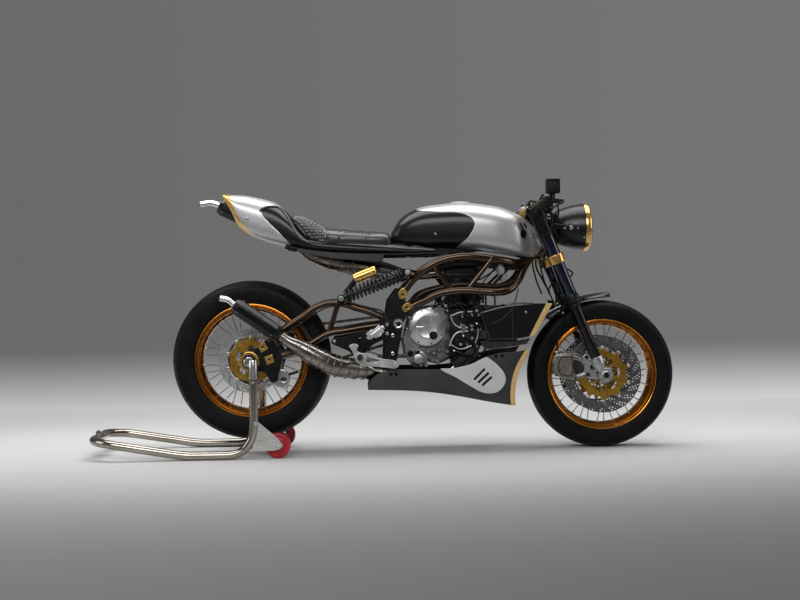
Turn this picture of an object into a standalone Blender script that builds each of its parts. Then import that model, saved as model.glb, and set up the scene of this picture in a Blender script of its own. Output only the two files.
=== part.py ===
# Cafe racer motorcycle held on its paddock stand.
# Frame: +X forward, +Y to the bike's left, +Z up, origin on the floor at the middle of the box. Metres.

import math

import bmesh
import bpy
from mathutils import Matrix, Vector

# Driving dimensions
TOUCH = 0.0003
RUNNING = 0.00025
FRONT_AXLE = Vector((0.880, 0.0, 0.300))
FRONT_TYRE_HALF = 0.060
REAR_AXLE = Vector((-0.540, 0.0, 0.379))
REAR_TYRE_HALF = 0.075
RIM_R = 0.230
RIM_DEPTH = 0.030
RIM_BED_R = RIM_R - RIM_DEPTH
FRONT_TYRE_HEIGHT = 0.070
REAR_TYRE_HEIGHT = 0.091
FRONT_TYRE_R = RIM_R + FRONT_TYRE_HEIGHT
REAR_TYRE_R = RIM_R + REAR_TYRE_HEIGHT
FENDER_CLEAR = 0.012
FRONT_RIM_HALF = 0.052
REAR_RIM_HALF = 0.062
WHEEL_STEPS = 48
SPOKES = 36
SPOKE_R = 0.0022

RAKE = math.radians(21.5)
FORK_UP = Vector((-math.sin(RAKE), 0.0, math.cos(RAKE)))
FORK_FWD = Vector((math.cos(RAKE), 0.0, math.sin(RAKE)))
FORK_Y = 0.103
FORK_FOOT = Vector((0.872, 0.0, 0.300))
STEM_OFFSET = 0.030
STEM_FOOT = FORK_FOOT - FORK_FWD * STEM_OFFSET
STANCHION_R = 0.0215
SLIDER_R = 0.027
SLIDER_START = 0.335
CLAMP_LOW = 0.485
CLAMP_LOW_THICK = 0.036
CLAMP_HIGH = 0.715
CLAMP_HIGH_THICK = 0.022
FORK_CAP_RISE = 0.008
FORK_TOP = CLAMP_HIGH + CLAMP_HIGH_THICK + FORK_CAP_RISE
BAR_RING = 0.034
BAR_PAD = 0.008
LEVER_REACH = 0.058
LEG_ROOM = CLAMP_HIGH - BAR_RING - CLAMP_LOW - CLAMP_LOW_THICK
LAMP_MOUNT = CLAMP_LOW + CLAMP_LOW_THICK + LEG_ROOM * 0.7125
LAMP_COLLAR = LEG_ROOM * 0.10625
LAMP_REACH = 0.0507
LAMP_RISE = 0.0102
LAMP_DEPTH = 0.132
STEER_LIMIT = math.radians(27.0)
STEER_CLEAR = 0.006
STEM_R = 0.0125
HEAD_BORE_R = 0.0180
HEAD_R = 0.028
HEAD_LOW = CLAMP_LOW + CLAMP_LOW_THICK + 0.0055
HEAD_HIGH = CLAMP_HIGH - 0.0055

AXLE_R = 0.010
FRONT_AXLE_END = 0.134
FRONT_DISC_R = 0.155
FRONT_DISC_Y = 0.0665
DISC_THICK = 0.005
REAR_AXLE_R = 0.0125
REAR_AXLE_END = 0.166
REAR_DISC_R = 0.128
REAR_DISC_Y = 0.0825
HUB_R = 0.030
SPROCKET_R = 0.0985
SPROCKET_Y = 0.0935
CHAIN_IN = 0.1010
CHAIN_DEPTH = 0.012
CHAIN_Y = (0.0875, 0.1055)
FRONT_SPROCKET = Vector((0.135, 0.0, 0.515))
FRONT_SPROCKET_R = 0.0395

FRAME_R = 0.016
FRAME_Y = 0.140
PLATE_Y = (0.1373, 0.1493)
PLATE_TUBE_Y = PLATE_Y[0] - TOUCH - FRAME_R
SWINGARM_R = 0.014
SWINGARM_Y = 0.120
PIVOT = Vector((0.049, 0.0, 0.520))
PIVOT_R = 0.022
PIVOT_BOLT_R = 0.012
CARRIER_Y = (0.1343, 0.1425)
SHOCK_Y = 0.160
SHOCK_LOW = Vector((-0.175, 0.0, 0.623))
SHOCK_HIGH = Vector((0.088, 0.0, 0.722))

CRANK = Vector((0.210, 0.0, 0.515))
CASE_HALF = 0.085
CLUTCH = Vector((0.164, 0.0, 0.503))
CLUTCH_R = 0.075
CYLINDER_HALF = 0.066
CYLINDER_DEPTH = 0.055
UPPER_BANK = math.radians(43.0)
LOWER_BANK = math.radians(-50.0)

STAND_TUBE_R = 0.017
STAND_Y = 0.190
STAND_PLATE_Y = (0.186, 0.194)
CASTER = Vector((-0.431, 0.0, 0.050))
CASTER_R = 0.0495
CASTER_STUD_R = 0.008
CASTER_Y = (0.1455, 0.1800)

# Sign of y for each side of the machine
RIGHT = -1
LEFT = 1


# Scene set-up
def clear_scene():
    for item in list(bpy.data.objects):
        bpy.data.objects.remove(item, do_unlink=True)


clear_scene()
PARTS = bpy.data.collections.new("cafe_racer_on_stand")
bpy.context.scene.collection.children.link(PARTS)


def material(name, colour, metallic, roughness):
    made = bpy.data.materials.new(name)
    made.use_nodes = True
    shader = made.node_tree.nodes["Principled BSDF"]
    shader.inputs["Base Color"].default_value = (*colour, 1.0)
    shader.inputs["Metallic"].default_value = metallic
    shader.inputs["Roughness"].default_value = roughness
    return made


MATERIALS = {
    # slot: (colour, metallic, roughness)
    "bronze_frame": ((0.23, 0.14, 0.08), 0.8, 0.35),
    "black_metal": ((0.03, 0.03, 0.035), 0.6, 0.45),
    "gold_anodised": ((0.75, 0.48, 0.14), 1.0, 0.3),
    "rim_gold": ((0.72, 0.38, 0.10), 0.9, 0.35),
    "cast_aluminium": ((0.58, 0.58, 0.58), 1.0, 0.45),
    "satin_silver": ((0.66, 0.66, 0.67), 0.9, 0.38),
    "raw_steel": ((0.48, 0.46, 0.44), 1.0, 0.35),
    "silencer_black": ((0.04, 0.04, 0.045), 0.3, 0.5),
    "fork_blue": ((0.02, 0.025, 0.05), 0.7, 0.2),
    "tyre_rubber": ((0.03, 0.03, 0.03), 0.0, 0.8),
    "grip_rubber": ((0.12, 0.12, 0.12), 0.0, 0.7),
    "seat_leather": ((0.035, 0.035, 0.035), 0.0, 0.55),
    "gloss_black": ((0.012, 0.012, 0.014), 0.0, 0.1),
    "pan_grey": ((0.09, 0.09, 0.095), 0.2, 0.5),
    "lens_glass": ((0.85, 0.88, 0.9), 0.0, 0.05),
    "disc_steel": ((0.4, 0.4, 0.41), 1.0, 0.35),
    "chain_steel": ((0.25, 0.23, 0.2), 1.0, 0.45),
    "stand_steel": ((0.42, 0.38, 0.33), 1.0, 0.35),
    "caster_red": ((0.6, 0.03, 0.02), 0.0, 0.4),
}
SLOTS = {slot: material(slot, *look) for slot, look in MATERIALS.items()}


# Shape helpers: each gives a mesh object in world coordinates
def from_bmesh(bm, name="piece"):
    bmesh.ops.recalc_face_normals(bm, faces=bm.faces)
    mesh = bpy.data.meshes.new(name)
    bm.to_mesh(mesh)
    bm.free()
    made = bpy.data.objects.new(name, mesh)
    PARTS.objects.link(made)
    return made


def bake(source, matrix=None, merge=0.00001):
    """Evaluate an object's modifiers or curve, drop it and keep the mesh in world coordinates."""
    bpy.context.view_layer.update()
    graph = bpy.context.evaluated_depsgraph_get()
    mesh = bpy.data.meshes.new_from_object(source.evaluated_get(graph))
    bm = bmesh.new()
    bm.from_mesh(mesh)
    bmesh.ops.remove_doubles(bm, verts=bm.verts, dist=merge)
    bmesh.ops.transform(bm, matrix=matrix or source.matrix_world, verts=bm.verts)
    name = source.name
    bpy.data.objects.remove(source, do_unlink=True)
    return from_bmesh(bm, name)


def axis_matrix(origin, axis):
    turn = Vector((0.0, 0.0, 1.0)).rotation_difference(Vector(axis).normalized())
    return Matrix.Translation(Vector(origin)) @ turn.to_matrix().to_4x4()


def bar(start, end, radius, sides=12, end_radius=None):
    """Straight round bar or cone between two points."""
    start = Vector(start)
    run = Vector(end) - start
    bm = bmesh.new()
    bmesh.ops.create_cone(bm, cap_ends=True, segments=sides, radius1=radius,
                          radius2=radius if end_radius is None else end_radius, depth=run.length)
    bmesh.ops.transform(bm, matrix=axis_matrix(start + run / 2, run), verts=bm.verts)
    return from_bmesh(bm)


def block(low, high):
    low = Vector(low)
    high = Vector(high)
    bm = bmesh.new()
    bmesh.ops.create_cube(bm, size=1.0)
    size = high - low
    bmesh.ops.transform(bm, matrix=Matrix.Translation((low + high) / 2) @ Matrix.Diagonal((*size, 1.0)),
                        verts=bm.verts)
    return from_bmesh(bm)


def lathe(profile, origin, axis, steps):
    """Turn (radius, along) points about an axis; a profile that misses the axis is closed into a ring."""
    bm = bmesh.new()
    verts = [bm.verts.new((radius, 0.0, along)) for radius, along in profile]
    for first, second in zip(verts, verts[1:]):
        bm.edges.new((first, second))
    if profile[0][0] > 0.0 and profile[-1][0] > 0.0:
        bm.edges.new((verts[-1], verts[0]))
    mesh = bpy.data.meshes.new("profile")
    bm.to_mesh(mesh)
    bm.free()
    source = bpy.data.objects.new("turned", mesh)
    PARTS.objects.link(source)
    screw = source.modifiers.new("screw", "SCREW")
    screw.steps = steps
    screw.render_steps = steps
    screw.use_merge_vertices = True
    screw.merge_threshold = 0.0001
    return bake(source, axis_matrix(origin, axis))


def rounded(points, bend, steps=2):
    """Round the corners of a path of points with arcs that start `bend` before each corner."""
    points = [Vector(point) for point in points]
    path = [points[0]]
    for before, corner, after in zip(points, points[1:], points[2:]):
        reach = min(bend, (before - corner).length * 0.45, (after - corner).length * 0.45)
        start = corner + (before - corner).normalized() * reach
        end = corner + (after - corner).normalized() * reach
        for step in range(steps + 1):
            share = step / steps
            near = start.lerp(corner, share)
            far = corner.lerp(end, share)
            path.append(near.lerp(far, share))
    path.append(points[-1])
    return path


def tube(points, radius, detail=2, bend=0.0, radii=None):
    """Round tube along a path: 4 + 2 * detail sides, corners rounded, or a radius for each point."""
    path = rounded(points, bend) if bend else [Vector(point) for point in points]
    curve = bpy.data.curves.new("path", "CURVE")
    curve.dimensions = "3D"
    curve.bevel_depth = 1.0 if radii else radius
    curve.bevel_resolution = detail
    curve.use_fill_caps = True
    line = curve.splines.new("POLY")
    line.points.add(len(path) - 1)
    for index, place in enumerate(path):
        line.points[index].co = (*place, 1.0)
        line.points[index].radius = radii[index] if radii else 1.0
    source = bpy.data.objects.new("tube", curve)
    PARTS.objects.link(source)
    return bake(source)


SIDE_VIEW = Matrix.Rotation(math.radians(90.0), 4, "X")


def plate(outline, low_y, high_y, matrix=None):
    """Flat plate from an (x, z) outline between two y values, or in the plane that `matrix` gives."""
    curve = bpy.data.curves.new("outline", "CURVE")
    curve.dimensions = "2D"
    curve.fill_mode = "BOTH"
    curve.extrude = abs(high_y - low_y) / 2
    line = curve.splines.new("POLY")
    line.points.add(len(outline) - 1)
    line.use_cyclic_u = True
    for index, (x, z) in enumerate(outline):
        line.points[index].co = (x, z, 0.0, 1.0)
    source = bpy.data.objects.new("plate", curve)
    PARTS.objects.link(source)
    middle = Matrix.Translation((0.0, (low_y + high_y) / 2, 0.0)) @ SIDE_VIEW
    return bake(source, middle if matrix is None else matrix)


def loft(sections):
    """Skin through rings of equal length and cap both ends."""
    bm = bmesh.new()
    rings = [[bm.verts.new(point) for point in section] for section in sections]
    count = len(rings[0])
    for lower, upper in zip(rings, rings[1:]):
        for index in range(count):
            following = (index + 1) % count
            bm.faces.new((lower[index], lower[following], upper[following], upper[index]))
    bm.faces.new(rings[0])
    bm.faces.new(rings[-1][::-1])
    bmesh.ops.triangulate(bm, faces=bm.faces)
    return from_bmesh(bm)


def body_section(x, low, high, half, count=16, top_power=2.4, low_power=4.0):
    """Cross-section ring in a plane of constant x, rounder above than below."""
    middle = (low + high) / 2
    ring = []
    for index in range(count):
        angle = 2 * math.pi * index / count
        across = math.cos(angle)
        up = math.sin(angle)
        power = top_power if up >= 0 else low_power
        y = math.copysign(abs(across) ** (2 / power), across) * half
        z = middle + math.copysign(abs(up) ** (2 / power), up) * (high - low) / 2
        ring.append((x, y, z))
    return ring


def boolean(base, others, operation, solver="EXACT"):
    for other in others:
        step = base.modifiers.new("boolean", "BOOLEAN")
        step.operation = operation
        step.solver = solver
        step.object = other
        name = base.name
        base = bake(base)
        base.name = name
        bpy.data.objects.remove(other, do_unlink=True)
    return base


def fuse(*pieces):
    return boolean(pieces[0], pieces[1:], "UNION")


def cut(base, *cutters):
    return boolean(base, cutters, "DIFFERENCE")


def part(made, name, slot, crease=35.0):
    """Name a finished piece, give it its material and smooth its round faces."""
    bm = bmesh.new()
    bm.from_mesh(made.data)
    bmesh.ops.dissolve_degenerate(bm, dist=0.00002, edges=bm.edges)
    bmesh.ops.triangulate(bm, faces=[face for face in bm.faces if len(face.verts) > 4])
    bm.to_mesh(made.data)
    bm.free()
    made.name = name
    made.data.name = name
    made.data.materials.clear()
    made.data.materials.append(SLOTS[slot])
    for face in made.data.polygons:
        face.material_index = 0
    made.data.shade_smooth()
    made.data.set_sharp_from_angle(angle=math.radians(crease))
    return made


def set_origin(made, point):
    point = Vector(point)
    made.data.transform(Matrix.Translation(-point))
    made.location = point
    return made


def at(point, y):
    return Vector((point[0], y, point[-1]))


def on_leg(along, side=0.0, forward=0.0):
    return FORK_FOOT + FORK_UP * along + FORK_FWD * forward + Vector((0.0, side * FORK_Y, 0.0))


def on_stem(along, forward=0.0):
    return STEM_FOOT + FORK_UP * along + FORK_FWD * forward


def cross_bar(point, low_y, high_y, radius, sides=12):
    return bar(at(point, low_y), at(point, high_y), radius, sides)


def cutter_bar(point, reach, radius, sides=16):
    return cross_bar(point, -reach, reach, radius, sides)


def running_bore(shaft_r, sides):
    """Corner radius of a faceted bore whose flats just clear a shaft as it turns."""
    return (shaft_r + RUNNING) / math.cos(math.pi / sides)


# Wheels
def tyre(name, axle, outer, half, tread_drop):
    seat = RIM_R + TOUCH
    side = half * 0.80
    wall = seat + (outer - seat) * 0.48
    shoulder = outer - tread_drop
    profile = [
        (seat, -side), (wall, -half), (shoulder, -half * 0.90),
        (outer - tread_drop * 0.28, -half * 0.52), (outer, 0.0), (outer - tread_drop * 0.28, half * 0.52),
        (shoulder, half * 0.90), (wall, half), (seat, side),
    ]
    made = lathe(profile, axle, (0, 1, 0), WHEEL_STEPS)
    made = part(made, name, "tyre_rubber", 50.0)
    set_origin(made, axle)
    return made


def wheel(name, axle, rim_half, hub_profile, flange_y, bore):
    lip = 0.008
    rim = lathe([(RIM_R, -rim_half), (RIM_R, rim_half), (RIM_R - lip, rim_half), (RIM_BED_R, rim_half * 0.4),
                 (RIM_BED_R, -rim_half * 0.4), (RIM_R - lip, -rim_half)],
                axle, (0, 1, 0), WHEEL_STEPS)
    hub = lathe(hub_profile, axle, (0, 1, 0), 16)
    spokes = []
    pairs = SPOKES // 2
    for index in range(SPOKES):
        side = LEFT if index % 2 else RIGHT
        leading = (index // 2) % 2
        lean = math.radians(34.0 if leading else -34.0)
        rim_angle = 2 * math.pi * index / SPOKES
        hub_angle = rim_angle + lean
        hub_y = side * (flange_y + (0.0045 if leading else -0.0045))
        rim_y = side * (0.014 if leading else 0.004)
        inner = axle + Vector((math.cos(hub_angle) * 0.036, hub_y, math.sin(hub_angle) * 0.036))
        outer = axle + Vector((math.cos(rim_angle) * (RIM_BED_R + 0.007), rim_y,
                               math.sin(rim_angle) * (RIM_BED_R + 0.007)))
        spokes.append(bar(inner, outer, SPOKE_R, 3))
    made = fuse(rim, *spokes, hub)
    made = cut(made, cutter_bar(axle, 0.2, bore, 16))
    made = part(made, name, "rim_gold", 40.0)
    set_origin(made, axle)
    return made


def disc(name, axle, side, near_y, radius, carrier_r, hub_fit, holes):
    """Brake disc or sprocket with a windowed carrier that sits against the hub's shoulder."""
    near = near_y
    far = near_y + DISC_THICK
    made = lathe([(hub_fit, near), (hub_fit, far), (radius, far), (radius, near)],
                 axle, (0, side, 0), 32)
    windows = []
    window_r = carrier_r * 0.58
    for index in range(holes):
        angle = 2 * math.pi * (index + 0.5) / holes
        place = axle + Vector((math.cos(angle) * window_r, 0.0, math.sin(angle) * window_r))
        windows.append(cross_bar(place, side * (near - 0.01), side * (far + 0.01), carrier_r * 0.25, 6))
    made = cut(made, *windows)
    made = part(made, name, "disc_steel")
    set_origin(made, axle)
    return made


tyre("front_tyre", FRONT_AXLE, FRONT_TYRE_R, FRONT_TYRE_HALF, 0.020)
tyre("rear_tyre", REAR_AXLE, REAR_TYRE_R, REAR_TYRE_HALF, 0.026)

FRONT_HUB = [(0.0, -0.0725), (0.022, -0.0725), (0.022, -FRONT_DISC_Y + TOUCH), (0.040, -FRONT_DISC_Y + TOUCH),
             (0.040, -0.058), (0.042, -0.022), (0.026, -0.016), (0.026, 0.016), (0.042, 0.022), (0.040, 0.058),
             (0.040, FRONT_DISC_Y - TOUCH), (0.022, FRONT_DISC_Y - TOUCH), (0.022, 0.0725), (0.0, 0.0725)]
REAR_HUB = [(0.0, -0.088), (0.024, -0.088), (0.024, -REAR_DISC_Y + TOUCH), (0.040, -REAR_DISC_Y + TOUCH),
            (0.040, -0.070), (0.045, -0.026), (0.030, -0.020), (0.030, 0.020), (0.045, 0.026), (0.050, 0.070),
            (0.050, SPROCKET_Y - TOUCH), (0.024, SPROCKET_Y - TOUCH), (0.024, 0.100), (0.0, 0.100)]
wheel("front_wheel", FRONT_AXLE, FRONT_RIM_HALF, FRONT_HUB, 0.030, running_bore(AXLE_R, 16))
wheel("rear_wheel", REAR_AXLE, REAR_RIM_HALF, REAR_HUB, 0.034, running_bore(REAR_AXLE_R, 16))
disc("front_disc_right", FRONT_AXLE, RIGHT, FRONT_DISC_Y, FRONT_DISC_R, 0.110, 0.0223, 5)
disc("front_disc_left", FRONT_AXLE, LEFT, FRONT_DISC_Y, FRONT_DISC_R, 0.110, 0.0223, 5)
disc("rear_disc", REAR_AXLE, RIGHT, REAR_DISC_Y, REAR_DISC_R, 0.095, 0.0243, 5)
disc("rear_sprocket", REAR_AXLE, LEFT, SPROCKET_Y, SPROCKET_R, 0.105, 0.0243, 5)


# Axles
def axle(name, place, radius, reach, head_r, head_thick, inner):
    made = lathe([(0.0, -reach), (head_r, -reach), (head_r, -reach + head_thick), (radius, -reach + head_thick),
                  (radius, -inner), (radius, inner), (radius, reach - head_thick), (head_r, reach - head_thick),
                  (head_r, reach), (0.0, reach)], place, (0, 1, 0), 16)
    return part(made, name, "cast_aluminium")


axle("front_axle", FRONT_AXLE, AXLE_R, FRONT_AXLE_END, 0.017, 0.008, 0.05)
axle("rear_axle", REAR_AXLE, REAR_AXLE_R, REAR_AXLE_END, 0.026, 0.022, 0.05)


# Front end: fork legs, clamps, bars
def fork_leg(name, side):
    leg = lathe([(0.0, -0.012), (STANCHION_R, -0.012), (STANCHION_R, SLIDER_START - 0.012),
                 (SLIDER_R, SLIDER_START), (SLIDER_R, FORK_TOP - 0.014), (SLIDER_R - 0.006, FORK_TOP - 0.012),
                 (SLIDER_R - 0.006, FORK_TOP), (0.0, FORK_TOP)], on_leg(0.0, side), FORK_UP, 16)
    foot = cross_bar(FRONT_AXLE, side * 0.084, side * (FRONT_AXLE_END - 0.0083), 0.030, 16)
    ear = plate([(0.876, 0.318), (0.850, 0.372), (0.806, 0.388), (0.790, 0.372), (0.800, 0.352), (0.800, 0.300),
                 (0.812, 0.284), (0.860, 0.282)],
                min(side * 0.0888, side * 0.0968), max(side * 0.0888, side * 0.0968))
    made = fuse(leg, foot, ear)
    made = cut(made, cross_bar(FRONT_AXLE, side * 0.07, side * 0.15, AXLE_R + TOUCH, 16))
    return part(made, name, "fork_blue")


def clamp_outline(pad, back, front):
    """Clamp shape in the (forward, across) plane about the stem, round the two legs."""
    reach = SLIDER_R + pad
    points = []
    for angle in (-20, 15, 50, 85, 120, 150):
        turn = math.radians(angle)
        points.append((STEM_OFFSET + reach * math.cos(turn), FORK_Y + reach * math.sin(turn)))
    points.append((-0.004, 0.040))
    points.append((-back, 0.018))
    left = points
    right = [(forward, -across) for forward, across in reversed(points)]
    nose = [(front, -0.045), (front, 0.045)]
    return left + right + nose


def clamp(low, thick, pad, back, front):
    centre = on_stem(low + thick / 2)
    matrix = Matrix((
        (FORK_FWD.x, 0.0, FORK_UP.x, centre.x),
        (0.0, 1.0, 0.0, 0.0),
        (FORK_FWD.z, 0.0, FORK_UP.z, centre.z),
        (0.0, 0.0, 0.0, 1.0),
    ))
    return plate(clamp_outline(pad, back, front), 0.0, thick, matrix)


def triple_clamps():
    stem = bar(on_stem(CLAMP_LOW), on_stem(CLAMP_HIGH + 0.010), STEM_R, 12)
    nut = bar(on_stem(CLAMP_HIGH + 0.010), on_stem(CLAMP_HIGH + CLAMP_HIGH_THICK + 0.012), 0.018, 12)
    bearings = [bar(on_stem(CLAMP_LOW + 0.010), on_stem(HEAD_LOW - TOUCH), 0.023, 16),
                bar(on_stem(HEAD_HIGH + TOUCH), on_stem(CLAMP_HIGH + 0.010), 0.023, 16)]
    made = fuse(clamp(CLAMP_LOW, CLAMP_LOW_THICK, 0.009, 0.026, 0.046),
                clamp(CLAMP_HIGH, CLAMP_HIGH_THICK, 0.009, 0.024, 0.044), stem, nut, *bearings)
    for side in (RIGHT, LEFT):
        made = cut(made, bar(on_leg(CLAMP_LOW - 0.05, side), on_leg(FORK_TOP + 0.05, side), SLIDER_R + TOUCH, 16))
    return part(made, "triple_clamps", "gold_anodised")


def grip_ends(side):
    base = on_leg(CLAMP_HIGH, side)
    return base + Vector((0.036, side * 0.047, 0.035)), base + Vector((-0.061, side * 0.237, -0.020))


def lever_hinge(side):
    """Middle of the perch arm's end, where the lever's eye seats."""
    inner, outer = grip_ends(side)
    return inner + (outer - inner).normalized() * 0.015 + Vector((LEVER_REACH, 0.0, 0.0))


def handlebar(name, side, reservoir):
    """Clip-on bar with its grip, lever perch and, on the brake side, the fluid reservoir."""
    base = on_leg(CLAMP_HIGH, side)
    ring = bar(on_leg(CLAMP_HIGH - BAR_RING, side), on_leg(CLAMP_HIGH - TOUCH, side), SLIDER_R + BAR_PAD, 16)
    grip_in, grip_out = grip_ends(side)
    along = (grip_out - grip_in).normalized()
    rise = tube([on_leg(CLAMP_HIGH - BAR_RING / 2, side, 0.031), base + Vector((0.058, side * 0.009, 0.010)), grip_in,
                 grip_in + along * 0.032], 0.011, 1, 0.02)
    grip = bar(grip_in + along * 0.030, grip_out, 0.0165, 12)
    knob = bar(grip_out, grip_out + along * 0.017, 0.013, 12)
    perch = bar(grip_in + along * 0.004, grip_in + along * 0.026, 0.0185, 10)
    hinge = lever_hinge(side)
    arm = bar(grip_in + along * 0.015, hinge, 0.010, 8)
    pieces = [rise, grip, knob, perch, arm]
    if reservoir:
        foot = hinge + Vector((-0.030, 0.0, -0.004))
        pieces.append(bar(foot, foot + Vector((0.004, 0.0, 0.050)), 0.009, 8))
        pieces.append(block(foot + Vector((-0.026, -0.020, 0.034)), foot + Vector((0.028, 0.020, 0.092))))
    made = fuse(ring, *pieces)
    made = cut(made, bar(on_leg(CLAMP_HIGH - 2 * BAR_RING, side), on_leg(FORK_TOP + 0.05, side), SLIDER_R + TOUCH, 16))
    return part(made, name, "grip_rubber")


def hand_lever(name, side):
    inner, outer = grip_ends(side)
    along = (outer - inner).normalized()
    seat_face = lever_hinge(side) + Vector((TOUCH, 0.0, 0.0))
    eye = block(seat_face + Vector((0.0, -0.008, -0.007)), seat_face + Vector((0.014, 0.008, 0.007)))
    root = seat_face + Vector((0.007, 0.0, 0.0))
    blade = tube([root, root + Vector((0.003, side * 0.018, -0.003)),
                  root + along * 0.150 + Vector((0.0, 0.0, -0.004))], 0.0055, 1)
    tip = bar(root + along * 0.144 + Vector((0.0, 0.0, -0.004)), root + along * 0.158 + Vector((0.0, 0.0, -0.004)),
              0.0085, 10)
    return part(fuse(eye, blade, tip), name, "black_metal")


fork_leg("fork_leg_right", RIGHT)
fork_leg("fork_leg_left", LEFT)
triple_clamps()
handlebar("handlebar_right", RIGHT, True)
handlebar("handlebar_left", LEFT, False)
hand_lever("brake_lever", RIGHT)
hand_lever("clutch_lever", LEFT)

# Headlight
LAMP = on_leg(LAMP_MOUNT) + Vector((LAMP_REACH, 0.0, LAMP_RISE))
LAMP_FACE = LAMP_DEPTH + TOUCH
bucket = lathe([(0.0, 0.0), (0.045, 0.0), (0.062, 0.012), (0.086, 0.070), (0.096, LAMP_DEPTH), (0.0, LAMP_DEPTH)],
               LAMP, (1, 0, 0), 28)
for turn in (RIGHT, LEFT):
    collar = bar(on_leg(LAMP_MOUNT - LAMP_COLLAR, turn), on_leg(LAMP_MOUNT + LAMP_COLLAR, turn), SLIDER_R + 0.006, 16)
    arm = bar(on_leg(LAMP_MOUNT + 0.005, turn, 0.029), LAMP + Vector((0.065, turn * 0.074, -0.006)), 0.0065, 8)
    bucket = fuse(bucket, collar, arm)
    bucket = cut(bucket, bar(on_leg(LAMP_MOUNT - 0.08, turn), on_leg(LAMP_MOUNT + 0.07, turn), SLIDER_R + TOUCH, 16))
part(bucket, "headlight", "gloss_black")
part(lathe([(0.080, LAMP_FACE), (0.097, LAMP_FACE), (0.099, LAMP_FACE + 0.007), (0.094, LAMP_FACE + 0.016),
            (0.086, LAMP_FACE + 0.016), (0.080, LAMP_FACE + 0.008)], LAMP, (1, 0, 0), 28),
     "headlight_ring", "gold_anodised")
part(lathe([(0.0, LAMP_FACE), (0.080 - TOUCH, LAMP_FACE), (0.080 - TOUCH, LAMP_FACE + 0.007),
            (0.066, LAMP_FACE + 0.021), (0.036, LAMP_FACE + 0.032), (0.0, LAMP_FACE + 0.036)], LAMP, (1, 0, 0), 28),
     "headlight_lens", "lens_glass")


# Front fender and calipers
def leg_at_radius(radius):
    """Distance up the leg at which its centre line lies `radius` from the front axle."""
    offset = FORK_FOOT - FRONT_AXLE
    along = offset.dot(FORK_UP)
    return -along + math.sqrt(along ** 2 - offset.length_squared + radius ** 2)


def fender():
    sections = []
    inner = FRONT_TYRE_R + FENDER_CLEAR
    outer = inner + 0.004
    for step in range(9):
        angle = math.radians(78.0 + step * 7.0)
        ring = []
        for radius, across in ((outer, 0.050), (outer + 0.008, 0.026), (outer + 0.010, 0.0), (outer + 0.008, -0.026),
                               (outer, -0.050), (inner - 0.002, -0.050), (inner + 0.004, -0.026),
                               (inner + 0.006, 0.0), (inner + 0.004, 0.026), (inner - 0.002, 0.050)):
            ring.append(FRONT_AXLE + Vector((math.cos(angle) * radius, across, math.sin(angle) * radius)))
        sections.append(ring)
    guard = loft(sections)
    place = on_leg(leg_at_radius(inner + 0.005))
    stays = [bar(at(place, turn * 0.040), at(place, turn * (FORK_Y - STANCHION_R - TOUCH)), 0.008, 12)
             for turn in (RIGHT, LEFT)]
    return part(fuse(guard, *stays), "front_fender", "gloss_black")


def front_caliper(name, side):
    outline = [(0.673, 0.352), (0.684, 0.384), (0.712, 0.390), (0.783, 0.389), (0.823, 0.348), (0.814, 0.300),
               (0.761, 0.280), (0.700, 0.289), (0.678, 0.318)]
    body = plate(outline, min(side * 0.0505, side * 0.0885), max(side * 0.0505, side * 0.0885))
    slot = lathe([(0.0, 0.0615), (FRONT_DISC_R + 0.005, 0.0615), (FRONT_DISC_R + 0.005, 0.0768), (0.0, 0.0768)],
                 FRONT_AXLE, (0, side, 0), 48)
    return part(cut(body, slot), name, "cast_aluminium")


fender()
front_caliper("front_caliper_right", RIGHT)
front_caliper("front_caliper_left", LEFT)


# Main frame: two tubes a side with diagonals, meeting at the head
UPPER_TUBE = [(0.058, 0.628, PLATE_TUBE_Y), (0.111, 0.694, PLATE_TUBE_Y), (0.163, 0.737, 0.134),
              (0.219, 0.766, FRAME_Y), (0.290, 0.782, FRAME_Y), (0.400, 0.775, 0.132), (0.480, 0.764, 0.100),
              (0.549, 0.757, 0.052), (0.592, 0.772, 0.026), (0.637, 0.806, 0.010)]
LOWER_TUBE = [(0.066, 0.570, PLATE_TUBE_Y), (0.112, 0.591, PLATE_TUBE_Y), (0.160, 0.612, 0.130),
              (0.216, 0.637, FRAME_Y), (0.297, 0.648, FRAME_Y), (0.394, 0.642, FRAME_Y), (0.453, 0.639, FRAME_Y),
              (0.501, 0.651, 0.118), (0.535, 0.682, 0.084), (0.562, 0.727, 0.050), (0.590, 0.768, 0.026),
              (0.639, 0.809, 0.010)]
UPPER_TWIN = [(0.150, 0.722, 0.128), (0.205, 0.742, 0.106), (0.300, 0.757, 0.104), (0.420, 0.752, 0.092),
              (0.500, 0.742, 0.066), (0.552, 0.742, 0.040), (0.600, 0.773, 0.018)]
LOWER_TWIN = [(0.105, 0.594, 0.118), (0.139, 0.632, 0.102), (0.219, 0.659, 0.106), (0.300, 0.672, 0.108),
              (0.395, 0.664, 0.106), (0.470, 0.663, 0.100), (0.520, 0.680, 0.078), (0.556, 0.718, 0.050)]
TWIN_R = 0.012
DIAGONALS = [((0.190, 0.748), (0.268, 0.648)), ((0.324, 0.648), (0.425, 0.772))]


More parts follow.
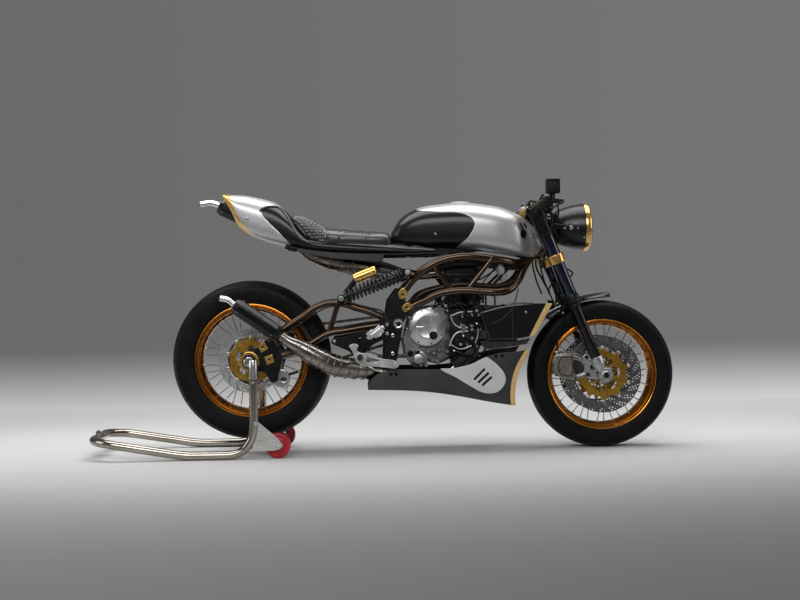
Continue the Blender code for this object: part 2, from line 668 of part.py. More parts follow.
def main_frame():
    pieces = []
    for side in (RIGHT, LEFT):
        for route in (UPPER_TUBE, LOWER_TUBE):
            pieces.append(tube([(x, side * y, z) for x, z, y in route], FRAME_R))
        for route in (UPPER_TWIN, LOWER_TWIN):
            pieces.append(tube([(x, side * y, z) for x, z, y in route], TWIN_R, 1))
        for low, high in DIAGONALS:
            pieces.append(bar((low[0], side * 0.137, low[1]), (high[0], side * 0.133, high[1]), 0.011, 8))
        boss = cross_bar(SHOCK_HIGH, side * 0.108, side * 0.1445, 0.013)
        strut = bar((0.088, side * 0.121, 0.722), (0.128, side * 0.124, 0.706), 0.011, 8)
        pieces += [boss, strut]
    pieces.append(cross_bar((0.290, 0.0, 0.782), -FRAME_Y, FRAME_Y, 0.012))
    pieces.append(bar((0.290, 0.0, 0.785), (0.290, 0.0, 0.8140), 0.014, 12))
    head = bar(on_stem(HEAD_LOW), on_stem(HEAD_HIGH), HEAD_R, 20)
    made = fuse(head, *pieces)
    made = cut(made, bar(on_stem(HEAD_LOW - 0.05), on_stem(HEAD_HIGH + 0.05), HEAD_BORE_R, 16))
    return part(made, "main_frame", "bronze_frame")


main_frame()

PIVOT_PLATE = [(0.046, 0.661), (0.010, 0.614), (-0.003, 0.536), (-0.010, 0.359), (0.037, 0.354), (0.050, 0.417),
               (0.058, 0.456), (0.071, 0.527), (0.104, 0.581), (0.098, 0.598), (0.078, 0.610), (0.080, 0.645),
               (0.066, 0.662)]
LUGS = [[(0.052, 0.639), (0.068, 0.658), (0.087, 0.641), (0.080, 0.628), (0.065, 0.619)],
        [(0.066, 0.585), (0.080, 0.597), (0.092, 0.600), (0.103, 0.582), (0.090, 0.574), (0.076, 0.567)]]
LUG_THICK = 0.008
for label, turn in (("right", RIGHT), ("left", LEFT)):
    near, far = sorted((turn * PLATE_Y[0], turn * PLATE_Y[1]))
    side_plate = plate(PIVOT_PLATE, near, far)
    near, far = sorted((turn * (PLATE_Y[1] - 0.004), turn * (PLATE_Y[1] + LUG_THICK)))
    side_plate = fuse(side_plate, *[plate(lug, near, far) for lug in LUGS])
    side_plate = cut(side_plate, cross_bar(PIVOT, turn * 0.12, turn * 0.17, PIVOT_BOLT_R + 2 * TOUCH, 16))
    part(side_plate, "pivot_plate_" + label, "black_metal")
PIVOT_SEAT = PLATE_Y[1] + TOUCH
part(lathe([(0.0, -0.156), (0.021, -0.156), (0.021, -PIVOT_SEAT), (PIVOT_BOLT_R, -PIVOT_SEAT),
            (PIVOT_BOLT_R, PIVOT_SEAT), (0.021, PIVOT_SEAT), (0.021, 0.156), (0.0, 0.156)],
           PIVOT, (0, 1, 0), 16), "swingarm_pivot", "cast_aluminium")

# Swingarm with its tubes, lugs and axle carriers
ARM_UPPER = [(-0.478, 0.441), (-0.401, 0.506), (-0.337, 0.548), (-0.270, 0.592), (-0.223, 0.606), (-0.175, 0.603),
             (-0.117, 0.585), (-0.054, 0.564), (0.000, 0.540), (0.040, 0.524)]
ARM_LOWER = [(-0.451, 0.391), (-0.368, 0.414), (-0.295, 0.448), (-0.228, 0.484), (-0.161, 0.495), (-0.055, 0.511),
             (0.040, 0.519)]
ARM_BRACES = [((-0.385, 0.508), (-0.385, 0.412)), ((-0.228, 0.484), (-0.190, 0.600)), ((-0.295, 0.448), (-0.345, 0.540))]


def swingarm():
    pieces = []
    for side in (RIGHT, LEFT):
        for route in (ARM_UPPER, ARM_LOWER):
            pieces.append(tube([(x, side * SWINGARM_Y, z) for x, z in route], SWINGARM_R))
        for low, high in ARM_BRACES:
            pieces.append(bar((low[0], side * SWINGARM_Y, low[1]), (high[0], side * SWINGARM_Y, high[1]), 0.009, 8))
        pieces.append(cross_bar(SHOCK_LOW, side * 0.108, side * 0.1445, 0.013))
    barrel = cross_bar(PIVOT, -PLATE_Y[0] + TOUCH, PLATE_Y[0] - TOUCH, PIVOT_R, 16)
    bridge = bar((-0.150, -SWINGARM_Y, 0.495), (-0.150, SWINGARM_Y, 0.495), 0.012, 12)
    made = fuse(barrel, bridge, *pieces)
    made = cut(made, cutter_bar(PIVOT, 0.2, PIVOT_BOLT_R + 2 * TOUCH))
    return part(made, "swingarm", "bronze_frame")


swingarm()
CARRIER = [(-0.570, 0.379), (-0.561, 0.358), (-0.540, 0.349), (-0.483, 0.337), (-0.452, 0.293), (-0.430, 0.300),
           (-0.424, 0.344), (-0.408, 0.391), (-0.440, 0.452), (-0.478, 0.460), (-0.500, 0.440), (-0.530, 0.409),
           (-0.560, 0.401)]
for label, turn in (("right", RIGHT), ("left", LEFT)):
    carrier = plate(CARRIER, min(turn * CARRIER_Y[0], turn * CARRIER_Y[1]), max(turn * CARRIER_Y[0], turn * CARRIER_Y[1]))
    carrier = cut(carrier, cross_bar(REAR_AXLE, turn * 0.12, turn * 0.16, REAR_AXLE_R + TOUCH, 16))
    part(carrier, "axle_carrier_" + label, "black_metal")

caliper = plate([(-0.470, 0.330), (-0.452, 0.348), (-0.400, 0.340), (-0.380, 0.300), (-0.396, 0.268), (-0.440, 0.272),
                 (-0.462, 0.292)], -0.104, -0.068)
caliper = cut(caliper, lathe([(0.0, 0.0775), (REAR_DISC_R + 0.005, 0.0775), (REAR_DISC_R + 0.005, 0.0925),
                              (0.0, 0.0925)], REAR_AXLE, (0, -1, 0), 48))
caliper = fuse(caliper, bar((-0.436, -0.100, 0.322), (-0.436, -CARRIER_Y[0] + TOUCH, 0.322), 0.012, 12))
part(caliper, "rear_caliper", "cast_aluminium")


# Twin shock absorbers with piggyback reservoirs
def shock(name, side):
    low = at(SHOCK_LOW, side * SHOCK_Y)
    high = at(SHOCK_HIGH, side * SHOCK_Y)
    length = (high - low).length
    body = lathe([(0.0, 0.0), (0.011, 0.0), (0.011, 0.030), (0.0275, 0.036), (0.0275, length - 0.078),
                  (0.021, length - 0.070), (0.021, length - 0.022), (0.012, length - 0.014), (0.012, length),
                  (0.0, length)],
                 low, high - low, 16)
    eyes = [cross_bar(place, side * 0.1448, side * 0.175, 0.015, 16) for place in (SHOCK_LOW, SHOCK_HIGH)]
    run = (high - low).normalized()
    up = Vector((-run.z, 0.0, run.x))
    start = low + run * (length - 0.205) + up * 0.054
    bottle = bar(start, start + run * 0.092, 0.0205, 16)
    link = bar(low + run * 0.044, start + run * 0.014, 0.010, 8)
    return part(fuse(body, *eyes, bottle, link), name, "gold_anodised")


shock("shock_right", RIGHT)
shock("shock_left", LEFT)

# Engine
CASE = [(0.067, 0.435), (0.075, 0.390), (0.212, 0.352), (0.300, 0.395), (0.372, 0.420), (0.388, 0.490),
        (0.374, 0.569), (0.216, 0.591), (0.120, 0.585), (0.092, 0.545)]
CASE_MIDDLE = Vector((0.225, 0.480))
PAN_BOSS = Vector((0.200, 0.0, 0.372))
PAN_HALF = 0.150
PAN_WALL = 0.0045


def case_outline(grow):
    outline = []
    for x, z in CASE:
        away = Vector((x, z)) - CASE_MIDDLE
        place = CASE_MIDDLE + away.normalized() * (away.length + grow)
        outline.append((place.x, place.y))
    return outline


def case_space():
    return plate(case_outline(TOUCH * 1.2), -0.3, 0.3)


def bank_point(angle, along, across):
    run = Vector((math.cos(angle), 0.0, math.sin(angle)))
    up = Vector((-run.z, 0.0, run.x))
    return CRANK + run * along + up * across


def cylinder_bank(name, angle):
    """Barrel, head and crown of one bank, seated on the crankcase."""
    matrix = Matrix.Translation(CRANK) @ Matrix.Rotation(-angle, 4, "Y")
    barrel = block((0.070, -CYLINDER_HALF, -CYLINDER_DEPTH), (0.160, CYLINDER_HALF, CYLINDER_DEPTH))
    head = block((0.158, -CYLINDER_HALF - 0.012, -CYLINDER_DEPTH - 0.006),
                 (0.205, CYLINDER_HALF + 0.012, CYLINDER_DEPTH + 0.006))
    crown = block((0.204, -CYLINDER_HALF + 0.016, -CYLINDER_DEPTH + 0.020),
                  (0.218, CYLINDER_HALF - 0.016, CYLINDER_DEPTH - 0.020))
    made = fuse(barrel, head, crown)
    made.data.transform(matrix)
    return part(cut(made, case_space()), name, "cast_aluminium")


def crankcase():
    output = cross_bar(FRONT_SPROCKET, 0.080, 0.103, FRONT_SPROCKET_R, 24)
    hanger = cutter_bar((0.028, 0.0, 0.384), PLATE_Y[0] - TOUCH, 0.009, 12)
    hanger_arm = block((0.026, -0.030, 0.3775), (0.090, 0.030, 0.3905))
    pan_boss = cutter_bar(PAN_BOSS, PAN_HALF - PAN_WALL - TOUCH, 0.009, 12)
    pump = cross_bar((0.131, 0.0, 0.376), -0.112, -0.070, 0.038, 20)
    made = fuse(plate(CASE, -CASE_HALF, CASE_HALF), output, hanger, hanger_arm, pan_boss, pump)
    return part(made, "crankcase", "cast_aluminium")


def carburettors():
    pieces = []
    for side in (RIGHT, LEFT):
        pieces.append(bar((0.360, side * 0.036, 0.512), (0.425, side * 0.036, 0.510), 0.026, 16))
        pieces.append(bar((0.424, side * 0.036, 0.510), (0.470, side * 0.036, 0.509), 0.030, 16))
        pieces.append(bar((0.425, side * 0.036, 0.470), (0.425, side * 0.036, 0.552), 0.019, 12))
    pieces.append(block((0.408, -0.040, 0.500), (0.440, 0.040, 0.522)))
    return part(cut(fuse(*pieces), case_space()), "carburettors", "cast_aluminium")


crankcase()
cylinder_bank("rear_cylinder", UPPER_BANK)
cylinder_bank("front_cylinder", LOWER_BANK)
carburettors()
part(lathe([(0.0, CASE_HALF + TOUCH), (CLUTCH_R, CASE_HALF + TOUCH), (CLUTCH_R, 0.112), (0.068, 0.118),
            (0.060, 0.118), (0.058, 0.126), (0.046, 0.126), (0.044, 0.121), (0.0, 0.121)],
           CLUTCH, (0, -1, 0), 32), "clutch_cover", "cast_aluminium")

# Radiator, its shroud and the belly pan
SHROUD_Y = (0.150, 0.170)
RADIATOR = [(0.560, 0.577), (0.597, 0.577), (0.556, 0.466), (0.519, 0.466)]
SHROUD = [(0.372, 0.562), (0.432, 0.577), (0.491, 0.588), (0.610, 0.594), (0.658, 0.591), (0.585, 0.464),
          (0.497, 0.451), (0.410, 0.451)]


def radiator_shroud():
    sides = []
    for side in (RIGHT, LEFT):
        near, far = sorted((side * SHROUD_Y[0], side * SHROUD_Y[1]))
        sides.append(plate(SHROUD, near, far))
        tab_y = sorted((side * (FRAME_Y + FRAME_R + TOUCH), side * 0.166))
        sides.append(block((0.420, tab_y[0], 0.560), (0.445, tab_y[1], 0.652)))
    bridge = block((0.500, -0.155, 0.5835), (0.600, 0.155, 0.5885))
    return part(fuse(bridge, *sides), "radiator_shroud", "gloss_black")


part(plate(RADIATOR, -SHROUD_Y[0] + TOUCH, SHROUD_Y[0] - TOUCH), "radiator", "black_metal")
radiator_shroud()

PAN_TAB = (PAN_BOSS.x - 0.014, PAN_BOSS.x + 0.014, PAN_BOSS.z + 0.012)
PAN_TOP = [(-0.074, 0.260), (-0.062, 0.299), (-0.034, 0.322), (0.022, 0.337), (0.093, 0.338), (PAN_TAB[0], 0.3365),
           (PAN_TAB[0], PAN_TAB[2]), (PAN_TAB[1], PAN_TAB[2]), (PAN_TAB[1], 0.3362), (0.292, 0.345), (0.351, 0.359), (0.391, 0.381), (0.451, 0.397), (0.531, 0.404), (0.567, 0.411)]
PAN_FRONT = [(0.547, 0.360), (0.518, 0.301), (0.505, 0.250)]
PAN_BOTTOM = [(0.502, 0.188), (0.409, 0.204), (0.290, 0.228), (0.171, 0.247), (0.052, 0.256)]


def belly_pan():
    shell = plate(PAN_TOP + PAN_FRONT + PAN_BOTTOM, -PAN_HALF, PAN_HALF)
    floor = [(x, z + PAN_WALL) for x, z in PAN_BOTTOM]
    hollow = [(-0.120, 0.266), (-0.120, 0.500), (0.650, 0.500), (0.650, 0.168)] + floor
    inner = plate(hollow, -PAN_HALF + PAN_WALL, PAN_HALF - PAN_WALL)
    return part(cut(shell, inner), "belly_pan", "pan_grey")


belly_pan()

# Exhausts: one expansion chamber and silencer low on the right, one through the tail
LOW_PORT = bank_point(LOWER_BANK, 0.183, -CYLINDER_DEPTH - 0.006 - TOUCH)
LOW_PORT_OUT = bank_point(LOWER_BANK, 0.183, -CYLINDER_DEPTH - 0.032)
LOW_CHAMBER = [
    # x, y, z, radius
    (LOW_PORT.x, -0.020, LOW_PORT.z, 0.019), (LOW_PORT_OUT.x, -0.020, LOW_PORT_OUT.z, 0.019),
    (0.225, -0.030, 0.295, 0.020), (0.150, -0.040, 0.292, 0.022), (0.060, -0.055, 0.300, 0.027),
    (-0.020, -0.082, 0.318, 0.033), (-0.085, -0.118, 0.337, 0.038), (-0.145, -0.152, 0.347, 0.041),
    (-0.202, -0.178, 0.360, 0.042), (-0.252, -0.190, 0.384, 0.041), (-0.300, -0.197, 0.412, 0.037),
    (-0.345, -0.200, 0.440, 0.030), (-0.380, -0.202, 0.4585, 0.023), (-0.410, -0.204, 0.480, 0.020),
]
LOW_SILENCER = ((-0.41025, -0.20415, 0.48018), (-0.588, -0.216, 0.6055))
HIGH_PORT = bank_point(UPPER_BANK, 0.183, CYLINDER_DEPTH + 0.006 + TOUCH)
HIGH_PORT_OUT = bank_point(UPPER_BANK, 0.183, CYLINDER_DEPTH + 0.024)
HIGH_CHAMBER = [
    # x, y, z, radius
    (HIGH_PORT.x, 0.0, HIGH_PORT.z, 0.019), (HIGH_PORT_OUT.x, 0.0, HIGH_PORT_OUT.z, 0.019),
    (0.245, 0.0, 0.716, 0.019), (0.190, 0.0, 0.716, 0.020), (0.120, 0.0, 0.712, 0.022), (0.040, 0.0, 0.720, 0.030),
    (-0.040, 0.0, 0.738, 0.039), (-0.130, 0.0, 0.760, 0.042), (-0.215, 0.0, 0.780, 0.041),
    (-0.290, 0.0, 0.806, 0.034), (-0.350, 0.0, 0.846, 0.026), (-0.400, 0.0, 0.880, 0.021),
    (-0.440, 0.0, 0.8990, 0.020),
]
HIGH_SILENCER = ((-0.44025, 0.0, 0.89916), (-0.665, 0.0, 1.006))


def chamber(name, table):
    made = tube([(x, y, z) for x, y, z, radius in table], 1.0, 3, radii=[radius for x, y, z, radius in table])
    return part(made, name, "raw_steel")


def silencer(name, ends, radius, tail):
    start, end = (Vector(place) for place in ends)
    length = (end - start).length
    body = lathe([(0.0, 0.0), (0.021, 0.0), (0.030, 0.012), (radius, 0.030), (radius, length - 0.018),
                  (radius * 0.8, length), (0.0, length)], start, end - start, 20)
    pipe = tube([end - (end - start).normalized() * 0.010, *tail], 0.0135, 3, 0.012)
    return part(fuse(body, pipe), name, "silencer_black")


chamber("exhaust_lower", LOW_CHAMBER)
chamber("exhaust_upper", HIGH_CHAMBER)
silencer("silencer_lower", LOW_SILENCER, 0.034, [(-0.612, -0.2175, 0.624), (-0.642, -0.219, 0.631)])
silencer("silencer_upper", HIGH_SILENCER, 0.038, [(-0.690, 0.0, 1.016), (-0.742, 0.0, 1.013)])


# Bodywork: tank, tail and seat
TANK = [
    # x, bottom, top, half width
    (0.030, 0.838, 0.886, 0.062), (0.067, 0.831, 0.942, 0.088), (0.142, 0.823, 0.986, 0.112),
    (0.232, 0.818, 1.001, 0.127), (0.314, 0.813, 1.006, 0.134), (0.396, 0.807, 0.999, 0.136),
    (0.478, 0.795, 0.984, 0.130), (0.540, 0.783, 0.960, 0.106), (0.582, 0.774, 0.936, 0.072),
    (0.615, 0.778, 0.902, 0.062), (0.641, 0.808, 0.850, 0.048),
]
TAIL = [
    # x, bottom, top, half width
    (0.212, 0.797, 0.810, 0.104), (0.023, 0.800, 0.826, 0.116), (-0.137, 0.806, 0.840, 0.126),
    (-0.237, 0.812, 0.850, 0.128), (-0.297, 0.818, 0.866, 0.127), (-0.336, 0.824, 0.903, 0.124),
    (-0.364, 0.827, 0.945, 0.120), (-0.401, 0.836, 0.986, 0.114), (-0.437, 0.845, 1.013, 0.109),
    (-0.493, 0.862, 1.031, 0.102), (-0.555, 0.893, 1.044, 0.093), (-0.588, 0.922, 1.047, 0.088),
    (-0.610, 0.968, 1.048, 0.083), (-0.643, 1.030, 1.049, 0.072),
]
SEAT = [
    # x, bottom, top, half width
    (-0.366, 0.915, 0.962, 0.088), (-0.335, 0.870, 0.961, 0.104), (-0.297, 0.845, 0.942, 0.114),
    (-0.237, 0.832, 0.910, 0.121), (-0.156, 0.826, 0.900, 0.122), (-0.057, 0.820, 0.891, 0.115),
    (0.012, 0.815, 0.879, 0.101), (0.0225, 0.812, 0.858, 0.088),
]
SUB_RAIL = [(0.205, 0.797), (-0.058, 0.797), (-0.178, 0.803), (-0.300, 0.815), (-0.395, 0.832)]
SUB_BRACE = [(-0.330, 0.817), (-0.218, 0.768), (-0.131, 0.749), (-0.058, 0.790), (0.061, 0.737), (0.119, 0.706)]
SUB_Y = 0.096
SUB_R = 0.009
TANK_PADS = ((0.290, 0.8140), (0.100, 0.8270))


def rails(grow):
    return [tube([(x, side * SUB_Y, z) for x, z in SUB_RAIL], SUB_R + grow) for side in (RIGHT, LEFT)]


def tail_body(grow):
    return loft([body_section(x, low - grow, high + grow, half + grow) for x, low, high, half in TAIL])


def lock_recess():
    """Space that the bar clamp on each leg sweeps as the steering turns to its stop."""
    bars = []
    for side in (RIGHT, LEFT):
        for share in (0.55, 0.8, 1.0):
            turn = Matrix.Rotation(side * STEER_LIMIT * share, 3, FORK_UP)
            ends = [on_stem(0.0) + turn @ (on_leg(along, side) - on_stem(0.0)) for along in (0.590, 0.790)]
            bars.append(bar(*ends, SLIDER_R + BAR_PAD + STEER_CLEAR, 16))
    return bars


def fuel_tank():
    shell = loft([body_section(x, low, high, half, 20) for x, low, high, half in TANK])
    cap = bar((0.314, 0.0, 1.000), (0.314, 0.0, 1.0115), 0.036, 24)
    neck = bar(on_stem(0.40), on_stem(0.90), HEAD_R + 0.007, 20)
    clamp_swing = bar(on_stem(CLAMP_HIGH - 0.006), on_stem(0.90), 0.048, 20)
    under = block((0.540, -0.046, 0.750), (0.660, 0.046, 0.812))
    pads = [bar((x, 0.0, 0.770), (x, 0.0, z + TOUCH), 0.0145, 12) for x, z in TANK_PADS]
    made = cut(fuse(shell, cap), neck, clamp_swing, under, *pads, *lock_recess())
    return part(made, "fuel_tank", "satin_silver", 45.0)


def tail_cowl():
    shell = tail_body(0.0)
    inner = block((0.030, -0.094, 0.770), (0.260, 0.094, 0.850))
    route = [(x, y, z) for x, y, z, radius in HIGH_CHAMBER[7:]] + [(-0.665, 0.0, 1.006), (-0.760, 0.0, 1.051)]
    radii = [radius + 0.006 for x, y, z, radius in HIGH_CHAMBER[7:-1]] + [0.046, 0.046, 0.046]
    passage = tube(route, 1.0, 3, radii=radii)
    return part(cut(shell, *rails(TOUCH), inner, passage), "tail_cowl", "satin_silver", 45.0)


def seat():
    cushion = loft([body_section(x, low, high, half, 20) for x, low, high, half in SEAT])
    return part(cut(cushion, tail_body(2 * TOUCH)), "seat", "seat_leather", 50.0)


def subframe():
    pieces = rails(0.0)
    for side in (RIGHT, LEFT):
        pieces.append(tube([(x, side * SUB_Y, z) for x, z in SUB_BRACE], SUB_R * 0.9, 1))
        pieces.append(cross_bar((0.119, 0.0, 0.704), side * SUB_Y, side * (PLATE_TUBE_Y - FRAME_R - TOUCH), 0.008, 8))
    pieces.append(cross_bar((0.190, 0.0, 0.797), -SUB_Y, SUB_Y, 0.008, 8))
    pieces.append(cross_bar((0.100, 0.0, 0.797), -SUB_Y, SUB_Y, 0.008, 8))
    x, top = TANK_PADS[1]
    pieces.append(bar((x, 0.0, 0.797), (x, 0.0, top), 0.013, 12))
    return part(fuse(*pieces), "subframe", "black_metal")


fuel_tank()
tail_cowl()
seat()
subframe()


# Rearsets: hanger, peg and lever
REARSET = [(0.018, 0.532), (-0.010, 0.528), (-0.080, 0.486), (-0.214, 0.464), (-0.218, 0.446), (-0.150, 0.416),
           (-0.122, 0.392), (-0.098, 0.388), (-0.082, 0.408), (-0.050, 0.440), (0.018, 0.470)]


def rearset(name, side):
    near, far = sorted((side * (PLATE_Y[1] + TOUCH), side * (PLATE_Y[1] + 0.008)))
    hanger = plate(REARSET, near, far)
    peg = cross_bar((-0.104, 0.0, 0.394), side * 0.152, side * 0.245, 0.011)
    lever = tube([(-0.104, side * 0.166, 0.394), (-0.030, side * 0.172, 0.384), (0.034, side * 0.185, 0.362),
                  (0.036, side * 0.232, 0.362)], 0.0065, 2, 0.02)
    master = bar((-0.074, side * 0.166, 0.464), (-0.010, side * 0.166, 0.512), 0.0115, 12)
    return part(fuse(hanger, peg, lever, master), name, "black_metal")


rearset("rearset_right", RIGHT)
rearset("rearset_left", LEFT)


# Chain as a closed belt round the two sprockets
def belt(grow):
    """Outline at `grow` outside the chain's inner side, as tangents and arcs round both sprockets."""
    rear = Vector((REAR_AXLE.x, REAR_AXLE.z))
    front = Vector((FRONT_SPROCKET.x, FRONT_SPROCKET.z))
    rear_r = CHAIN_IN + grow
    front_r = FRONT_SPROCKET_R + 2 * TOUCH + grow
    span = front - rear
    heading = math.atan2(span.y, span.x)
    spread = math.acos((rear_r - front_r) / span.length)
    outline = []
    for centre, radius, start, stop, steps in (
            (front, front_r, heading - spread, heading + spread, 10),
            (rear, rear_r, heading + spread, heading - spread + 2 * math.pi, 22)):
        for step in range(steps + 1):
            angle = start + (stop - start) * step / steps
            outline.append((centre.x + radius * math.cos(angle), centre.y + radius * math.sin(angle)))
    return outline


part(cut(plate(belt(CHAIN_DEPTH), *CHAIN_Y), plate(belt(0.0), CHAIN_Y[0] - 0.01, CHAIN_Y[1] + 0.01)),
     "chain", "chain_steel")


# Paddock stand
STAND_SIDE = [(-0.521, STAND_Y, 0.388), (-0.521, STAND_Y, 0.134), (-0.530, STAND_Y, 0.076), (-0.560, STAND_Y, 0.034),
              (-0.605, STAND_Y, 0.0172), (-0.790, STAND_Y, 0.0172), (-1.095, STAND_Y - 0.006, 0.068),
              (-1.163, STAND_Y - 0.060, 0.075)]
STAND_PLATE = [(-0.510, 0.150), (-0.432, 0.083), (-0.406, 0.050), (-0.438, 0.033), (-0.545, 0.030), (-0.536, 0.080),
               (-0.530, 0.150)]


def stand_frame():
    right = [(x, -y, z) for x, y, z in STAND_SIDE]
    made = tube(right + STAND_SIDE[::-1], STAND_TUBE_R, 2, 0.04)
    pieces = []
    for side in (RIGHT, LEFT):
        near, far = sorted((side * STAND_PLATE_Y[0], side * STAND_PLATE_Y[1]))
        pieces.append(plate(STAND_PLATE, near, far))
        pieces.append(cross_bar(REAR_AXLE, side * (REAR_AXLE_END + TOUCH), side * (STAND_Y + 0.010), 0.017, 16))
        pieces.append(cross_bar(CASTER, side * 0.1370, side * 0.190, CASTER_STUD_R))
        pieces.append(cross_bar(CASTER, side * 0.1365, side * 0.1405, 0.015))
    return part(fuse(made, *pieces), "stand_frame", "stand_steel")


def caster(name, side):
    near, far = CASTER_Y
    bore = running_bore(CASTER_STUD_R, 36)
    made = lathe([(bore, near), (CASTER_R - 0.004, near), (CASTER_R, near + 0.005), (CASTER_R, far - 0.005),
                  (CASTER_R - 0.004, far), (bore, far)], CASTER, (0, side, 0), 36)
    made = part(made, name, "caster_red")
    set_origin(made, CASTER)
    return made


stand_frame()
caster("stand_wheel_right", RIGHT)
caster("stand_wheel_left", LEFT)
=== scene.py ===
import math
import random

import bmesh
import bpy
import numpy as np
from mathutils import Matrix, Vector


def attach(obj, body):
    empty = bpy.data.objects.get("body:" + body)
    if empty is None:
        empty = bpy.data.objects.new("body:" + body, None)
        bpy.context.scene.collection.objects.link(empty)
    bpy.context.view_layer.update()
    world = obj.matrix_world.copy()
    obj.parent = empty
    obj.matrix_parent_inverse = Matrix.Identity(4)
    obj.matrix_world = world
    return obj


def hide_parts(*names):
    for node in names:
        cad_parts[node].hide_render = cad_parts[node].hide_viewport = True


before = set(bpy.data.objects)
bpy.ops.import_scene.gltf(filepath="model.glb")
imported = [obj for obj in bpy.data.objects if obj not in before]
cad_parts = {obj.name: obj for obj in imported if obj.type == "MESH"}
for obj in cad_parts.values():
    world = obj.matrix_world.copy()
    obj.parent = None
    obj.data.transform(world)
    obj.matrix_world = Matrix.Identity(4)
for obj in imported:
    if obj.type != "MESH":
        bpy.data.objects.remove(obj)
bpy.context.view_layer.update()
random.seed(7)
scene = bpy.context.scene
scene.view_settings.view_transform = "Standard"


# Materials
class Shader:
    """A Principled material whose node inputs are filled by short calls."""

    def __init__(self, name, metal=0.0, rough=0.5):
        self.mat = bpy.data.materials.new(name)
        self.mat.use_nodes = True
        self.tree = self.mat.node_tree
        self.bsdf = self.tree.nodes["Principled BSDF"]
        self.bsdf.inputs["Metallic"].default_value = metal
        self.bsdf.inputs["Roughness"].default_value = rough
        self.place = self.node("ShaderNodeTexCoord").outputs["Object"]

    def node(self, kind, **values):
        made = self.tree.nodes.new(kind)
        for key, value in values.items():
            setattr(made, key, value)
        return made

    def link(self, source, target):
        self.tree.links.new(source, target)

    def mapped(self, stretch=(1.0, 1.0, 1.0), turn=(0.0, 0.0, 0.0)):
        mapping = self.node("ShaderNodeMapping")
        mapping.inputs["Scale"].default_value = stretch
        mapping.inputs["Rotation"].default_value = turn
        self.link(self.place, mapping.inputs["Vector"])
        return mapping.outputs["Vector"]

    def noise(self, scale, detail=3.0, stretch=None, roughness=0.55):
        made = self.node("ShaderNodeTexNoise")
        made.inputs["Scale"].default_value = scale
        made.inputs["Detail"].default_value = detail
        made.inputs["Roughness"].default_value = roughness
        self.link(self.mapped(stretch) if stretch else self.place, made.inputs["Vector"])
        return made.outputs["Fac"]

    def cells(self, scale, stretch=None):
        made = self.node("ShaderNodeTexVoronoi")
        made.inputs["Scale"].default_value = scale
        self.link(self.mapped(stretch) if stretch else self.place, made.inputs["Vector"])
        return made.outputs["Distance"]

    def ramp(self, factor, low=0.0, high=1.0, start=0.35, end=0.65):
        made = self.node("ShaderNodeMapRange")
        made.inputs["From Min"].default_value = start
        made.inputs["From Max"].default_value = end
        made.inputs["To Min"].default_value = low
        made.inputs["To Max"].default_value = high
        self.link(factor, made.inputs["Value"])
        return made.outputs["Result"]

    def mix(self, factor, first, second):
        made = self.node("ShaderNodeMix", data_type="RGBA")
        self.link(factor, made.inputs["Factor"])
        for socket, value in ((made.inputs[6], first), (made.inputs[7], second)):
            if isinstance(value, tuple):
                socket.default_value = (*value, 1.0)
            else:
                self.link(value, socket)
        return made.outputs[2]

    def math(self, operation, first, second):
        made = self.node("ShaderNodeMath", operation=operation)
        for socket, value in ((made.inputs[0], first), (made.inputs[1], second)):
            if isinstance(value, (int, float)):
                socket.default_value = value
            else:
                self.link(value, socket)
        return made.outputs[0]

    def axis(self, letter):
        made = self.node("ShaderNodeSeparateXYZ")
        self.link(self.place, made.inputs[0])
        return made.outputs[letter]

    def curve(self, value, low, high, points):
        """Curve through (input, output) points, in the input's own units."""
        scaled = self.ramp(value, 0.0, 1.0, low, high)
        made = self.node("ShaderNodeFloatCurve")
        line = made.mapping.curves[0]
        while len(line.points) > 2:
            line.points.remove(line.points[1])
        spots = [((place - low) / (high - low), level) for place, level in points]
        line.points[0].location = spots[0]
        line.points[-1].location = spots[-1]
        for spot in spots[1:-1]:
            line.points.new(*spot)
        for point in line.points:
            point.handle_type = "AUTO_CLAMPED"
        made.mapping.update()
        self.link(scaled, made.inputs["Value"])
        return made.outputs["Value"]

    def colour(self, source):
        if isinstance(source, tuple):
            self.bsdf.inputs["Base Color"].default_value = (*source, 1.0)
        else:
            self.link(source, self.bsdf.inputs["Base Color"])
        return self

    def rough(self, source):
        self.link(source, self.bsdf.inputs["Roughness"])
        return self

    def bump(self, height, strength=0.3, distance=0.001):
        made = self.node("ShaderNodeBump")
        made.inputs["Strength"].default_value = strength
        made.inputs["Distance"].default_value = distance
        self.link(height, made.inputs["Height"])
        self.link(made.outputs["Normal"], self.bsdf.inputs["Normal"])
        return self

    def shine(self, level):
        self.bsdf.inputs["Specular IOR Level"].default_value = level

    def coat(self, weight, rough=0.05):
        self.bsdf.inputs["Coat Weight"].default_value = weight
        self.bsdf.inputs["Coat Roughness"].default_value = rough
        return self


def varied(name, dark, light, metal, rough, spread=0.08, grain=45.0, stretch=None, bump=0.0,
        bump_scale=900.0, bump_depth=0.0004, coat=0.0, shine=0.5):
    """General finish: two tones, uneven roughness and a fine surface grain."""
    made = Shader(name, metal, rough)
    tone = made.noise(grain, 4.0, stretch)
    made.colour(made.mix(made.ramp(tone), dark, light))
    made.rough(made.ramp(made.noise(grain * 2.3, 3.0, stretch), rough - spread, rough + spread))
    if bump:
        made.bump(made.noise(bump_scale, 2.0, stretch), bump, bump_depth)
    if coat:
        made.coat(coat)
    made.shine(shine)
    return made.mat


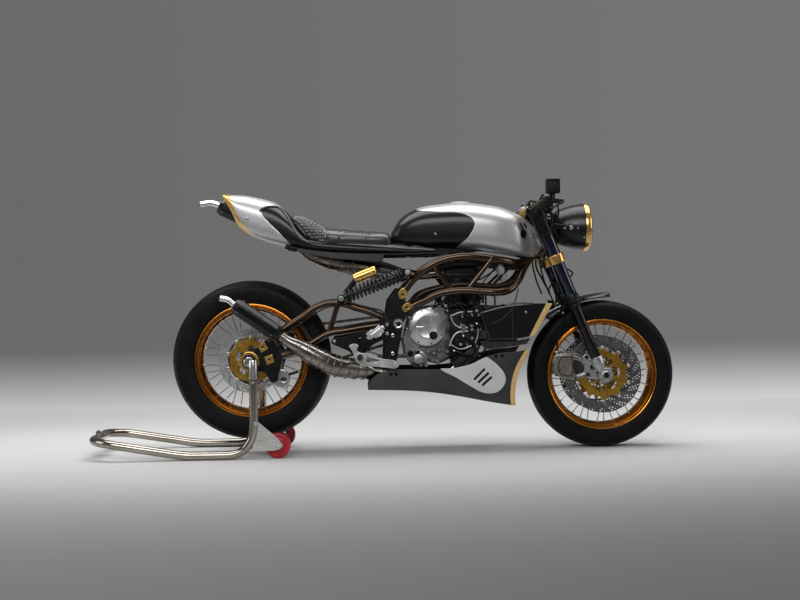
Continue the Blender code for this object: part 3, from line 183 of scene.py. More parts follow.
# The second bronze is a darker copy of the frame paint, painted shade for the inner twin tubes.
M = {"bronze": varied("bronze_paint", (0.058, 0.034, 0.02), (0.082, 0.05, 0.03), 0.92, 0.2, 0.02, 7.0,
    coat=0.3), "bronze_painted_shade": varied("bronze_in_painted_shade", (0.018, 0.012, 0.009), (0.03, 0.02, 0.014), 0.6, 0.3,
    0.03, 7.0), "gold": varied("gold_anodised", (0.72, 0.43, 0.12), (0.82, 0.52, 0.17), 0.92, 0.22, 0.03,
    14.0), "deep_gold": varied("carrier_gold", (0.46, 0.26, 0.035), (0.6, 0.35, 0.055), 0.95, 0.28, 0.04,
    20.0), "satin": varied("satin_aluminium", (0.5, 0.5, 0.5), (0.64, 0.64, 0.64), 0.8, 0.36, 0.05, 24.0),
    "rim": varied("rim_gold", (0.6, 0.26, 0.04), (0.7, 0.33, 0.06), 1.0, 0.24, 0.03, 9.0),
    "black": varied("satin_black", (0.003, 0.003, 0.0034), (0.008, 0.008, 0.009), 0.0, 0.34, 0.06, 22.06,
    bump_scale=240.0, shine=0.2), "gloss": varied("gloss_black", (0.0015, 0.0015, 0.002),
    (0.003, 0.003, 0.004), 0.0, 0.13, 0.03, 10.0, coat=0.6),
    "cast": varied("cast_aluminium", (0.36, 0.36, 0.365), (0.56, 0.56, 0.57), 0.9, 0.36, 0.08, 32.0,
    bump=0.1, bump_scale=220.0), "polished": varied("polished_aluminium", (0.7, 0.7, 0.71),
    (0.82, 0.82, 0.83), 1.0, 0.19, 0.04, 18.0), "machined": varied("machined_steel", (0.5, 0.5, 0.51),
    (0.66, 0.66, 0.66), 1.0, 0.26, 0.05, 30.0), "dark_cast": varied("dark_casting", (0.018, 0.018, 0.019),
    (0.045, 0.045, 0.047), 0.5, 0.38, 0.08, 40.0, bump=0.12, bump_scale=240.0),
    "weld": varied("weld_bead", (0.1, 0.075, 0.06), (0.3, 0.26, 0.23), 1.0, 0.34, 0.08, 120.0, bump=0.2,
    bump_scale=300.0), "chrome": varied("polished_tip", (0.66, 0.64, 0.61), (0.78, 0.76, 0.73), 1.0, 0.14,
    0.03, 12.0), "bucket": varied("lamp_black", (0.002, 0.002, 0.0025), (0.005, 0.005, 0.006), 0.0, 0.3,
    0.03, 10.0, shine=0.45), "cover": varied("turned_cover", (0.48, 0.48, 0.485), (0.64, 0.64, 0.65), 1.0,
    0.33, 0.05, 18.0), "edge_line": varied("rail_black", (0.006, 0.006, 0.0065), (0.011, 0.011, 0.012), 0.0,
    0.24, 0.03, 14.0, shine=1.0), "trim_gold": varied("trim_gold", (0.66, 0.43, 0.17), (0.76, 0.51, 0.22),
    0.45, 0.42, 0.03, 14.0), "silencer": varied("silencer_black", (0.003, 0.003, 0.0035),
    (0.007, 0.007, 0.008), 0.0, 0.22, 0.04, 22.0, shine=0.35),
    "blue": varied("fork_blue", (0.0012, 0.003, 0.014), (0.002, 0.006, 0.026), 0.3, 0.13, 0.03, 10.0,
    coat=0.7), "stanchion": varied("fork_black", (0.003, 0.003, 0.004), (0.007, 0.007, 0.008), 0.3, 0.18,
    0.03, 14.0), "rubber": varied("rubber_black", (0.004, 0.004, 0.004), (0.009, 0.009, 0.009), 0.0, 0.46,
    0.08, 40.0, bump=0.1, bump_scale=300.0, shine=0.25),
    "grip": varied("grip_rubber", (0.004, 0.004, 0.004), (0.01, 0.01, 0.01), 0.0, 0.46, 0.08, 50.0, bump=0.1,
    bump_scale=300.0, shine=0.2), "pan": varied("pan_grey", (0.02, 0.02, 0.021), (0.029, 0.029, 0.03), 0.0,
    0.42, 0.05, 16.0), "silver": varied("silver_paint", (0.6, 0.605, 0.615), (0.66, 0.665, 0.675), 0.35,
    0.36, 0.03, 12.0, coat=0.2), "chain": varied("chain_steel", (0.07, 0.062, 0.052), (0.2, 0.18, 0.16), 1.0,
    0.38, 0.08, 60.0), "spring": varied("spring_black", (0.003, 0.003, 0.0035), (0.009, 0.009, 0.01), 0.0,
    0.22, 0.04, 30.0, coat=0.3), "stand": varied("stand_steel", (0.33, 0.295, 0.255), (0.44, 0.4, 0.355),
    1.0, 0.2, 0.04, 10.0), "stand_plate": varied("stand_plate_steel", (0.5, 0.49, 0.47), (0.6, 0.59, 0.57),
    0.75, 0.4, 0.05, 14.0, (1.0, 10.0, 10.0)), "red": varied("caster_red", (0.32, 0.004, 0.014),
    (0.42, 0.008, 0.022), 0.0, 0.36, 0.05, 16.0),
    "reddish": varied("slot_red", (0.2, 0.01, 0.01), (0.3, 0.02, 0.02), 0.0, 0.45, 0.06, 30.0),
    "hose": varied("hose_black", (0.003, 0.003, 0.0034), (0.008, 0.008, 0.009), 0.0, 0.36, 0.06, 30.0,
    shine=0.25), "titanium": varied("caliper_titanium", (0.34, 0.3, 0.27), (0.46, 0.42, 0.38), 1.0, 0.3,
    0.05, 30.0), "core": varied("radiator_core", (0.02, 0.02, 0.02), (0.05, 0.05, 0.05), 0.5, 0.5, 0.1, 80.0,
    bump=0.2, bump_scale=300.0), "reflector": varied("lamp_reflector", (0.55, 0.55, 0.56),
    (0.75, 0.75, 0.76), 1.0, 0.15, 0.05, 20.0), "spoke": varied("spoke_steel", (0.16, 0.155, 0.15),
    (0.3, 0.29, 0.28), 1.0, 0.25, 0.05, 30.0), "plastic": varied("pale_plastic", (0.22, 0.22, 0.22),
    (0.32, 0.32, 0.32), 0.0, 0.22, 0.05, 14.0, coat=0.3),}


def exhaust_material():
    """Raw rolled steel: soft streaks and warm heat tints in broad patches."""
    made = Shader("raw_steel", 1.0, 0.24)
    grain = made.noise(14.0, 3.0, (1.6, 3.0, 3.0))
    steel = made.mix(made.ramp(grain), (0.15, 0.138, 0.125), (0.34, 0.32, 0.295))
    tint = made.mix(made.ramp(made.noise(13.0, 2.0), 0.0, 1.0, 0.45, 0.7), (1.0, 1.0, 1.0),
        (0.8, 0.66, 0.54))
    blend = made.node("ShaderNodeMix", data_type="RGBA", blend_type="MULTIPLY")
    blend.inputs["Factor"].default_value = 0.7
    made.link(steel, blend.inputs[6])
    made.link(tint, blend.inputs[7])
    made.colour(blend.outputs[2])
    made.rough(made.ramp(made.noise(16.0, 3.0), 0.16, 0.28))
    return made.mat


def casting_material():
    """Engine casting: bare aluminium at the clutch, painted dark towards the front."""
    made = Shader("engine_casting", 0.9, 0.36)
    tone = made.noise(32.0, 4.0)
    bare = made.mix(made.ramp(tone), (0.11, 0.11, 0.112), (0.3, 0.3, 0.305))
    dark = made.mix(made.ramp(tone), (0.012, 0.012, 0.013), (0.04, 0.04, 0.042))
    edge = made.math("ADD", made.axis("X"), made.math("MULTIPLY", made.noise(14.0, 3.0), 0.06))
    made.colour(made.mix(made.ramp(edge, 0.0, 1.0, 0.262, 0.29), bare, dark))
    made.rough(made.ramp(made.noise(50.0, 3.0), 0.28, 0.44))
    made.bump(made.noise(220.0, 2.0), 0.1, 0.0008)
    return made.mat


def leather_material():
    """Black leather: pebbled grain from cells, with finer creases and softer high spots."""
    made = Shader("seat_leather", 0.0, 0.42)
    made.colour(made.mix(made.ramp(made.noise(24.0, 4.0)), (0.006, 0.006, 0.0062), (0.013, 0.013, 0.0135)))
    made.rough(made.ramp(made.noise(40.0, 3.0), 0.3, 0.4))
    pebble = made.cells(300.0)
    crease = made.noise(120.0, 4.0)
    made.bump(made.math("ADD", made.math("MULTIPLY", pebble, 0.7), crease), 0.12, 0.0008)
    made.shine(1.0)
    return made.mat


def two_tone(name, mask_of, gold_of=None):
    """Silver paint with satin black where the mask is 1, and a dark crease line between them; the silver
    carries painted shade towards the front and lower edge.
    """
    made = Shader(name, 0.4, 0.36)
    mask = mask_of(made)
    silver = made.mix(made.ramp(made.noise(9.0, 3.0)), (0.5, 0.505, 0.515), (0.56, 0.565, 0.575))
    # Painted shade: the silver darkens towards the front and lower edge, standing in for the dark reflection
    # at the tank's nose.
    nose = made.ramp(made.math("SUBTRACT", made.axis("X"), made.math("MULTIPLY", made.axis("Z"), 0.35)), 0.0,
        1.0, 0.21, 0.36)
    silver = made.mix(nose, silver, (0.2, 0.205, 0.21))
    black = made.mix(made.ramp(made.noise(14.0, 3.0)), (0.003, 0.003, 0.0034), (0.006, 0.006, 0.007))
    inside = made.ramp(mask, 0.0, 1.0, -0.0006, 0.0006)
    tone = made.mix(inside, silver, black)
    metal = made.ramp(inside, 0.55, 0.0)
    if gold_of:
        rim = gold_of(made)
        tone = made.mix(rim, tone, (0.78, 0.49, 0.16))
        metal = made.math("MAXIMUM", metal, made.math("MULTIPLY", rim, 0.85))
    made.colour(tone)
    made.rough(made.ramp(inside, 0.35, 0.3))
    made.link(metal, made.bsdf.inputs["Metallic"])
    ridge = made.ramp(made.math("ABSOLUTE", mask, 0.0), 0.0, 1.0, 0.0, 0.0035)
    made.bump(ridge, 0.6, 0.0012)
    made.coat(0.2, 0.12)
    made.shine(0.35)
    return made.mat


def tail_gold(made):
    """1 behind a slanted line at the rear edge of the tail."""
    x = made.axis("X")
    line = made.curve(made.axis("Z"), 0.85, 1.1, [(0.85, 0.5), (0.898, 0.459), (0.914, 0.444), (0.95, 0.422),
        (0.998, 0.401), (1.038, 0.387), (1.1, 0.37)])
    return made.ramp(made.math("SUBTRACT", line, made.math("ADD", x, 1.0)), 0.0, 1.0, -0.0006, 0.0006)


def tank_mask(made):
    """Positive inside the black patch: under one curve over x and above another."""
    x = made.axis("X")
    z = made.axis("Z")
    top = made.curve(x, 0.0, 0.5, [(0.0, 1.0), (0.12, 1.0), (0.134, 0.974), (0.18, 0.968), (0.222, 0.963),
        (0.27, 0.961), (0.302, 0.957), (0.33, 0.948), (0.348, 0.936), (0.357, 0.921), (0.361, 0.905),
        (0.363, 0.8), (0.5, 0.8)])
    low = made.curve(x, 0.0, 0.5, [(0.0, 0.7), (0.255, 0.7), (0.262, 0.79), (0.274, 0.809), (0.312, 0.84),
        (0.337, 0.864), (0.352, 0.888), (0.361, 0.91), (0.5, 0.99)])
    return made.math("MINIMUM", made.math("SUBTRACT", top, z), made.math("SUBTRACT", z, low))


def tail_mask(made):
    """Positive in the black swoop that runs forward from the tail's flank."""
    x = made.axis("X")
    z = made.axis("Z")
    low = made.curve(x, -0.65, 0.25, [(-0.65, 1.0), (-0.497, 1.0), (-0.489, 0.981), (-0.484, 0.962),
        (-0.478, 0.951), (-0.462, 0.933), (-0.446, 0.916), (-0.42, 0.89), (-0.396, 0.865), (-0.376, 0.842),
        (-0.364, 0.826), (-0.35, 0.75), (0.25, 0.75)])
    top = made.curve(x, -0.65, 0.25, [(-0.65, 0.95), (-0.494, 0.97), (-0.486, 0.983), (-0.477, 0.99),
        (-0.46, 0.995), (-0.445, 0.998), (-0.425, 0.996), (-0.41, 0.991), (-0.386, 0.974), (-0.372, 0.96),
        (-0.345, 1.0), (0.25, 1.0)])
    return made.math("MINIMUM", made.math("SUBTRACT", top, z), made.math("SUBTRACT", z, low))


def glass_material():
    made = Shader("lens_glass", 0.0, 0.03)
    made.bsdf.inputs["Transmission Weight"].default_value = 0.92
    made.bsdf.inputs["IOR"].default_value = 1.46
    made.colour(made.mix(made.ramp(made.noise(12.0, 2.0)), (0.9, 0.93, 0.95), (0.97, 0.98, 0.98)))
    return made.mat


def disc_material(name, low, high):
    """Ground disc face: soft sweep marks and uneven sheen."""
    made = Shader(name, 1.0, 0.3)
    made.colour(made.mix(made.ramp(made.noise(16.0, 4.0)), (low, low, low * 1.02),
        (high, high, high * 1.02)))
    made.rough(made.ramp(made.noise(26.0, 3.0), 0.26, 0.36))
    return made.mat


M["raw"] = exhaust_material()
M["case"] = casting_material()
M["leather"] = leather_material()
M["tank"] = two_tone("tank_paint", tank_mask)
M["tail"] = two_tone("tail_paint", tail_mask, tail_gold)
M["glass"] = glass_material()
M["disc"] = disc_material("disc_steel", 0.15, 0.23)
M["pale_disc"] = disc_material("pale_disc_steel", 0.42, 0.56)

# Shape building
def smooth(rows, steps=6, looped=False):
    """Rows of a table made into a smooth run of rows, `steps` to each gap."""
    table = np.array(rows, dtype=float)
    if looped:
        table = np.vstack([table[-1], table, table[0], table[1]])
    else:
        table = np.vstack([2 * table[0] - table[1], table, 2 * table[-1] - table[-2]])
    gaps = np.maximum(np.linalg.norm(np.diff(table[:, :3], axis=0), axis=1), 1e-6)[:, None]
    slopes = np.diff(table, axis=0) / gaps
    found = []
    for index in range(1, len(table) - 2):
        gap = gaps[index]
        leave = (slopes[index - 1] * gap + slopes[index] * gaps[index - 1]) / (gaps[index - 1] + gap)
        enter = (slopes[index] * gaps[index + 1] + slopes[index + 1] * gap) / (gap + gaps[index + 1])
        for step in range(steps):
            t = step / steps
            found.append((2 * t ** 3 - 3 * t ** 2 + 1) * table[index] + (t ** 3 - 2 * t ** 2 + t) * gap
                * leave + (3 * t ** 2 - 2 * t ** 3) * table[index + 1] + (t ** 3 - t ** 2) * gap * enter)
    if not looped:
        found.append(table[-2])
    return [tuple(float(value) for value in row) for row in found]


def clamped(value):
    return max(0.0, min(1.0, value))


def axis_matrix(origin, axis):
    turn = Vector((0.0, 0.0, 1.0)).rotation_difference(Vector(axis).normalized())
    return Matrix.Translation(Vector(origin)) @ turn.to_matrix().to_4x4()


def round_axle(axle, radius, turn):
    """(x, z) of a point at one angle about an axle."""
    return axle.x + radius * math.cos(turn), axle.z + radius * math.sin(turn)


def circle(x, z, radius, count=12, start=0.0):
    return [(x + radius * math.cos(start + math.tau * index / count),
        z + radius * math.sin(start + math.tau * index / count)) for index in range(count)]


def drum(radius, low, high):
    """Profile of a plain cylinder between two places along its axis."""
    return [(0.0, low), (radius, low), (radius, high), (0.0, high)]


class Shape:
    """Mesh put together from skins, tubes, turned forms, plates and blocks, handed over as one piece."""

    def __init__(self):
        self.bm = bmesh.new()

    def skin(self, rings, ring_closed=True, ends=True, looped=False):
        rows = [[self.bm.verts.new(point) for point in ring] for ring in rings]
        pairs = list(zip(rows, rows[1:]))
        if looped:
            pairs.append((rows[-1], rows[0]))
        for low, high in pairs:
            for index in range(len(low) if ring_closed else len(low) - 1):
                following = (index + 1) % len(low)
                self.bm.faces.new((low[index], low[following], high[following], high[index]))
        if ends and ring_closed and not looped:
            self.bm.faces.new(rows[0][::-1])
            self.bm.faces.new(rows[-1])
        return self

    def tube(self, points, radius, sides=12, looped=False, ends=True, flat=1.0, normal=None):
        """Tube of one radius or of a radius for each point; `flat` squeezes it across `normal`."""
        points = [Vector(point[:3]) for point in points]
        radii = radius if isinstance(radius, (list, tuple)) else [radius] * len(points)
        normal = Vector(normal) if normal else None
        rings = []
        for index, place in enumerate(points):
            before = points[index - 1] if index or looped else place
            after = points[(index + 1) % len(points)] if looped or index < len(points) - 1 else place
            run = (after - before).normalized()
            normal = run.orthogonal() if normal is None else normal - run * normal.dot(run)
            normal.normalize()
            other = run.cross(normal)
            rings.append([place + (normal * (math.cos(turn) * flat) + other * math.sin(turn)) * radii[index]
                for turn in (math.tau * step / sides for step in range(sides))])
        return self.skin(rings, looped=looped, ends=ends)

    def turned(self, profile, origin, axis, steps=48, looped=False):
        """Turn (radius, along) points about an axis."""
        matrix = axis_matrix(origin, axis)
        rows = []
        for radius, along in profile:
            count = steps if radius > 1e-6 else 1
            rows.append([self.bm.verts.new(matrix @ Vector((math.cos(turn) * radius, math.sin(turn) * radius,
                along))) for turn in (math.tau * step / steps for step in range(count))])
        pairs = list(zip(rows, rows[1:]))
        if looped:
            pairs.append((rows[-1], rows[0]))
        for low, high in pairs:
            for index in range(steps):
                following = (index + 1) % steps
                corners = dict.fromkeys((low[index % len(low)], low[following % len(low)],
                    high[following % len(high)], high[index % len(high)]))
                if len(corners) > 2:
                    self.bm.faces.new(tuple(corners))
        return self

    def add(self, mesh, matrix=None):
        if matrix is not None:
            mesh.transform(matrix)
        self.bm.from_mesh(mesh)
        bpy.data.meshes.remove(mesh)
        return self

    def plate(self, outline, low, high, holes=(), bevel=0.0008, matrix=None, rounds=1):
        """Plate with softened edges: an (x, z) outline with holes, between two y values."""
        low, high = min(low, high), max(low, high)
        curve = bpy.data.curves.new("outline", "CURVE")
        curve.dimensions = "2D"
        curve.fill_mode = "BOTH"
        curve.extrude = max((high - low) / 2 - bevel, 0.00001)
        curve.bevel_depth = bevel
        curve.bevel_resolution = rounds
        curve.offset = -bevel
        for points in (outline, *holes):
            line = curve.splines.new("POLY")
            line.points.add(len(points) - 1)
            line.use_cyclic_u = True
            for point, (x, z) in zip(line.points, points):
                point.co = (x, z, 0.0, 1.0)
        source = bpy.data.objects.new("outline", curve)
        mesh = bpy.data.meshes.new_from_object(source)
        bpy.data.objects.remove(source)
        bpy.data.curves.remove(curve)
        middle = Matrix.Translation((0.0, (low + high) / 2, 0.0)) @ Matrix.Rotation(math.pi / 2, 4, "X")
        return self.add(mesh, middle if matrix is None else matrix)

    def block(self, low, high, bevel=0.001, matrix=None, steps=2):
        low, high = Vector(low), Vector(high)
        place = Matrix.Translation((low + high) / 2) @ Matrix.Diagonal((*(high - low), 1.0))
        made = bmesh.ops.create_cube(self.bm, size=1.0, matrix=place if matrix is None else matrix @ place)
        if bevel:
            edges = list({edge for vert in made["verts"] for edge in vert.link_edges})
            bmesh.ops.bevel(self.bm, geom=edges, offset=bevel, segments=steps, affect="EDGES", profile=0.6)
        return self

    def bolt(self, place, axis, radius=0.005, height=0.004, socket=True):
        """Cap screw with a hexagon socket, or a plain hexagon head, on a thin washer."""
        self.turned([(0.0, 0.0), (radius * 1.35, 0.0), (radius * 1.35, 0.0007), (0.0, 0.0007)], place, axis,
            20)
        top = 0.0007 + height
        if socket:
            self.turned([(0.0, 0.0006), (radius, 0.0006), (radius, top - 0.0006), (radius - 0.0006, top),
                (radius * 0.56, top)], place, axis, 24)
            self.turned([(radius * 0.58, top), (radius * 0.54, top - height * 0.55),
                (0.0, top - height * 0.6)], place, axis, 6)
        else:
            self.turned([(0.0, 0.0006), (radius, 0.0006), (radius, top - 0.0007), (radius * 0.86, top),
                (0.0, top)], place, axis, 6)
        return self

    def coil(self, low, high, radius, wire, turns, sides=10, steps=26, radius_end=None):
        """Helix of wire between two points."""
        matrix = axis_matrix(low, Vector(high) - Vector(low))
        length = (Vector(high) - Vector(low)).length
        count = int(turns * steps)
        path = []
        for index in range(count + 1):
            share = index / count
            turn = math.tau * turns * share
            out = radius + ((radius_end or radius) - radius) * share
            path.append(matrix @ Vector((math.cos(turn) * out, math.sin(turn) * out, share * length)))
        return self.tube(path, wire, sides)

    def object(self, name):
        bmesh.ops.recalc_face_normals(self.bm, faces=self.bm.faces[:])
        mesh = bpy.data.meshes.new(name)
        self.bm.to_mesh(mesh)
        self.bm.free()
        made = bpy.data.objects.new(name, mesh)
        scene.collection.objects.link(made)
        return made

    def done(self, name, key, body="chassis", *nodes, angle=35.0):
        """Hand the mesh over: finish `key`, riding on `body`, standing for `nodes`."""
        return finished(self.object(name), key, body, *nodes, angle=angle)


def shapes(count):
    return [Shape() for _ in range(count)]


def finished(made, key, body, *nodes, angle=35.0):
    made.data.materials.clear()
    made.data.materials.append(M[key])
    made.data.shade_smooth()
    made.data.set_sharp_from_angle(angle=math.radians(angle))
    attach(made, body)
    if nodes:
        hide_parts(*nodes)
    return made


def evaluated(made):
    """New mesh of an object with its modifiers applied."""
    return bpy.data.meshes.new_from_object(made.evaluated_get(bpy.context.evaluated_depsgraph_get()))


def carved(made, *cutters, solver="EXACT"):
    """Take cutter shapes out of an object and keep the result in its mesh."""
    tools = [cutter.object("cutter") for cutter in cutters]
    for tool in tools:
        step = made.modifiers.new("cut", "BOOLEAN")
        step.operation = "DIFFERENCE"
        step.solver = solver
        step.object = tool
    result = evaluated(made)
    made.modifiers.clear()
    made.data = result
    for tool in tools:
        bpy.data.objects.remove(tool, do_unlink=True)
    return made


RIGHT = -1
LEFT = 1
SIDES = ((RIGHT, "right"), (LEFT, "left"))
FRONT_AXLE = Vector((0.88, 0.0, 0.3))
REAR_AXLE = Vector((-0.54, 0.0, 0.379))
FORK_UP = Vector((-0.366501, 0.0, 0.930418))
FORK_FWD = Vector((0.930418, 0.0, 0.366501))
FORK_FOOT = Vector((0.872, 0.0, 0.3))
FORK_Y = 0.103
STEM_OFFSET = 0.03
STEM_FOOT = FORK_FOOT - FORK_FWD * STEM_OFFSET


def on_leg(along, side=0, forward=0.0):
    return FORK_FOOT + FORK_UP * along + FORK_FWD * forward + Vector((0.0, side * FORK_Y, 0.0))


def on_stem(along, forward=0.0):
    return STEM_FOOT + FORK_UP * along + FORK_FWD * forward


def at(point, y):
    return Vector((point[0], y, point[-1]))


# Wheels
FRONT_HALF, FRONT_TYRE_R = 0.06, 0.3
REAR_HALF, REAR_TYRE_R = 0.075, 0.321
SPOKES = 36
SPOKE_LEAN = math.radians(36.0)
SPOKE_HOLES_R = 0.0375
NIPPLES_R = 0.2035
ROTOR_THICK = 0.0045


def tyre_finish(name, axle, half, outer):
    """Worn rubber: sweeping tread grooves by angle about the axle, moulded rings on the sidewalls."""
    made = Shader(name, 0.0, 0.6)
    x = made.math("SUBTRACT", made.axis("X"), axle.x)
    z = made.math("SUBTRACT", made.axis("Z"), axle.z)
    across = made.math("MULTIPLY", made.math("ABSOLUTE", made.axis("Y"), 0.0), 1.0 / half)
    turn = made.math("MULTIPLY", made.math("ARCTAN2", z, x), 9 / math.pi)
    away = made.math("SQRT", made.math("ADD", made.math("MULTIPLY", x, x), made.math("MULTIPLY", z, z)), 0.0)
    flip = made.math("MULTIPLY", made.math("GREATER_THAN", made.axis("Y"), 0.0), 0.5)
    tread = made.ramp(away, 0.0, 1.0, outer - 0.034, outer - 0.027)
    total = None
    for lean, shift, low, high, width in ((1.5, 0.0, 0.1, 0.86, 0.05), (1.5, 0.42, 0.34, 0.8, 0.034),
            (-2.2, 0.2, 0.22, 0.5, 0.03)):
        phase = made.math("ADD", made.math("ADD", turn, flip), made.math("MULTIPLY", across, lean))
        near = made.math("ABSOLUTE", made.math("SUBTRACT",
            made.math("FRACT", made.math("ADD", phase, 20.0 + shift), 0.0), 0.5), 0.0)
        line = made.math("MULTIPLY", made.ramp(near, 1.0, 0.0, width * 0.7, width),
            made.math("MULTIPLY", made.ramp(across, 0.0, 1.0, low, low + 0.05),
            made.ramp(across, 1.0, 0.0, high - 0.05, high)))
        total = line if total is None else made.math("MAXIMUM", total, line)
    groove = made.math("MULTIPLY", total, tread)
    dust = made.ramp(made.noise(16.0, 5.0), 0.0, 1.0, 0.42, 0.75)
    rubber = made.mix(dust, (0.0025, 0.0025, 0.0028), (0.007, 0.0068, 0.0066))
    # Painted shade: the tread grooves are coloured darker than the rubber around them, besides their bump.
    made.colour(made.mix(groove, rubber, (0.002, 0.002, 0.002)))
    made.rough(made.ramp(made.noise(60.0, 3.0), 0.42, 0.6))
    made.shine(0.13)
    wall = made.curve(away, 0.2, 0.34, [(0.2, 0.5), (0.238, 0.5), (0.2395, 0.62), (0.241, 0.5), (0.246, 0.5),
        (0.2475, 0.6), (0.249, 0.5), (outer - 0.04, 0.5), (outer - 0.0385, 0.62), (outer - 0.037, 0.5),
        (0.34, 0.5)])
    grain = made.math("MULTIPLY", made.noise(650.0, 3.0), 0.05)
    made.bump(made.math("ADD", made.math("SUBTRACT", wall, made.math("MULTIPLY", groove, 0.9)), grain), 0.8,
        0.0022)
    return made.mat


M["front_rubber"] = tyre_finish("front_tyre_rubber", FRONT_AXLE, FRONT_HALF, FRONT_TYRE_R)
M["rear_rubber"] = tyre_finish("rear_tyre_rubber", REAR_AXLE, REAR_HALF, REAR_TYRE_R)


def tyre(prefix, axle, half, lip, outer):
    shares = [(0.0, 0.842), (0.016, 0.917), (0.107, 0.955), (0.253, 0.983), (0.467, 1.0), (0.627, 0.983),
        (0.753, 0.908), (0.853, 0.733), (0.933, 0.483), (0.984, 0.217), (1.0, 0.0)]
    side = [(lip + (outer - lip) * share, -half * width) for share, width in shares]
    line = smooth(side + [(radius, -y) for radius, y in side[-2::-1]], 4)
    profile = line + [(lip + 0.008, half * 0.66), (lip + 0.008, -half * 0.66)]
    Shape().turned(profile, axle, (0, 1, 0), 180, looped=True).done(prefix + "_tyre_rubber",
        prefix + "_rubber", prefix + "_wheel_body", prefix + "_tyre", angle=60)


def spoked_wheel(prefix, axle, half, lip, hub, flange_y, node):
    body = prefix + "_wheel_body"
    side = [(lip, -half), (lip - 0.0008, -half - 0.0014), (lip - 0.0028, -half - 0.0018),
        (lip - 0.0046, -half - 0.0008), (lip - 0.0056, -half + 0.0016), (lip - 0.0084, -half + 0.008),
        (lip - 0.0112, -half + 0.0115), (lip - 0.0138, -half + 0.0098), (lip - 0.0158, -half + 0.01),
        (lip - 0.0172, -half + 0.013), (lip - 0.0192, -half * 0.56), (lip - 0.0222, -half * 0.42),
        (0.1995, -half * 0.3), (0.198, -half * 0.14), (0.198, -half * 0.05)]
    inner = side + [(radius, -y) for radius, y in side[::-1]]
    well = [(lip - 0.001, half - 0.004), (0.212, half * 0.62), (0.205, half * 0.25), (0.205, -half * 0.25),
        (0.212, -half * 0.62), (lip - 0.001, -half + 0.004)]
    Shape().turned(inner + well, axle, (0, 1, 0), 180, looped=True).done(prefix + "_rim", "rim", body, node,
        angle=28)
    Shape().turned(hub, axle, (0, 1, 0), 48).done(prefix + "_hub", "dark_cast", body, angle=30)
    spokes = Shape()
    nipples = Shape()
    for index in range(SPOKES):
        hand = LEFT if index % 2 else RIGHT
        leading = (index // 2) % 2
        rim_turn = math.tau * (index + 0.5) / SPOKES
        hub_turn = rim_turn + (SPOKE_LEAN if leading else -SPOKE_LEAN)
        hub_y = hand * (flange_y + (0.0045 if leading else -0.0045))
        rim_y = hand * (0.013 if leading else 0.006)
        start = axle + Vector((math.cos(hub_turn) * SPOKE_HOLES_R, hub_y,
            math.sin(hub_turn) * SPOKE_HOLES_R))
        end = axle + Vector((math.cos(rim_turn) * NIPPLES_R, rim_y, math.sin(rim_turn) * NIPPLES_R))
        run = (end - start).normalized()
        spokes.tube([start - run * 0.004, start + run * 0.004, start + run * 0.02, end],
            [0.0024, 0.0024, 0.0018, 0.0018], 7)
        nipples.turned([(0.0, 0.0), (0.0026, 0.0), (0.0032, 0.002), (0.0032, 0.01), (0.0042, 0.0125),
            (0.0042, 0.016), (0.0, 0.017)], end - run * 0.015, run, 10)
    spokes.done(prefix + "_spokes", "spoke", body)
    nipples.done(prefix + "_nipples", "machined", body)


tyre("front", FRONT_AXLE, FRONT_HALF, 0.2245, FRONT_TYRE_R)
tyre("rear", REAR_AXLE, REAR_HALF, 0.228, REAR_TYRE_R)
spoked_wheel("front", FRONT_AXLE, 0.0505, 0.224, [(0.0115, -0.0725), (0.021, -0.0725), (0.0216, -0.0715),
    (0.0216, -0.0668), (0.0385, -0.0664), (0.04, -0.065), (0.04, -0.056), (0.033, -0.05), (0.03, -0.04),
    (0.041, -0.037), (0.0425, -0.035), (0.0425, -0.024), (0.03, -0.019), (0.026, -0.012), (0.026, 0.012),
    (0.03, 0.019), (0.0425, 0.024), (0.0425, 0.035), (0.041, 0.037), (0.03, 0.04), (0.033, 0.05),
    (0.04, 0.056), (0.04, 0.065), (0.0385, 0.0664), (0.0216, 0.0668), (0.0216, 0.0715), (0.021, 0.0725),
    (0.0115, 0.0725)], 0.03, "front_wheel")
spoked_wheel("rear", REAR_AXLE, 0.0605, 0.2275,
    [(0.014, -0.088), (0.0233, -0.088), (0.0238, -0.087), (0.0238, -0.0827), (0.0385, -0.0823),
    (0.04, -0.081), (0.04, -0.07), (0.034, -0.064), (0.034, -0.048), (0.044, -0.043), (0.045, -0.041),
    (0.045, -0.028), (0.033, -0.023), (0.03, -0.015), (0.03, 0.015), (0.033, 0.023), (0.045, 0.028),
    (0.045, 0.041), (0.05, 0.048), (0.0505, 0.07), (0.0505, 0.0915), (0.049, 0.0929), (0.0238, 0.0932),
    (0.0238, 0.099), (0.0233, 0.1), (0.014, 0.1)], 0.034, "rear_wheel")


def kidney(axle, inner, outer, middle, spread, steps=7):
    """Window outline between two radii about an axle, rounded at its ends."""
    points = []
    centre = (inner + outer) / 2
    cap = (outer - inner) / 2
    for radius, ends in ((outer, (-1, 1)), (inner, (1, -1))):
        for step in range(steps):
            turn = middle + spread * (ends[0] + (ends[1] - ends[0]) * step / (steps - 1))
            points.append(round_axle(axle, radius, turn))
        end = middle + spread * ends[1]
        for tip in (0.25, 0.5, 0.75):
            swing = math.pi * tip
            along = centre + (cap if ends[1] > 0 else -cap) * math.cos(swing)
            out = end + (1 if ends[1] > 0 else -1) * cap * math.sin(swing) / centre
            points.append(round_axle(axle, along, out))
    return points


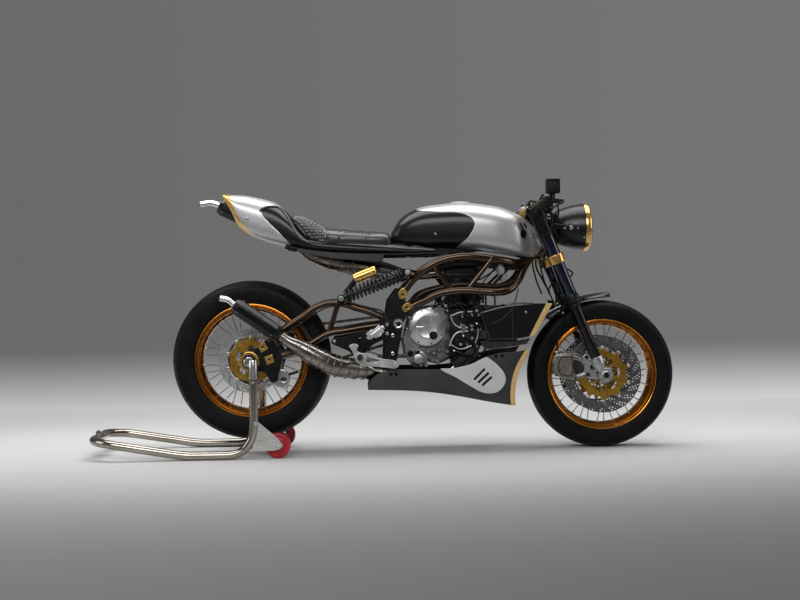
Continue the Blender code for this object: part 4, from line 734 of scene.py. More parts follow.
def brake_disc(name, body, axle, side, near, radius, band, holes, carrier, windows, hub_fit,
        carrier_key="deep_gold", key="disc"):
    """Drilled rotor on bobbins round a windowed carrier."""
    far = near + 0.005
    inner = radius - band
    drilled = []
    for index in range(holes):
        turn = math.tau * index / holes
        for row in range(4):
            out = inner + band * (0.26 + 0.19 * row)
            lean = turn + row * 0.055 + (0.0 if index % 2 else 0.06)
            drilled.append(circle(*round_axle(axle, out, lean), 0.0031, 8))
    rotor = Shape().plate(circle(axle.x, axle.z, radius, 128), side * near, side * (near + ROTOR_THICK),
        [circle(axle.x, axle.z, inner, 96), *drilled], 0.0003)
    rotor.done(name + "_rotor", key, body, name, angle=30)
    openings = [circle(axle.x, axle.z, hub_fit, 40)]
    for index in range(windows):
        turn = math.tau * (index + 0.15) / windows
        openings.append(kidney(axle, carrier * 0.435, carrier * 0.745, turn, 0.8 / windows))
        spot = turn + math.pi / windows
        openings.append(circle(*round_axle(axle, carrier * 0.66, spot), carrier * 0.04, 12))
    bobbins = Shape()
    outline = []
    count = 10
    reach = inner - 0.0015
    for index in range(count * 12):
        turn = math.tau * index / (count * 12)
        tab = (0.0, 0.0, 0.0, 0.0, 0.25, 1.0, 1.0, 1.0, 0.25, 0.0, 0.0, 0.0)[index % 12]
        outline.append((axle.x + (carrier + (reach - carrier) * tab) * math.cos(turn),
            axle.z + (carrier + (reach - carrier) * tab) * math.sin(turn)))
        if index % 12 == 6:
            place = axle + Vector((math.cos(turn) * (inner - 0.0025), side * (near - 0.0012),
                math.sin(turn) * (inner - 0.0025)))
            bobbins.turned([(0.0, 0.0), (0.0062, 0.0), (0.0066, 0.0006), (0.0066, 0.0074), (0.0054, 0.0082),
                (0.003, 0.0082), (0.0028, 0.007), (0.0, 0.007)], place, (0, side, 0), 18)
    Shape().plate(outline, side * (near + 0.0002), side * far, openings, 0.0006).done(name + "_carrier",
        carrier_key, body, angle=30)
    bobbins.done(name + "_bobbins", "machined", body)
    bolts = Shape()
    for index in range(windows):
        turn = math.tau * (index + 0.15) / windows + math.pi / windows
        place = axle + Vector((math.cos(turn) * carrier * 0.4, side * far, math.sin(turn) * carrier * 0.4))
        bolts.bolt(place, (0, side, 0), 0.0042, 0.0035)
    bolts.done(name + "_bolts", "machined", body)


for hand, label in SIDES:
    brake_disc("front_disc_" + label, "front_wheel_body", FRONT_AXLE, hand, 0.0665, 0.155, 0.043, 40, 0.092,
        6, 0.0222)
brake_disc("rear_disc", "rear_wheel_body", REAR_AXLE, RIGHT, 0.0825, 0.128, 0.031, 36, 0.082, 5, 0.0242,
    key="pale_disc")


def sprocket():
    """Toothed ring with a windowed gold centre, inside the chain."""
    teeth = 42
    outline = []
    for index in range(teeth):
        for share, radius in ((0.0, 0.0935), (0.22, 0.094), (0.4, 0.098), (0.6, 0.098), (0.78, 0.094)):
            turn = math.tau * (index + share) / teeth
            outline.append(round_axle(REAR_AXLE, radius, turn))
    windows = [circle(REAR_AXLE.x, REAR_AXLE.z, 0.0242, 40)]
    for index in range(6):
        turn = math.tau * index / 6
        windows.append(kidney(REAR_AXLE, 0.062, 0.082, turn, 0.33))
    made = Shape().plate(outline, 0.0937, 0.0983, windows, 0.0005)
    made.done("sprocket_ring", "gold", "rear_wheel_body", "rear_sprocket", angle=30)
    nuts = Shape()
    for index in range(6):
        turn = math.tau * (index + 0.5) / 6
        nuts.bolt(REAR_AXLE + Vector((0.043 * math.cos(turn), 0.0983, 0.043 * math.sin(turn))), (0, 1, 0),
            0.0055, 0.005, socket=False)
    nuts.done("sprocket_nuts", "machined", "rear_wheel_body")


sprocket()


# Bodywork: tank, tail, seat
RAIL_Y = 0.096
TOP_POWER, LOW_POWER = 2.4, 4.0


def body_ring(x, low, high, half, count=72):
    middle = (low + high) / 2
    ring = []
    for index in range(count):
        turn = math.tau * index / count
        across, up = math.cos(turn), math.sin(turn)
        power = TOP_POWER if up >= 0 else LOW_POWER
        ring.append((x, math.copysign(abs(across) ** (2 / power), across) * half,
            middle + math.copysign(abs(up) ** (2 / power), up) * (high - low) / 2))
    return ring


TANK = [(0.03, 0.838, 0.886, 0.062), (0.067, 0.831, 0.942, 0.088), (0.142, 0.823, 0.986, 0.112),
    (0.232, 0.818, 1.001, 0.127), (0.314, 0.813, 1.006, 0.134), (0.396, 0.807, 0.999, 0.136),
    (0.478, 0.795, 0.984, 0.13), (0.54, 0.783, 0.96, 0.106), (0.582, 0.774, 0.936, 0.072),
    (0.615, 0.778, 0.902, 0.062), (0.641, 0.808, 0.85, 0.048),]
TAIL = [(0.212, 0.797, 0.81, 0.104), (0.023, 0.8, 0.826, 0.116), (-0.137, 0.806, 0.84, 0.126),
    (-0.237, 0.812, 0.85, 0.128), (-0.297, 0.818, 0.866, 0.127), (-0.336, 0.824, 0.903, 0.124),
    (-0.364, 0.827, 0.945, 0.12), (-0.401, 0.836, 0.986, 0.114), (-0.437, 0.845, 1.013, 0.109),
    (-0.493, 0.862, 1.031, 0.102), (-0.555, 0.893, 1.044, 0.093), (-0.588, 0.922, 1.047, 0.088),
    (-0.61, 0.968, 1.048, 0.083), (-0.643, 1.03, 1.049, 0.072),]
SEAT = [(-0.366, 0.915, 0.962, 0.088), (-0.335, 0.87, 0.961, 0.104), (-0.297, 0.845, 0.942, 0.114),
    (-0.237, 0.832, 0.91, 0.121), (-0.156, 0.826, 0.9, 0.122), (-0.057, 0.82, 0.891, 0.115),
    (0.012, 0.815, 0.879, 0.101), (0.0225, 0.812, 0.858, 0.088),]
SUB_RAIL = [(0.205, 0.797), (-0.058, 0.797), (-0.178, 0.803), (-0.3, 0.815), (-0.395, 0.832)]
SUB_BRACE = [(-0.33, 0.816), (-0.218, 0.795), (-0.131, 0.784), (-0.058, 0.772), (0.061, 0.735),
    (0.119, 0.706)]
HIGH_CHAMBER = [(0.245, 0.0, 0.716, 0.019), (0.19, 0.0, 0.716, 0.02), (0.12, 0.0, 0.712, 0.022),
    (0.04, 0.0, 0.72, 0.03), (-0.04, 0.0, 0.738, 0.039), (-0.13, 0.0, 0.76, 0.042),
    (-0.215, 0.0, 0.78, 0.041), (-0.29, 0.0, 0.806, 0.034), (-0.35, 0.0, 0.846, 0.026),
    (-0.4, 0.0, 0.88, 0.021), (-0.44, 0.0, 0.899, 0.02),]


TURN_LIMIT = math.radians(27.0)


def bar_sweeps(grow=0.0):
    """Room for the stem, its clamp and the bar clamps as the steering turns."""
    tools = [Shape().turned([(0.0, 0.4), (0.035 + grow, 0.4), (0.035 + grow, 0.9), (0.0, 0.9)], STEM_FOOT,
        FORK_UP, 32), Shape().turned([(0.0, 0.709), (0.048 + grow, 0.709), (0.048 + grow, 0.9), (0.0, 0.9)],
        STEM_FOOT, FORK_UP, 32)]
    for side in (RIGHT, LEFT):
        for share in (0.4, 0.55, 0.8, 1.0):
            turn = Matrix.Rotation(side * TURN_LIMIT * share, 3, FORK_UP)
            low, high = (STEM_FOOT + turn @ (on_leg(along, side) - STEM_FOOT) for along in (0.59, 0.79))
            tools.append(Shape().turned([(0.0, 0.0), (0.041 + grow, 0.0), (0.041 + grow, 0.2), (0.0, 0.2)],
                low, high - low, 28))
    return tools


def tank():
    rows = smooth(TANK, 6)
    shell = Shape().skin([body_ring(*row) for row in rows]).object("tank_shell")
    under = Shape().block((0.54, -0.046, 0.75), (0.66, 0.046, 0.812), 0.0)
    pads = [Shape().turned([(0.0, 0.0), (0.0148, 0.0), (0.0148, top - 0.77), (0.0, top - 0.77)],
        (x, 0.0, 0.77), (0, 0, 1), 16) for x, top in ((0.29, 0.8145), (0.1, 0.8275))]
    carved(shell, under, *pads, *bar_sweeps())
    finished(shell, "tank", "chassis", "fuel_tank", angle=32)
    cap = Shape()
    cap.turned([(0.0, 0.004), (0.041, 0.004), (0.041, 0.0075), (0.0395, 0.0088), (0.0375, 0.0092),
        (0.0365, 0.008), (0.035, 0.008), (0.0342, 0.01), (0.032, 0.0108), (0.012, 0.0112), (0.0112, 0.0104),
        (0.0, 0.0104)], (0.314, 0.0, 0.9985), (0, 0, 1), 64)
    for index in range(6):
        turn = math.tau * (index + 0.5) / 6
        cap.bolt((0.314 + 0.0385 * math.cos(turn), 0.0385 * math.sin(turn), 1.007), (0, 0, 1), 0.0016,
            0.0012)
    cap.done("tank_cap", "silver")


def flank(rows, x, z, side=RIGHT):
    """Point on the side of a body at x and z."""
    for before, after in zip(rows, rows[1:]):
        if min(before[0], after[0]) <= x <= max(before[0], after[0]):
            share = (x - before[0]) / (after[0] - before[0])
            low, high, half = (before[col] + (after[col] - before[col]) * share for col in (1, 2, 3))
            middle = (low + high) / 2
            up = (z - middle) / ((high - low) / 2)
            power = TOP_POWER if up >= 0 else LOW_POWER
            return Vector((x, side * half * max(1 - abs(up) ** power, 0.0) ** (1 / power), z))
    raise ValueError("x is off the body")


def flank_normal(rows, x, z, side=RIGHT):
    step = 0.004
    along = flank(rows, x + step, z, side) - flank(rows, x - step, z, side)
    up = flank(rows, x, z + step, side) - flank(rows, x, z - step, side)
    out = along.cross(up)
    out.normalize()
    return out if out.y * side > 0 else -out


TANK_ROWS = smooth(TANK, 6)
TAIL_ROWS = smooth(TAIL, 5)


def tank_trim():
    screws = Shape()
    for side in (RIGHT, LEFT):
        for x, z in ((0.358, 0.838), (0.203, 0.874)):
            out = flank_normal(TANK_ROWS, x, z, side)
            screws.bolt(flank(TANK_ROWS, x, z, side) - out * 0.0004, out, 0.0042, 0.0026)
        out = flank_normal(TANK_ROWS, 0.598, 0.858, side)
        screws.bolt(flank(TANK_ROWS, 0.598, 0.858, side) - out * 0.0004, out, 0.0034, 0.0024)
    screws.done("tank_screws", "machined")
    caps, tray = Shape(), Shape()
    for side in (RIGHT, LEFT):
        out = flank_normal(TANK_ROWS, 0.56, 0.872, side)
        caps.turned([(0.0, -0.004), (0.0165, -0.004), (0.018, -0.003), (0.0182, 0.0002), (0.0175, 0.0007),
            (0.012, 0.0008), (0.0112, 0.0003), (0.0, 0.0003)], flank(TANK_ROWS, 0.56, 0.872, side), out, 36)
        tray.plate([(0.02, 0.826), (0.13, 0.82), (0.205, 0.834), (0.33, 0.838), (0.42, 0.828), (0.4, 0.808),
            (0.268, 0.8), (0.225, 0.79), (0.18, 0.786), (0.03, 0.796)], side * 0.07, side * 0.073, (), 0.001)
    caps.done("tank_caps", "black")
    tray.done("tank_tray", "rubber", angle=30)
    # Painted shade: dark strokes set flush into the flank stand for the shade inside the slits.
    slits = Shape()
    for side in (RIGHT, LEFT):
        for (x0, z0), (x1, z1) in (((0.53, 0.918), (0.546, 0.882)), ((0.548, 0.921), (0.562, 0.89)),
                ((0.567, 0.92), (0.58, 0.897))):
            steps = [(x0 + (x1 - x0) * share / 6, z0 + (z1 - z0) * share / 6) for share in range(7)]
            route = [flank(TANK_ROWS, x, z, side) - flank_normal(TANK_ROWS, x, z, side) * 0.0036 for x,
                z in steps]
            slits.tube(route, [0.0022, 0.0036, 0.0038, 0.0038, 0.0038, 0.0036, 0.0022], 10)
    slits.done("tank_slits", "rubber", angle=60)


def tail():
    rows = smooth(TAIL, 5)
    shell = Shape().skin([body_ring(*row) for row in rows]).object("tail_shell")
    inner = Shape().block((0.03, -0.094, 0.77), (0.26, 0.094, 0.85), 0.0)
    route = [(x, y, z) for x, y, z, radius in HIGH_CHAMBER[5:]] + [(-0.665, 0.0, 1.006), (-0.76, 0.0, 1.051)]
    radii = [radius + 0.006 for x, y, z, radius in HIGH_CHAMBER[5:-1]] + [0.046, 0.046, 0.046]
    passage = Shape().tube(route, radii, 20)
    tubes = [Shape().tube([(x, side * RAIL_Y, z) for x, z in SUB_RAIL], 0.0094, 12)
        for side in (RIGHT, LEFT)]
    carved(shell, inner, passage, *tubes)
    finished(shell, "tail", "chassis", "tail_cowl", angle=32)
    for side, label in SIDES:
        route = [flank(TAIL_ROWS, x, z, side) for x,
            z in smooth([(-0.4935, 0.972), (-0.487, 0.983), (-0.47, 0.99), (-0.445, 0.9935), (-0.425, 0.991),
            (-0.4045, 0.975), (-0.386, 0.95), (-0.368, 0.918), (-0.35, 0.887), (-0.33, 0.862),
            (-0.305, 0.849), (-0.27, 0.8445), (-0.2, 0.839), (-0.1, 0.8335), (0.0, 0.8245), (0.1, 0.8165),
            (0.18, 0.8095)], 4)]
        Shape().tube(route, [0.0012] + [0.0055] * (len(route) - 2) + [0.0012],
            10).done("tail_ridge_" + label, "edge_line", angle=60)
    screws = Shape()
    for side in (RIGHT, LEFT):
        place = flank(TAIL_ROWS, -0.545, 0.944, side)
        out = flank_normal(TAIL_ROWS, -0.545, 0.944, side)
        screws.turned([(0.0, -0.001), (0.0075, -0.001), (0.0075, 0.0014), (0.0062, 0.0024), (0.0048, 0.0024),
            (0.0044, 0.0012), (0.0, 0.0012)], place, out, 24)
    screws.done("tail_caps", "machined")


PUFF_LIMIT = 0.0022
HUMP_X = -0.232
QUILT = 0.0165
SEAMS = (-0.178, -0.226)


def cushion():
    """Seat pad: crowned form swelled by a pressure simulation, then quilted and seamed."""
    rows = smooth(SEAT, 5)
    body = Shape().skin([body_ring(x, low, high, half, 56) for x, low, high,
        half in rows]).object("seat_pad")
    below = Shape().skin([body_ring(x, low - 0.0008, high + 0.0008, half + 0.0008) for x, low, high,
        half in TAIL_ROWS])
    carved(body, below)
    remesh = body.modifiers.new("even", "REMESH")
    remesh.mode = "VOXEL"
    remesh.voxel_size = 0.0045
    body.data = evaluated(body)
    body.modifiers.clear()
    start = [vert.co.copy() for vert in body.data.vertices]
    cloth = body.modifiers.new("cloth", "CLOTH")
    settings = cloth.settings
    settings.quality = 5
    settings.use_pressure = True
    settings.uniform_pressure_force = 3.0
    settings.effector_weights.gravity = 0.0
    settings.tension_stiffness = 25.0
    settings.compression_stiffness = 25.0
    settings.bending_stiffness = 6.0
    cloth.collision_settings.use_collision = False
    for number in range(1, 17):
        scene.frame_set(number)
    puffed = evaluated(body)
    scene.frame_set(1)
    body.modifiers.clear()
    for vert, moved, first in zip(body.data.vertices, puffed.vertices, start):
        shift = moved.co - first
        if shift.length > PUFF_LIMIT:
            shift *= PUFF_LIMIT / shift.length
        vert.co = first + shift
    bpy.data.meshes.remove(puffed)
    relax = bmesh.new()
    relax.from_mesh(body.data)
    for _ in range(3):
        bmesh.ops.smooth_vert(relax, verts=relax.verts, factor=0.5, use_axis_x=True, use_axis_y=True,
            use_axis_z=True)
    bmesh.ops.subdivide_edges(relax, edges=relax.edges[:], cuts=1, use_grid_fill=True, smooth=0.6)
    relax.normal_update()
    moves = []
    for vert in relax.verts:
        x, y, z = vert.co
        top = clamped((vert.normal.z + 0.45) / 0.35)
        depth = 0.0
        if x < HUMP_X:
            run = x * 0.86 - z * 0.51
            girth = abs(y) * 0.8 - (x * 0.51 + z * 0.86)
            first = (run * 0.55 + girth) / QUILT
            second = (run * 0.55 - girth) / QUILT
            stitch = min(abs(first - round(first)), abs(second - round(second)))
            fade = clamped((HUMP_X - x) / 0.012)
            depth -= 0.0036 * math.exp(-(stitch / 0.16) ** 2) * top * fade
            depth += 0.0014 * top * fade
        across = (x + 0.108) / 0.058
        if abs(across) < 1.0:
            arch = 0.8735 + 0.027 * math.sqrt(1 - across ** 2)
            if abs(y) > 0.045 and z < arch and z > 0.868:
                groove = (x + 0.175) / 0.0095
                depth += 0.0014 - 0.0042 * math.exp(-((groove - round(groove)) / 0.22) ** 2)
            if abs(y) > 0.045:
                depth -= 0.0026 * math.exp(-((z - arch) / 0.0028) ** 2) * top
        for seam in SEAMS:
            depth -= 0.0028 * math.exp(-((x - seam) / 0.003) ** 2) * top
        moves.append(vert.normal * depth + Vector((0.0075 * clamped((x + 0.06) / 0.06), 0.0, 0.0)))
    for vert, move in zip(relax.verts, moves):
        vert.co += move
    relax.to_mesh(body.data)
    relax.free()
    finished(body, "leather", "chassis", "seat", angle=180)


def subframe():
    frame_tubes = Shape()
    for side in (RIGHT, LEFT):
        frame_tubes.tube([(x, side * RAIL_Y, z) for x, z in smooth(SUB_RAIL, 6)], 0.009, 16)
        frame_tubes.tube([(x, side * RAIL_Y, z) for x, z in smooth(SUB_BRACE, 6)], 0.0082, 16)
        frame_tubes.tube([(0.119, side * 0.094, 0.704), (0.119, side * 0.106, 0.704)], 0.008, 14)
    for x in (0.19, 0.1):
        frame_tubes.tube([(x, -0.096, 0.797), (x, 0.096, 0.797)], 0.008, 14)
    frame_tubes.turned([(0.0, 0.0), (0.013, 0.0), (0.013, 0.027), (0.011, 0.03), (0.0, 0.03)],
        (0.1, 0.0, 0.797), (0, 0, 1), 24)
    frame_tubes.done("subframe_tubes", "black", "chassis", "subframe")
    trays, rails = Shape(), Shape()
    for side in (RIGHT, LEFT):
        rails.tube([(x, side * y, z) for x, y, z in smooth([(-0.346, 0.098, 0.878), (-0.322, 0.101, 0.86),
            (-0.296, 0.103, 0.85), (-0.26, 0.104, 0.8455), (-0.2, 0.104, 0.8415), (-0.1, 0.104, 0.8345),
            (0.0, 0.104, 0.8255), (0.1, 0.103, 0.817), (0.2, 0.101, 0.8105)], 5)], 0.01, 16)
        trays.plate([(-0.352, 0.824), (-0.2, 0.806), (-0.07, 0.797), (-0.002, 0.797), (-0.006, 0.772),
            (-0.03, 0.766), (-0.085, 0.772), (-0.2, 0.782), (-0.33, 0.806)], side * 0.1065, side * 0.109, (),
            0.001)
    rails.done("seat_rails", "edge_line", angle=60)
    trays.done("subframe_trays", "pan", angle=30)


tank()
tank_trim()
tail()
cushion()
subframe()


# Frame, swingarm and what bolts to them
UPPER_TUBE = [(0.058, 0.628, 0.121), (0.111, 0.694, 0.121), (0.163, 0.737, 0.134), (0.219, 0.766, 0.14),
    (0.29, 0.782, 0.14), (0.4, 0.775, 0.132), (0.48, 0.764, 0.1), (0.549, 0.757, 0.052),
    (0.592, 0.772, 0.026), (0.637, 0.806, 0.01)]
LOWER_TUBE = [(0.066, 0.57, 0.121), (0.112, 0.591, 0.121), (0.16, 0.612, 0.13), (0.216, 0.637, 0.14),
    (0.297, 0.648, 0.14), (0.394, 0.642, 0.14), (0.453, 0.639, 0.14), (0.501, 0.651, 0.118),
    (0.535, 0.682, 0.084), (0.562, 0.727, 0.05), (0.59, 0.768, 0.026), (0.639, 0.809, 0.01)]
UPPER_TWIN = [(0.15, 0.722, 0.128), (0.205, 0.742, 0.106), (0.3, 0.757, 0.104), (0.42, 0.752, 0.092),
    (0.5, 0.742, 0.066), (0.552, 0.742, 0.04), (0.6, 0.773, 0.018)]
LOWER_TWIN = [(0.105, 0.594, 0.118), (0.139, 0.632, 0.102), (0.219, 0.659, 0.106), (0.3, 0.672, 0.108),
    (0.395, 0.664, 0.106), (0.47, 0.663, 0.1), (0.52, 0.68, 0.078), (0.556, 0.718, 0.05)]
DIAGONALS = [((0.19, 0.748), (0.268, 0.648)), ((0.324, 0.648), (0.425, 0.772))]
LUGS = [[(0.049, 0.64), (0.067, 0.662), (0.09, 0.642), (0.084, 0.626), (0.066, 0.616), (0.054, 0.622)],
    [(0.062, 0.584), (0.08, 0.6), (0.094, 0.603), (0.107, 0.584), (0.092, 0.572), (0.074, 0.564)]]
PIVOT_PLATE = [(0.046, 0.661), (0.01, 0.614), (-0.003, 0.536), (-0.01, 0.359), (0.037, 0.354), (0.05, 0.417),
    (0.058, 0.456), (0.071, 0.527), (0.104, 0.581), (0.098, 0.598), (0.078, 0.61), (0.08, 0.645),
    (0.066, 0.662)]
PIVOT = Vector((0.049, 0.0, 0.52))
ARM_Y, ARM_R, ARM_BRACE_R = 0.12, 0.014, 0.009
PLATE_IN, PLATE_OUT = 0.1373, 0.1493
TUBE_R, TWIN_R, BRACE_R = 0.016, 0.012, 0.011
SHOCK_LOW = Vector((-0.175, 0.0, 0.623))
SHOCK_HIGH = Vector((0.088, 0.0, 0.722))


def bead(shape, tube_from, tube_to, radius, tube_radius, share=0.0):
    """Weld bead round the foot of a tube that runs into another of `tube_radius`."""
    start, end = Vector(tube_from), Vector(tube_to)
    run = (end - start).normalized()
    centre = start + run * (tube_radius * 0.93 + share)
    side = run.orthogonal().normalized()
    other = run.cross(side)
    ring = [centre + (side * math.cos(turn) + other * math.sin(turn)) * (radius + 0.0006)
        for turn in (math.tau * step / 28 for step in range(28))]
    shape.tube(ring, [0.0021 + 0.0005 * (step % 2) for step in range(28)], 6, looped=True, ends=False)


def main_frame():
    tubes, twins = Shape(), Shape()
    for side in (RIGHT, LEFT):
        for route in (UPPER_TUBE, LOWER_TUBE):
            tubes.tube([(x, side * y, z) for x, z, y in smooth(route, 6)], TUBE_R, 28)
        for route in (UPPER_TWIN, LOWER_TWIN):
            twins.tube([(x, side * y, z) for x, z, y in smooth(route, 6)], TWIN_R, 22)
        for low, high in DIAGONALS:
            ends = ((low[0], side * 0.137, low[1]), (high[0], side * 0.133, high[1]))
            tubes.tube(ends, BRACE_R, 20)
            bead(tubes, *ends, BRACE_R, TUBE_R)
            bead(tubes, *ends[::-1], BRACE_R, TUBE_R)
        tubes.turned([(0.0, 0.0), (0.013, 0.0), (0.013, 0.0358), (0.0122, 0.0365), (0.0, 0.0365)],
            at(SHOCK_HIGH, side * 0.108), (0, side, 0), 28)
        tubes.tube([(0.088, side * 0.121, 0.722), (0.128, side * 0.124, 0.706)], 0.011, 18)
        tubes.tube([at((0.432, 0.668), side * 0.106), at((0.5, 0.735), side * 0.08)], 0.006, 12)
    tubes.tube([(0.29, -0.14, 0.782), (0.29, 0.14, 0.782)], 0.012, 20)
    tubes.turned([(0.0, 0.0), (0.014, 0.0), (0.014, 0.027), (0.0125, 0.029), (0.0, 0.029)],
        (0.29, 0.0, 0.785), (0, 0, 1), 24)
    tubes.turned([(0.0242, 0.5267), (0.0272, 0.5267), (0.028, 0.528), (0.028, 0.7), (0.03, 0.7015),
        (0.03, 0.7085), (0.0292, 0.7093), (0.0242, 0.7093)], STEM_FOOT, FORK_UP, 40, looped=True)
    tubes.done("frame_tubes", "bronze", "chassis", "main_frame", angle=40)
    # The twin tubes take the darker copy of the bronze as painted shade, for the shade they sit in inside
    # the frame.
    twins.done("frame_twins", "bronze_painted_shade", angle=40)


def lug_block(shape, screws, outline, y, side, thick):
    centre = Vector((sum(x for x, z in outline) / len(outline), sum(z for x, z in outline) / len(outline)))
    near = side * (y - thick)
    far = side * y
    shape.plate(outline, near, far, [circle(centre.x, centre.y, 0.0052, 16)], 0.0012, rounds=3)
    screws.turned([(0.0, 0.0), (0.005, 0.0), (0.005, 0.0046), (0.0042, 0.0054), (0.003, 0.0054),
        (0.0028, 0.0024), (0.0, 0.0022)], at(centre, side * (y - 0.0052)), (0, side, 0), 24)


def frame_plates():
    plates = {RIGHT: Shape(), LEFT: Shape()}
    lugs, screws, bolts = shapes(3)
    for side in (RIGHT, LEFT):
        plates[side].plate(PIVOT_PLATE, side * PLATE_IN, side * PLATE_OUT, [circle(0.049, 0.52, 0.0128, 32)],
            0.0014, rounds=3)
        for outline in LUGS:
            lug_block(lugs, screws, outline, 0.1573, side, 0.0078)
        for x, z in ((0.027, 0.474), (0.026, 0.402)):
            bolts.turned([(0.003, 0.0), (0.0072, 0.0), (0.0076, 0.001), (0.0072, 0.0034), (0.005, 0.004),
                (0.003, 0.003)], (x, side * PLATE_OUT, z), (0, side, 0), 24, looped=True)
        bolts.bolt(at(SHOCK_HIGH, side * 0.1752), (0, side, 0), 0.0078, 0.0052)
        bolts.bolt(at(SHOCK_LOW, side * 0.1752), (0, side, 0), 0.0078, 0.0052)
    for side, label in SIDES:
        plates[side].done("side_plate_" + label, "black", "chassis", "pivot_plate_" + label, angle=30)
    lugs.done("frame_lugs", "gold", angle=30)
    screws.done("lug_screws", "spring")
    bolts.done("frame_bolts", "machined")
    pivot, core = Shape(), Shape()
    pivot.turned(drum(0.0116, -0.149, 0.149), at(PIVOT, 0.0), (0, 1, 0), 32)
    for side in (RIGHT, LEFT):
        pivot.turned([(0.0116, 0.148), (0.021, 0.1496), (0.021, 0.1535), (0.0195, 0.1556), (0.014, 0.1558),
            (0.0118, 0.1548), (0.01, 0.152)], at(PIVOT, 0.0), (0, side, 0), 44)
        core.turned([(0.0112, 0.15), (0.0104, 0.1528), (0.008, 0.1535), (0.0, 0.1536)], at(PIVOT, 0.0),
            (0, side, 0), 6)
    pivot.done("pivot_caps", "polished", "chassis", "swingarm_pivot")
    core.done("pivot_sockets", "spring")


ARM_UPPER = [(-0.478, 0.441), (-0.401, 0.506), (-0.337, 0.548), (-0.27, 0.592), (-0.223, 0.606),
    (-0.175, 0.603), (-0.117, 0.585), (-0.054, 0.564), (0.0, 0.54), (0.04, 0.524)]
ARM_LOWER = [(-0.451, 0.391), (-0.368, 0.414), (-0.295, 0.448), (-0.228, 0.484), (-0.161, 0.495),
    (-0.055, 0.511), (0.04, 0.519)]
ARM_BRACES = [((-0.385, 0.508), (-0.385, 0.412)), ((-0.228, 0.484), (-0.19, 0.6)),
    ((-0.295, 0.448), (-0.345, 0.54))]
CARRIER = [(-0.57, 0.379), (-0.561, 0.358), (-0.54, 0.349), (-0.483, 0.337), (-0.452, 0.293), (-0.43, 0.3),
    (-0.424, 0.344), (-0.408, 0.391), (-0.44, 0.452), (-0.478, 0.46), (-0.5, 0.44), (-0.53, 0.409),
    (-0.56, 0.401)]


def swingarm():
    arm = Shape()
    for side in (RIGHT, LEFT):
        for route in (ARM_UPPER, ARM_LOWER):
            arm.tube([(x, side * ARM_Y, z) for x, z in smooth(route, 6)], ARM_R, 26)
        for low, high in ARM_BRACES:
            ends = (at(low, side * ARM_Y), at(high, side * ARM_Y))
            arm.tube(ends, ARM_BRACE_R, 18)
            bead(arm, *ends, ARM_BRACE_R, ARM_R)
            bead(arm, *ends[::-1], ARM_BRACE_R, ARM_R)
        arm.turned([(0.0, 0.0), (0.013, 0.0), (0.013, 0.0358), (0.0122, 0.0365), (0.0, 0.0365)],
            at(SHOCK_LOW, side * 0.108), (0, side, 0), 28)
    arm.turned([(0.0125, -0.1368), (0.0212, -0.1368), (0.022, -0.136), (0.022, 0.136), (0.0212, 0.1368),
        (0.0125, 0.1368)], PIVOT, (0, 1, 0), 40, looped=True)
    arm.tube([(-0.15, -0.12, 0.495), (-0.15, 0.12, 0.495)], 0.012, 20)
    arm.done("swingarm_tubes", "bronze", "chassis", "swingarm", angle=40)
    lugs, screws, caps, black, rings = shapes(5)
    for side, label in SIDES:
        carrier = Shape().plate(CARRIER, side * 0.1343, side * 0.1425, [circle(-0.54, 0.379, 0.0128, 32)],
            0.0014, rounds=3)
        carrier.done("axle_plate_" + label, "black", "chassis", "axle_carrier_" + label, angle=30)
        for outline in ([(-0.506, 0.441), (-0.48, 0.457), (-0.464, 0.43), (-0.492, 0.414)],
                [(-0.48, 0.396), (-0.45, 0.406), (-0.441, 0.376), (-0.471, 0.366)]):
            lug_block(lugs, screws, outline, 0.1503, side, 0.0076)
        caps.turned([(0.0126, 0.0), (0.0126, 0.0), (0.018, 0.0), (0.019, 0.0012), (0.019, 0.017),
            (0.0175, 0.0183), (0.007, 0.0186), (0.0064, 0.014), (0.0, 0.014)], at(REAR_AXLE, side * 0.1478),
            (0, side, 0), 40)
        rings.turned([(0.027, 0.0), (0.0375, 0.0), (0.0385, 0.001), (0.0385, 0.007), (0.0372, 0.0084),
            (0.029, 0.0084), (0.0276, 0.007), (0.027, 0.005)], at(REAR_AXLE, side * 0.1427), (0, side, 0),
            64, looped=True)
        black.turned([(0.013, 0.0), (0.0272, 0.0), (0.0272, 0.0052), (0.02, 0.0056), (0.013, 0.005)],
            at(REAR_AXLE, side * 0.1427), (0, side, 0), 48, looped=True)
    caps.turned(drum(0.012, -0.148, 0.148), REAR_AXLE, (0, 1, 0), 32)
    lugs.done("arm_lugs", "gold", angle=30)
    screws.done("arm_screws", "spring")
    caps.done("axle_caps", "polished", "chassis", "rear_axle")
    rings.done("axle_rings", "gold")
    black.done("axle_washers", "spring")


def rear_caliper():
    body, pads, bolts = shapes(3)
    outline = [(x, z) for x, z in smooth([(-0.462, 0.33), (-0.446, 0.343), (-0.402, 0.337), (-0.384, 0.302),
        (-0.398, 0.273), (-0.436, 0.276), (-0.458, 0.296)], 4, looped=True)]
    body.plate(outline, -0.104, -0.0925, [circle(-0.409, 0.305, 0.0105, 20)], 0.0022, rounds=3)
    body.plate(outline, -0.0775, -0.068, (), 0.002, rounds=3)
    body.block((-0.42, -0.0925, 0.262), (-0.392, -0.0775, 0.285), 0.002)
    body.turned(drum(0.0118, 0.0, 0.0335), (-0.436, -0.1003, 0.322), (0, -1, 0), 28)
    body.done("rear_caliper_body", "polished", "chassis", "rear_caliper", angle=30)
    pads.turned([(0.0, 0.0), (0.0098, 0.0), (0.0098, 0.0022), (0.0078, 0.0034), (0.0, 0.0034)],
        (-0.409, -0.103, 0.305), (0, -1, 0), 28)
    pads.done("rear_caliper_piston", "dark_cast")
    for x, z in ((-0.446, 0.33), (-0.404, 0.33), (-0.447, 0.292)):
        bolts.bolt((x, -0.104, z), (0, -1, 0), 0.0034, 0.0036)
    bolts.done("rear_caliper_bolts", "machined")


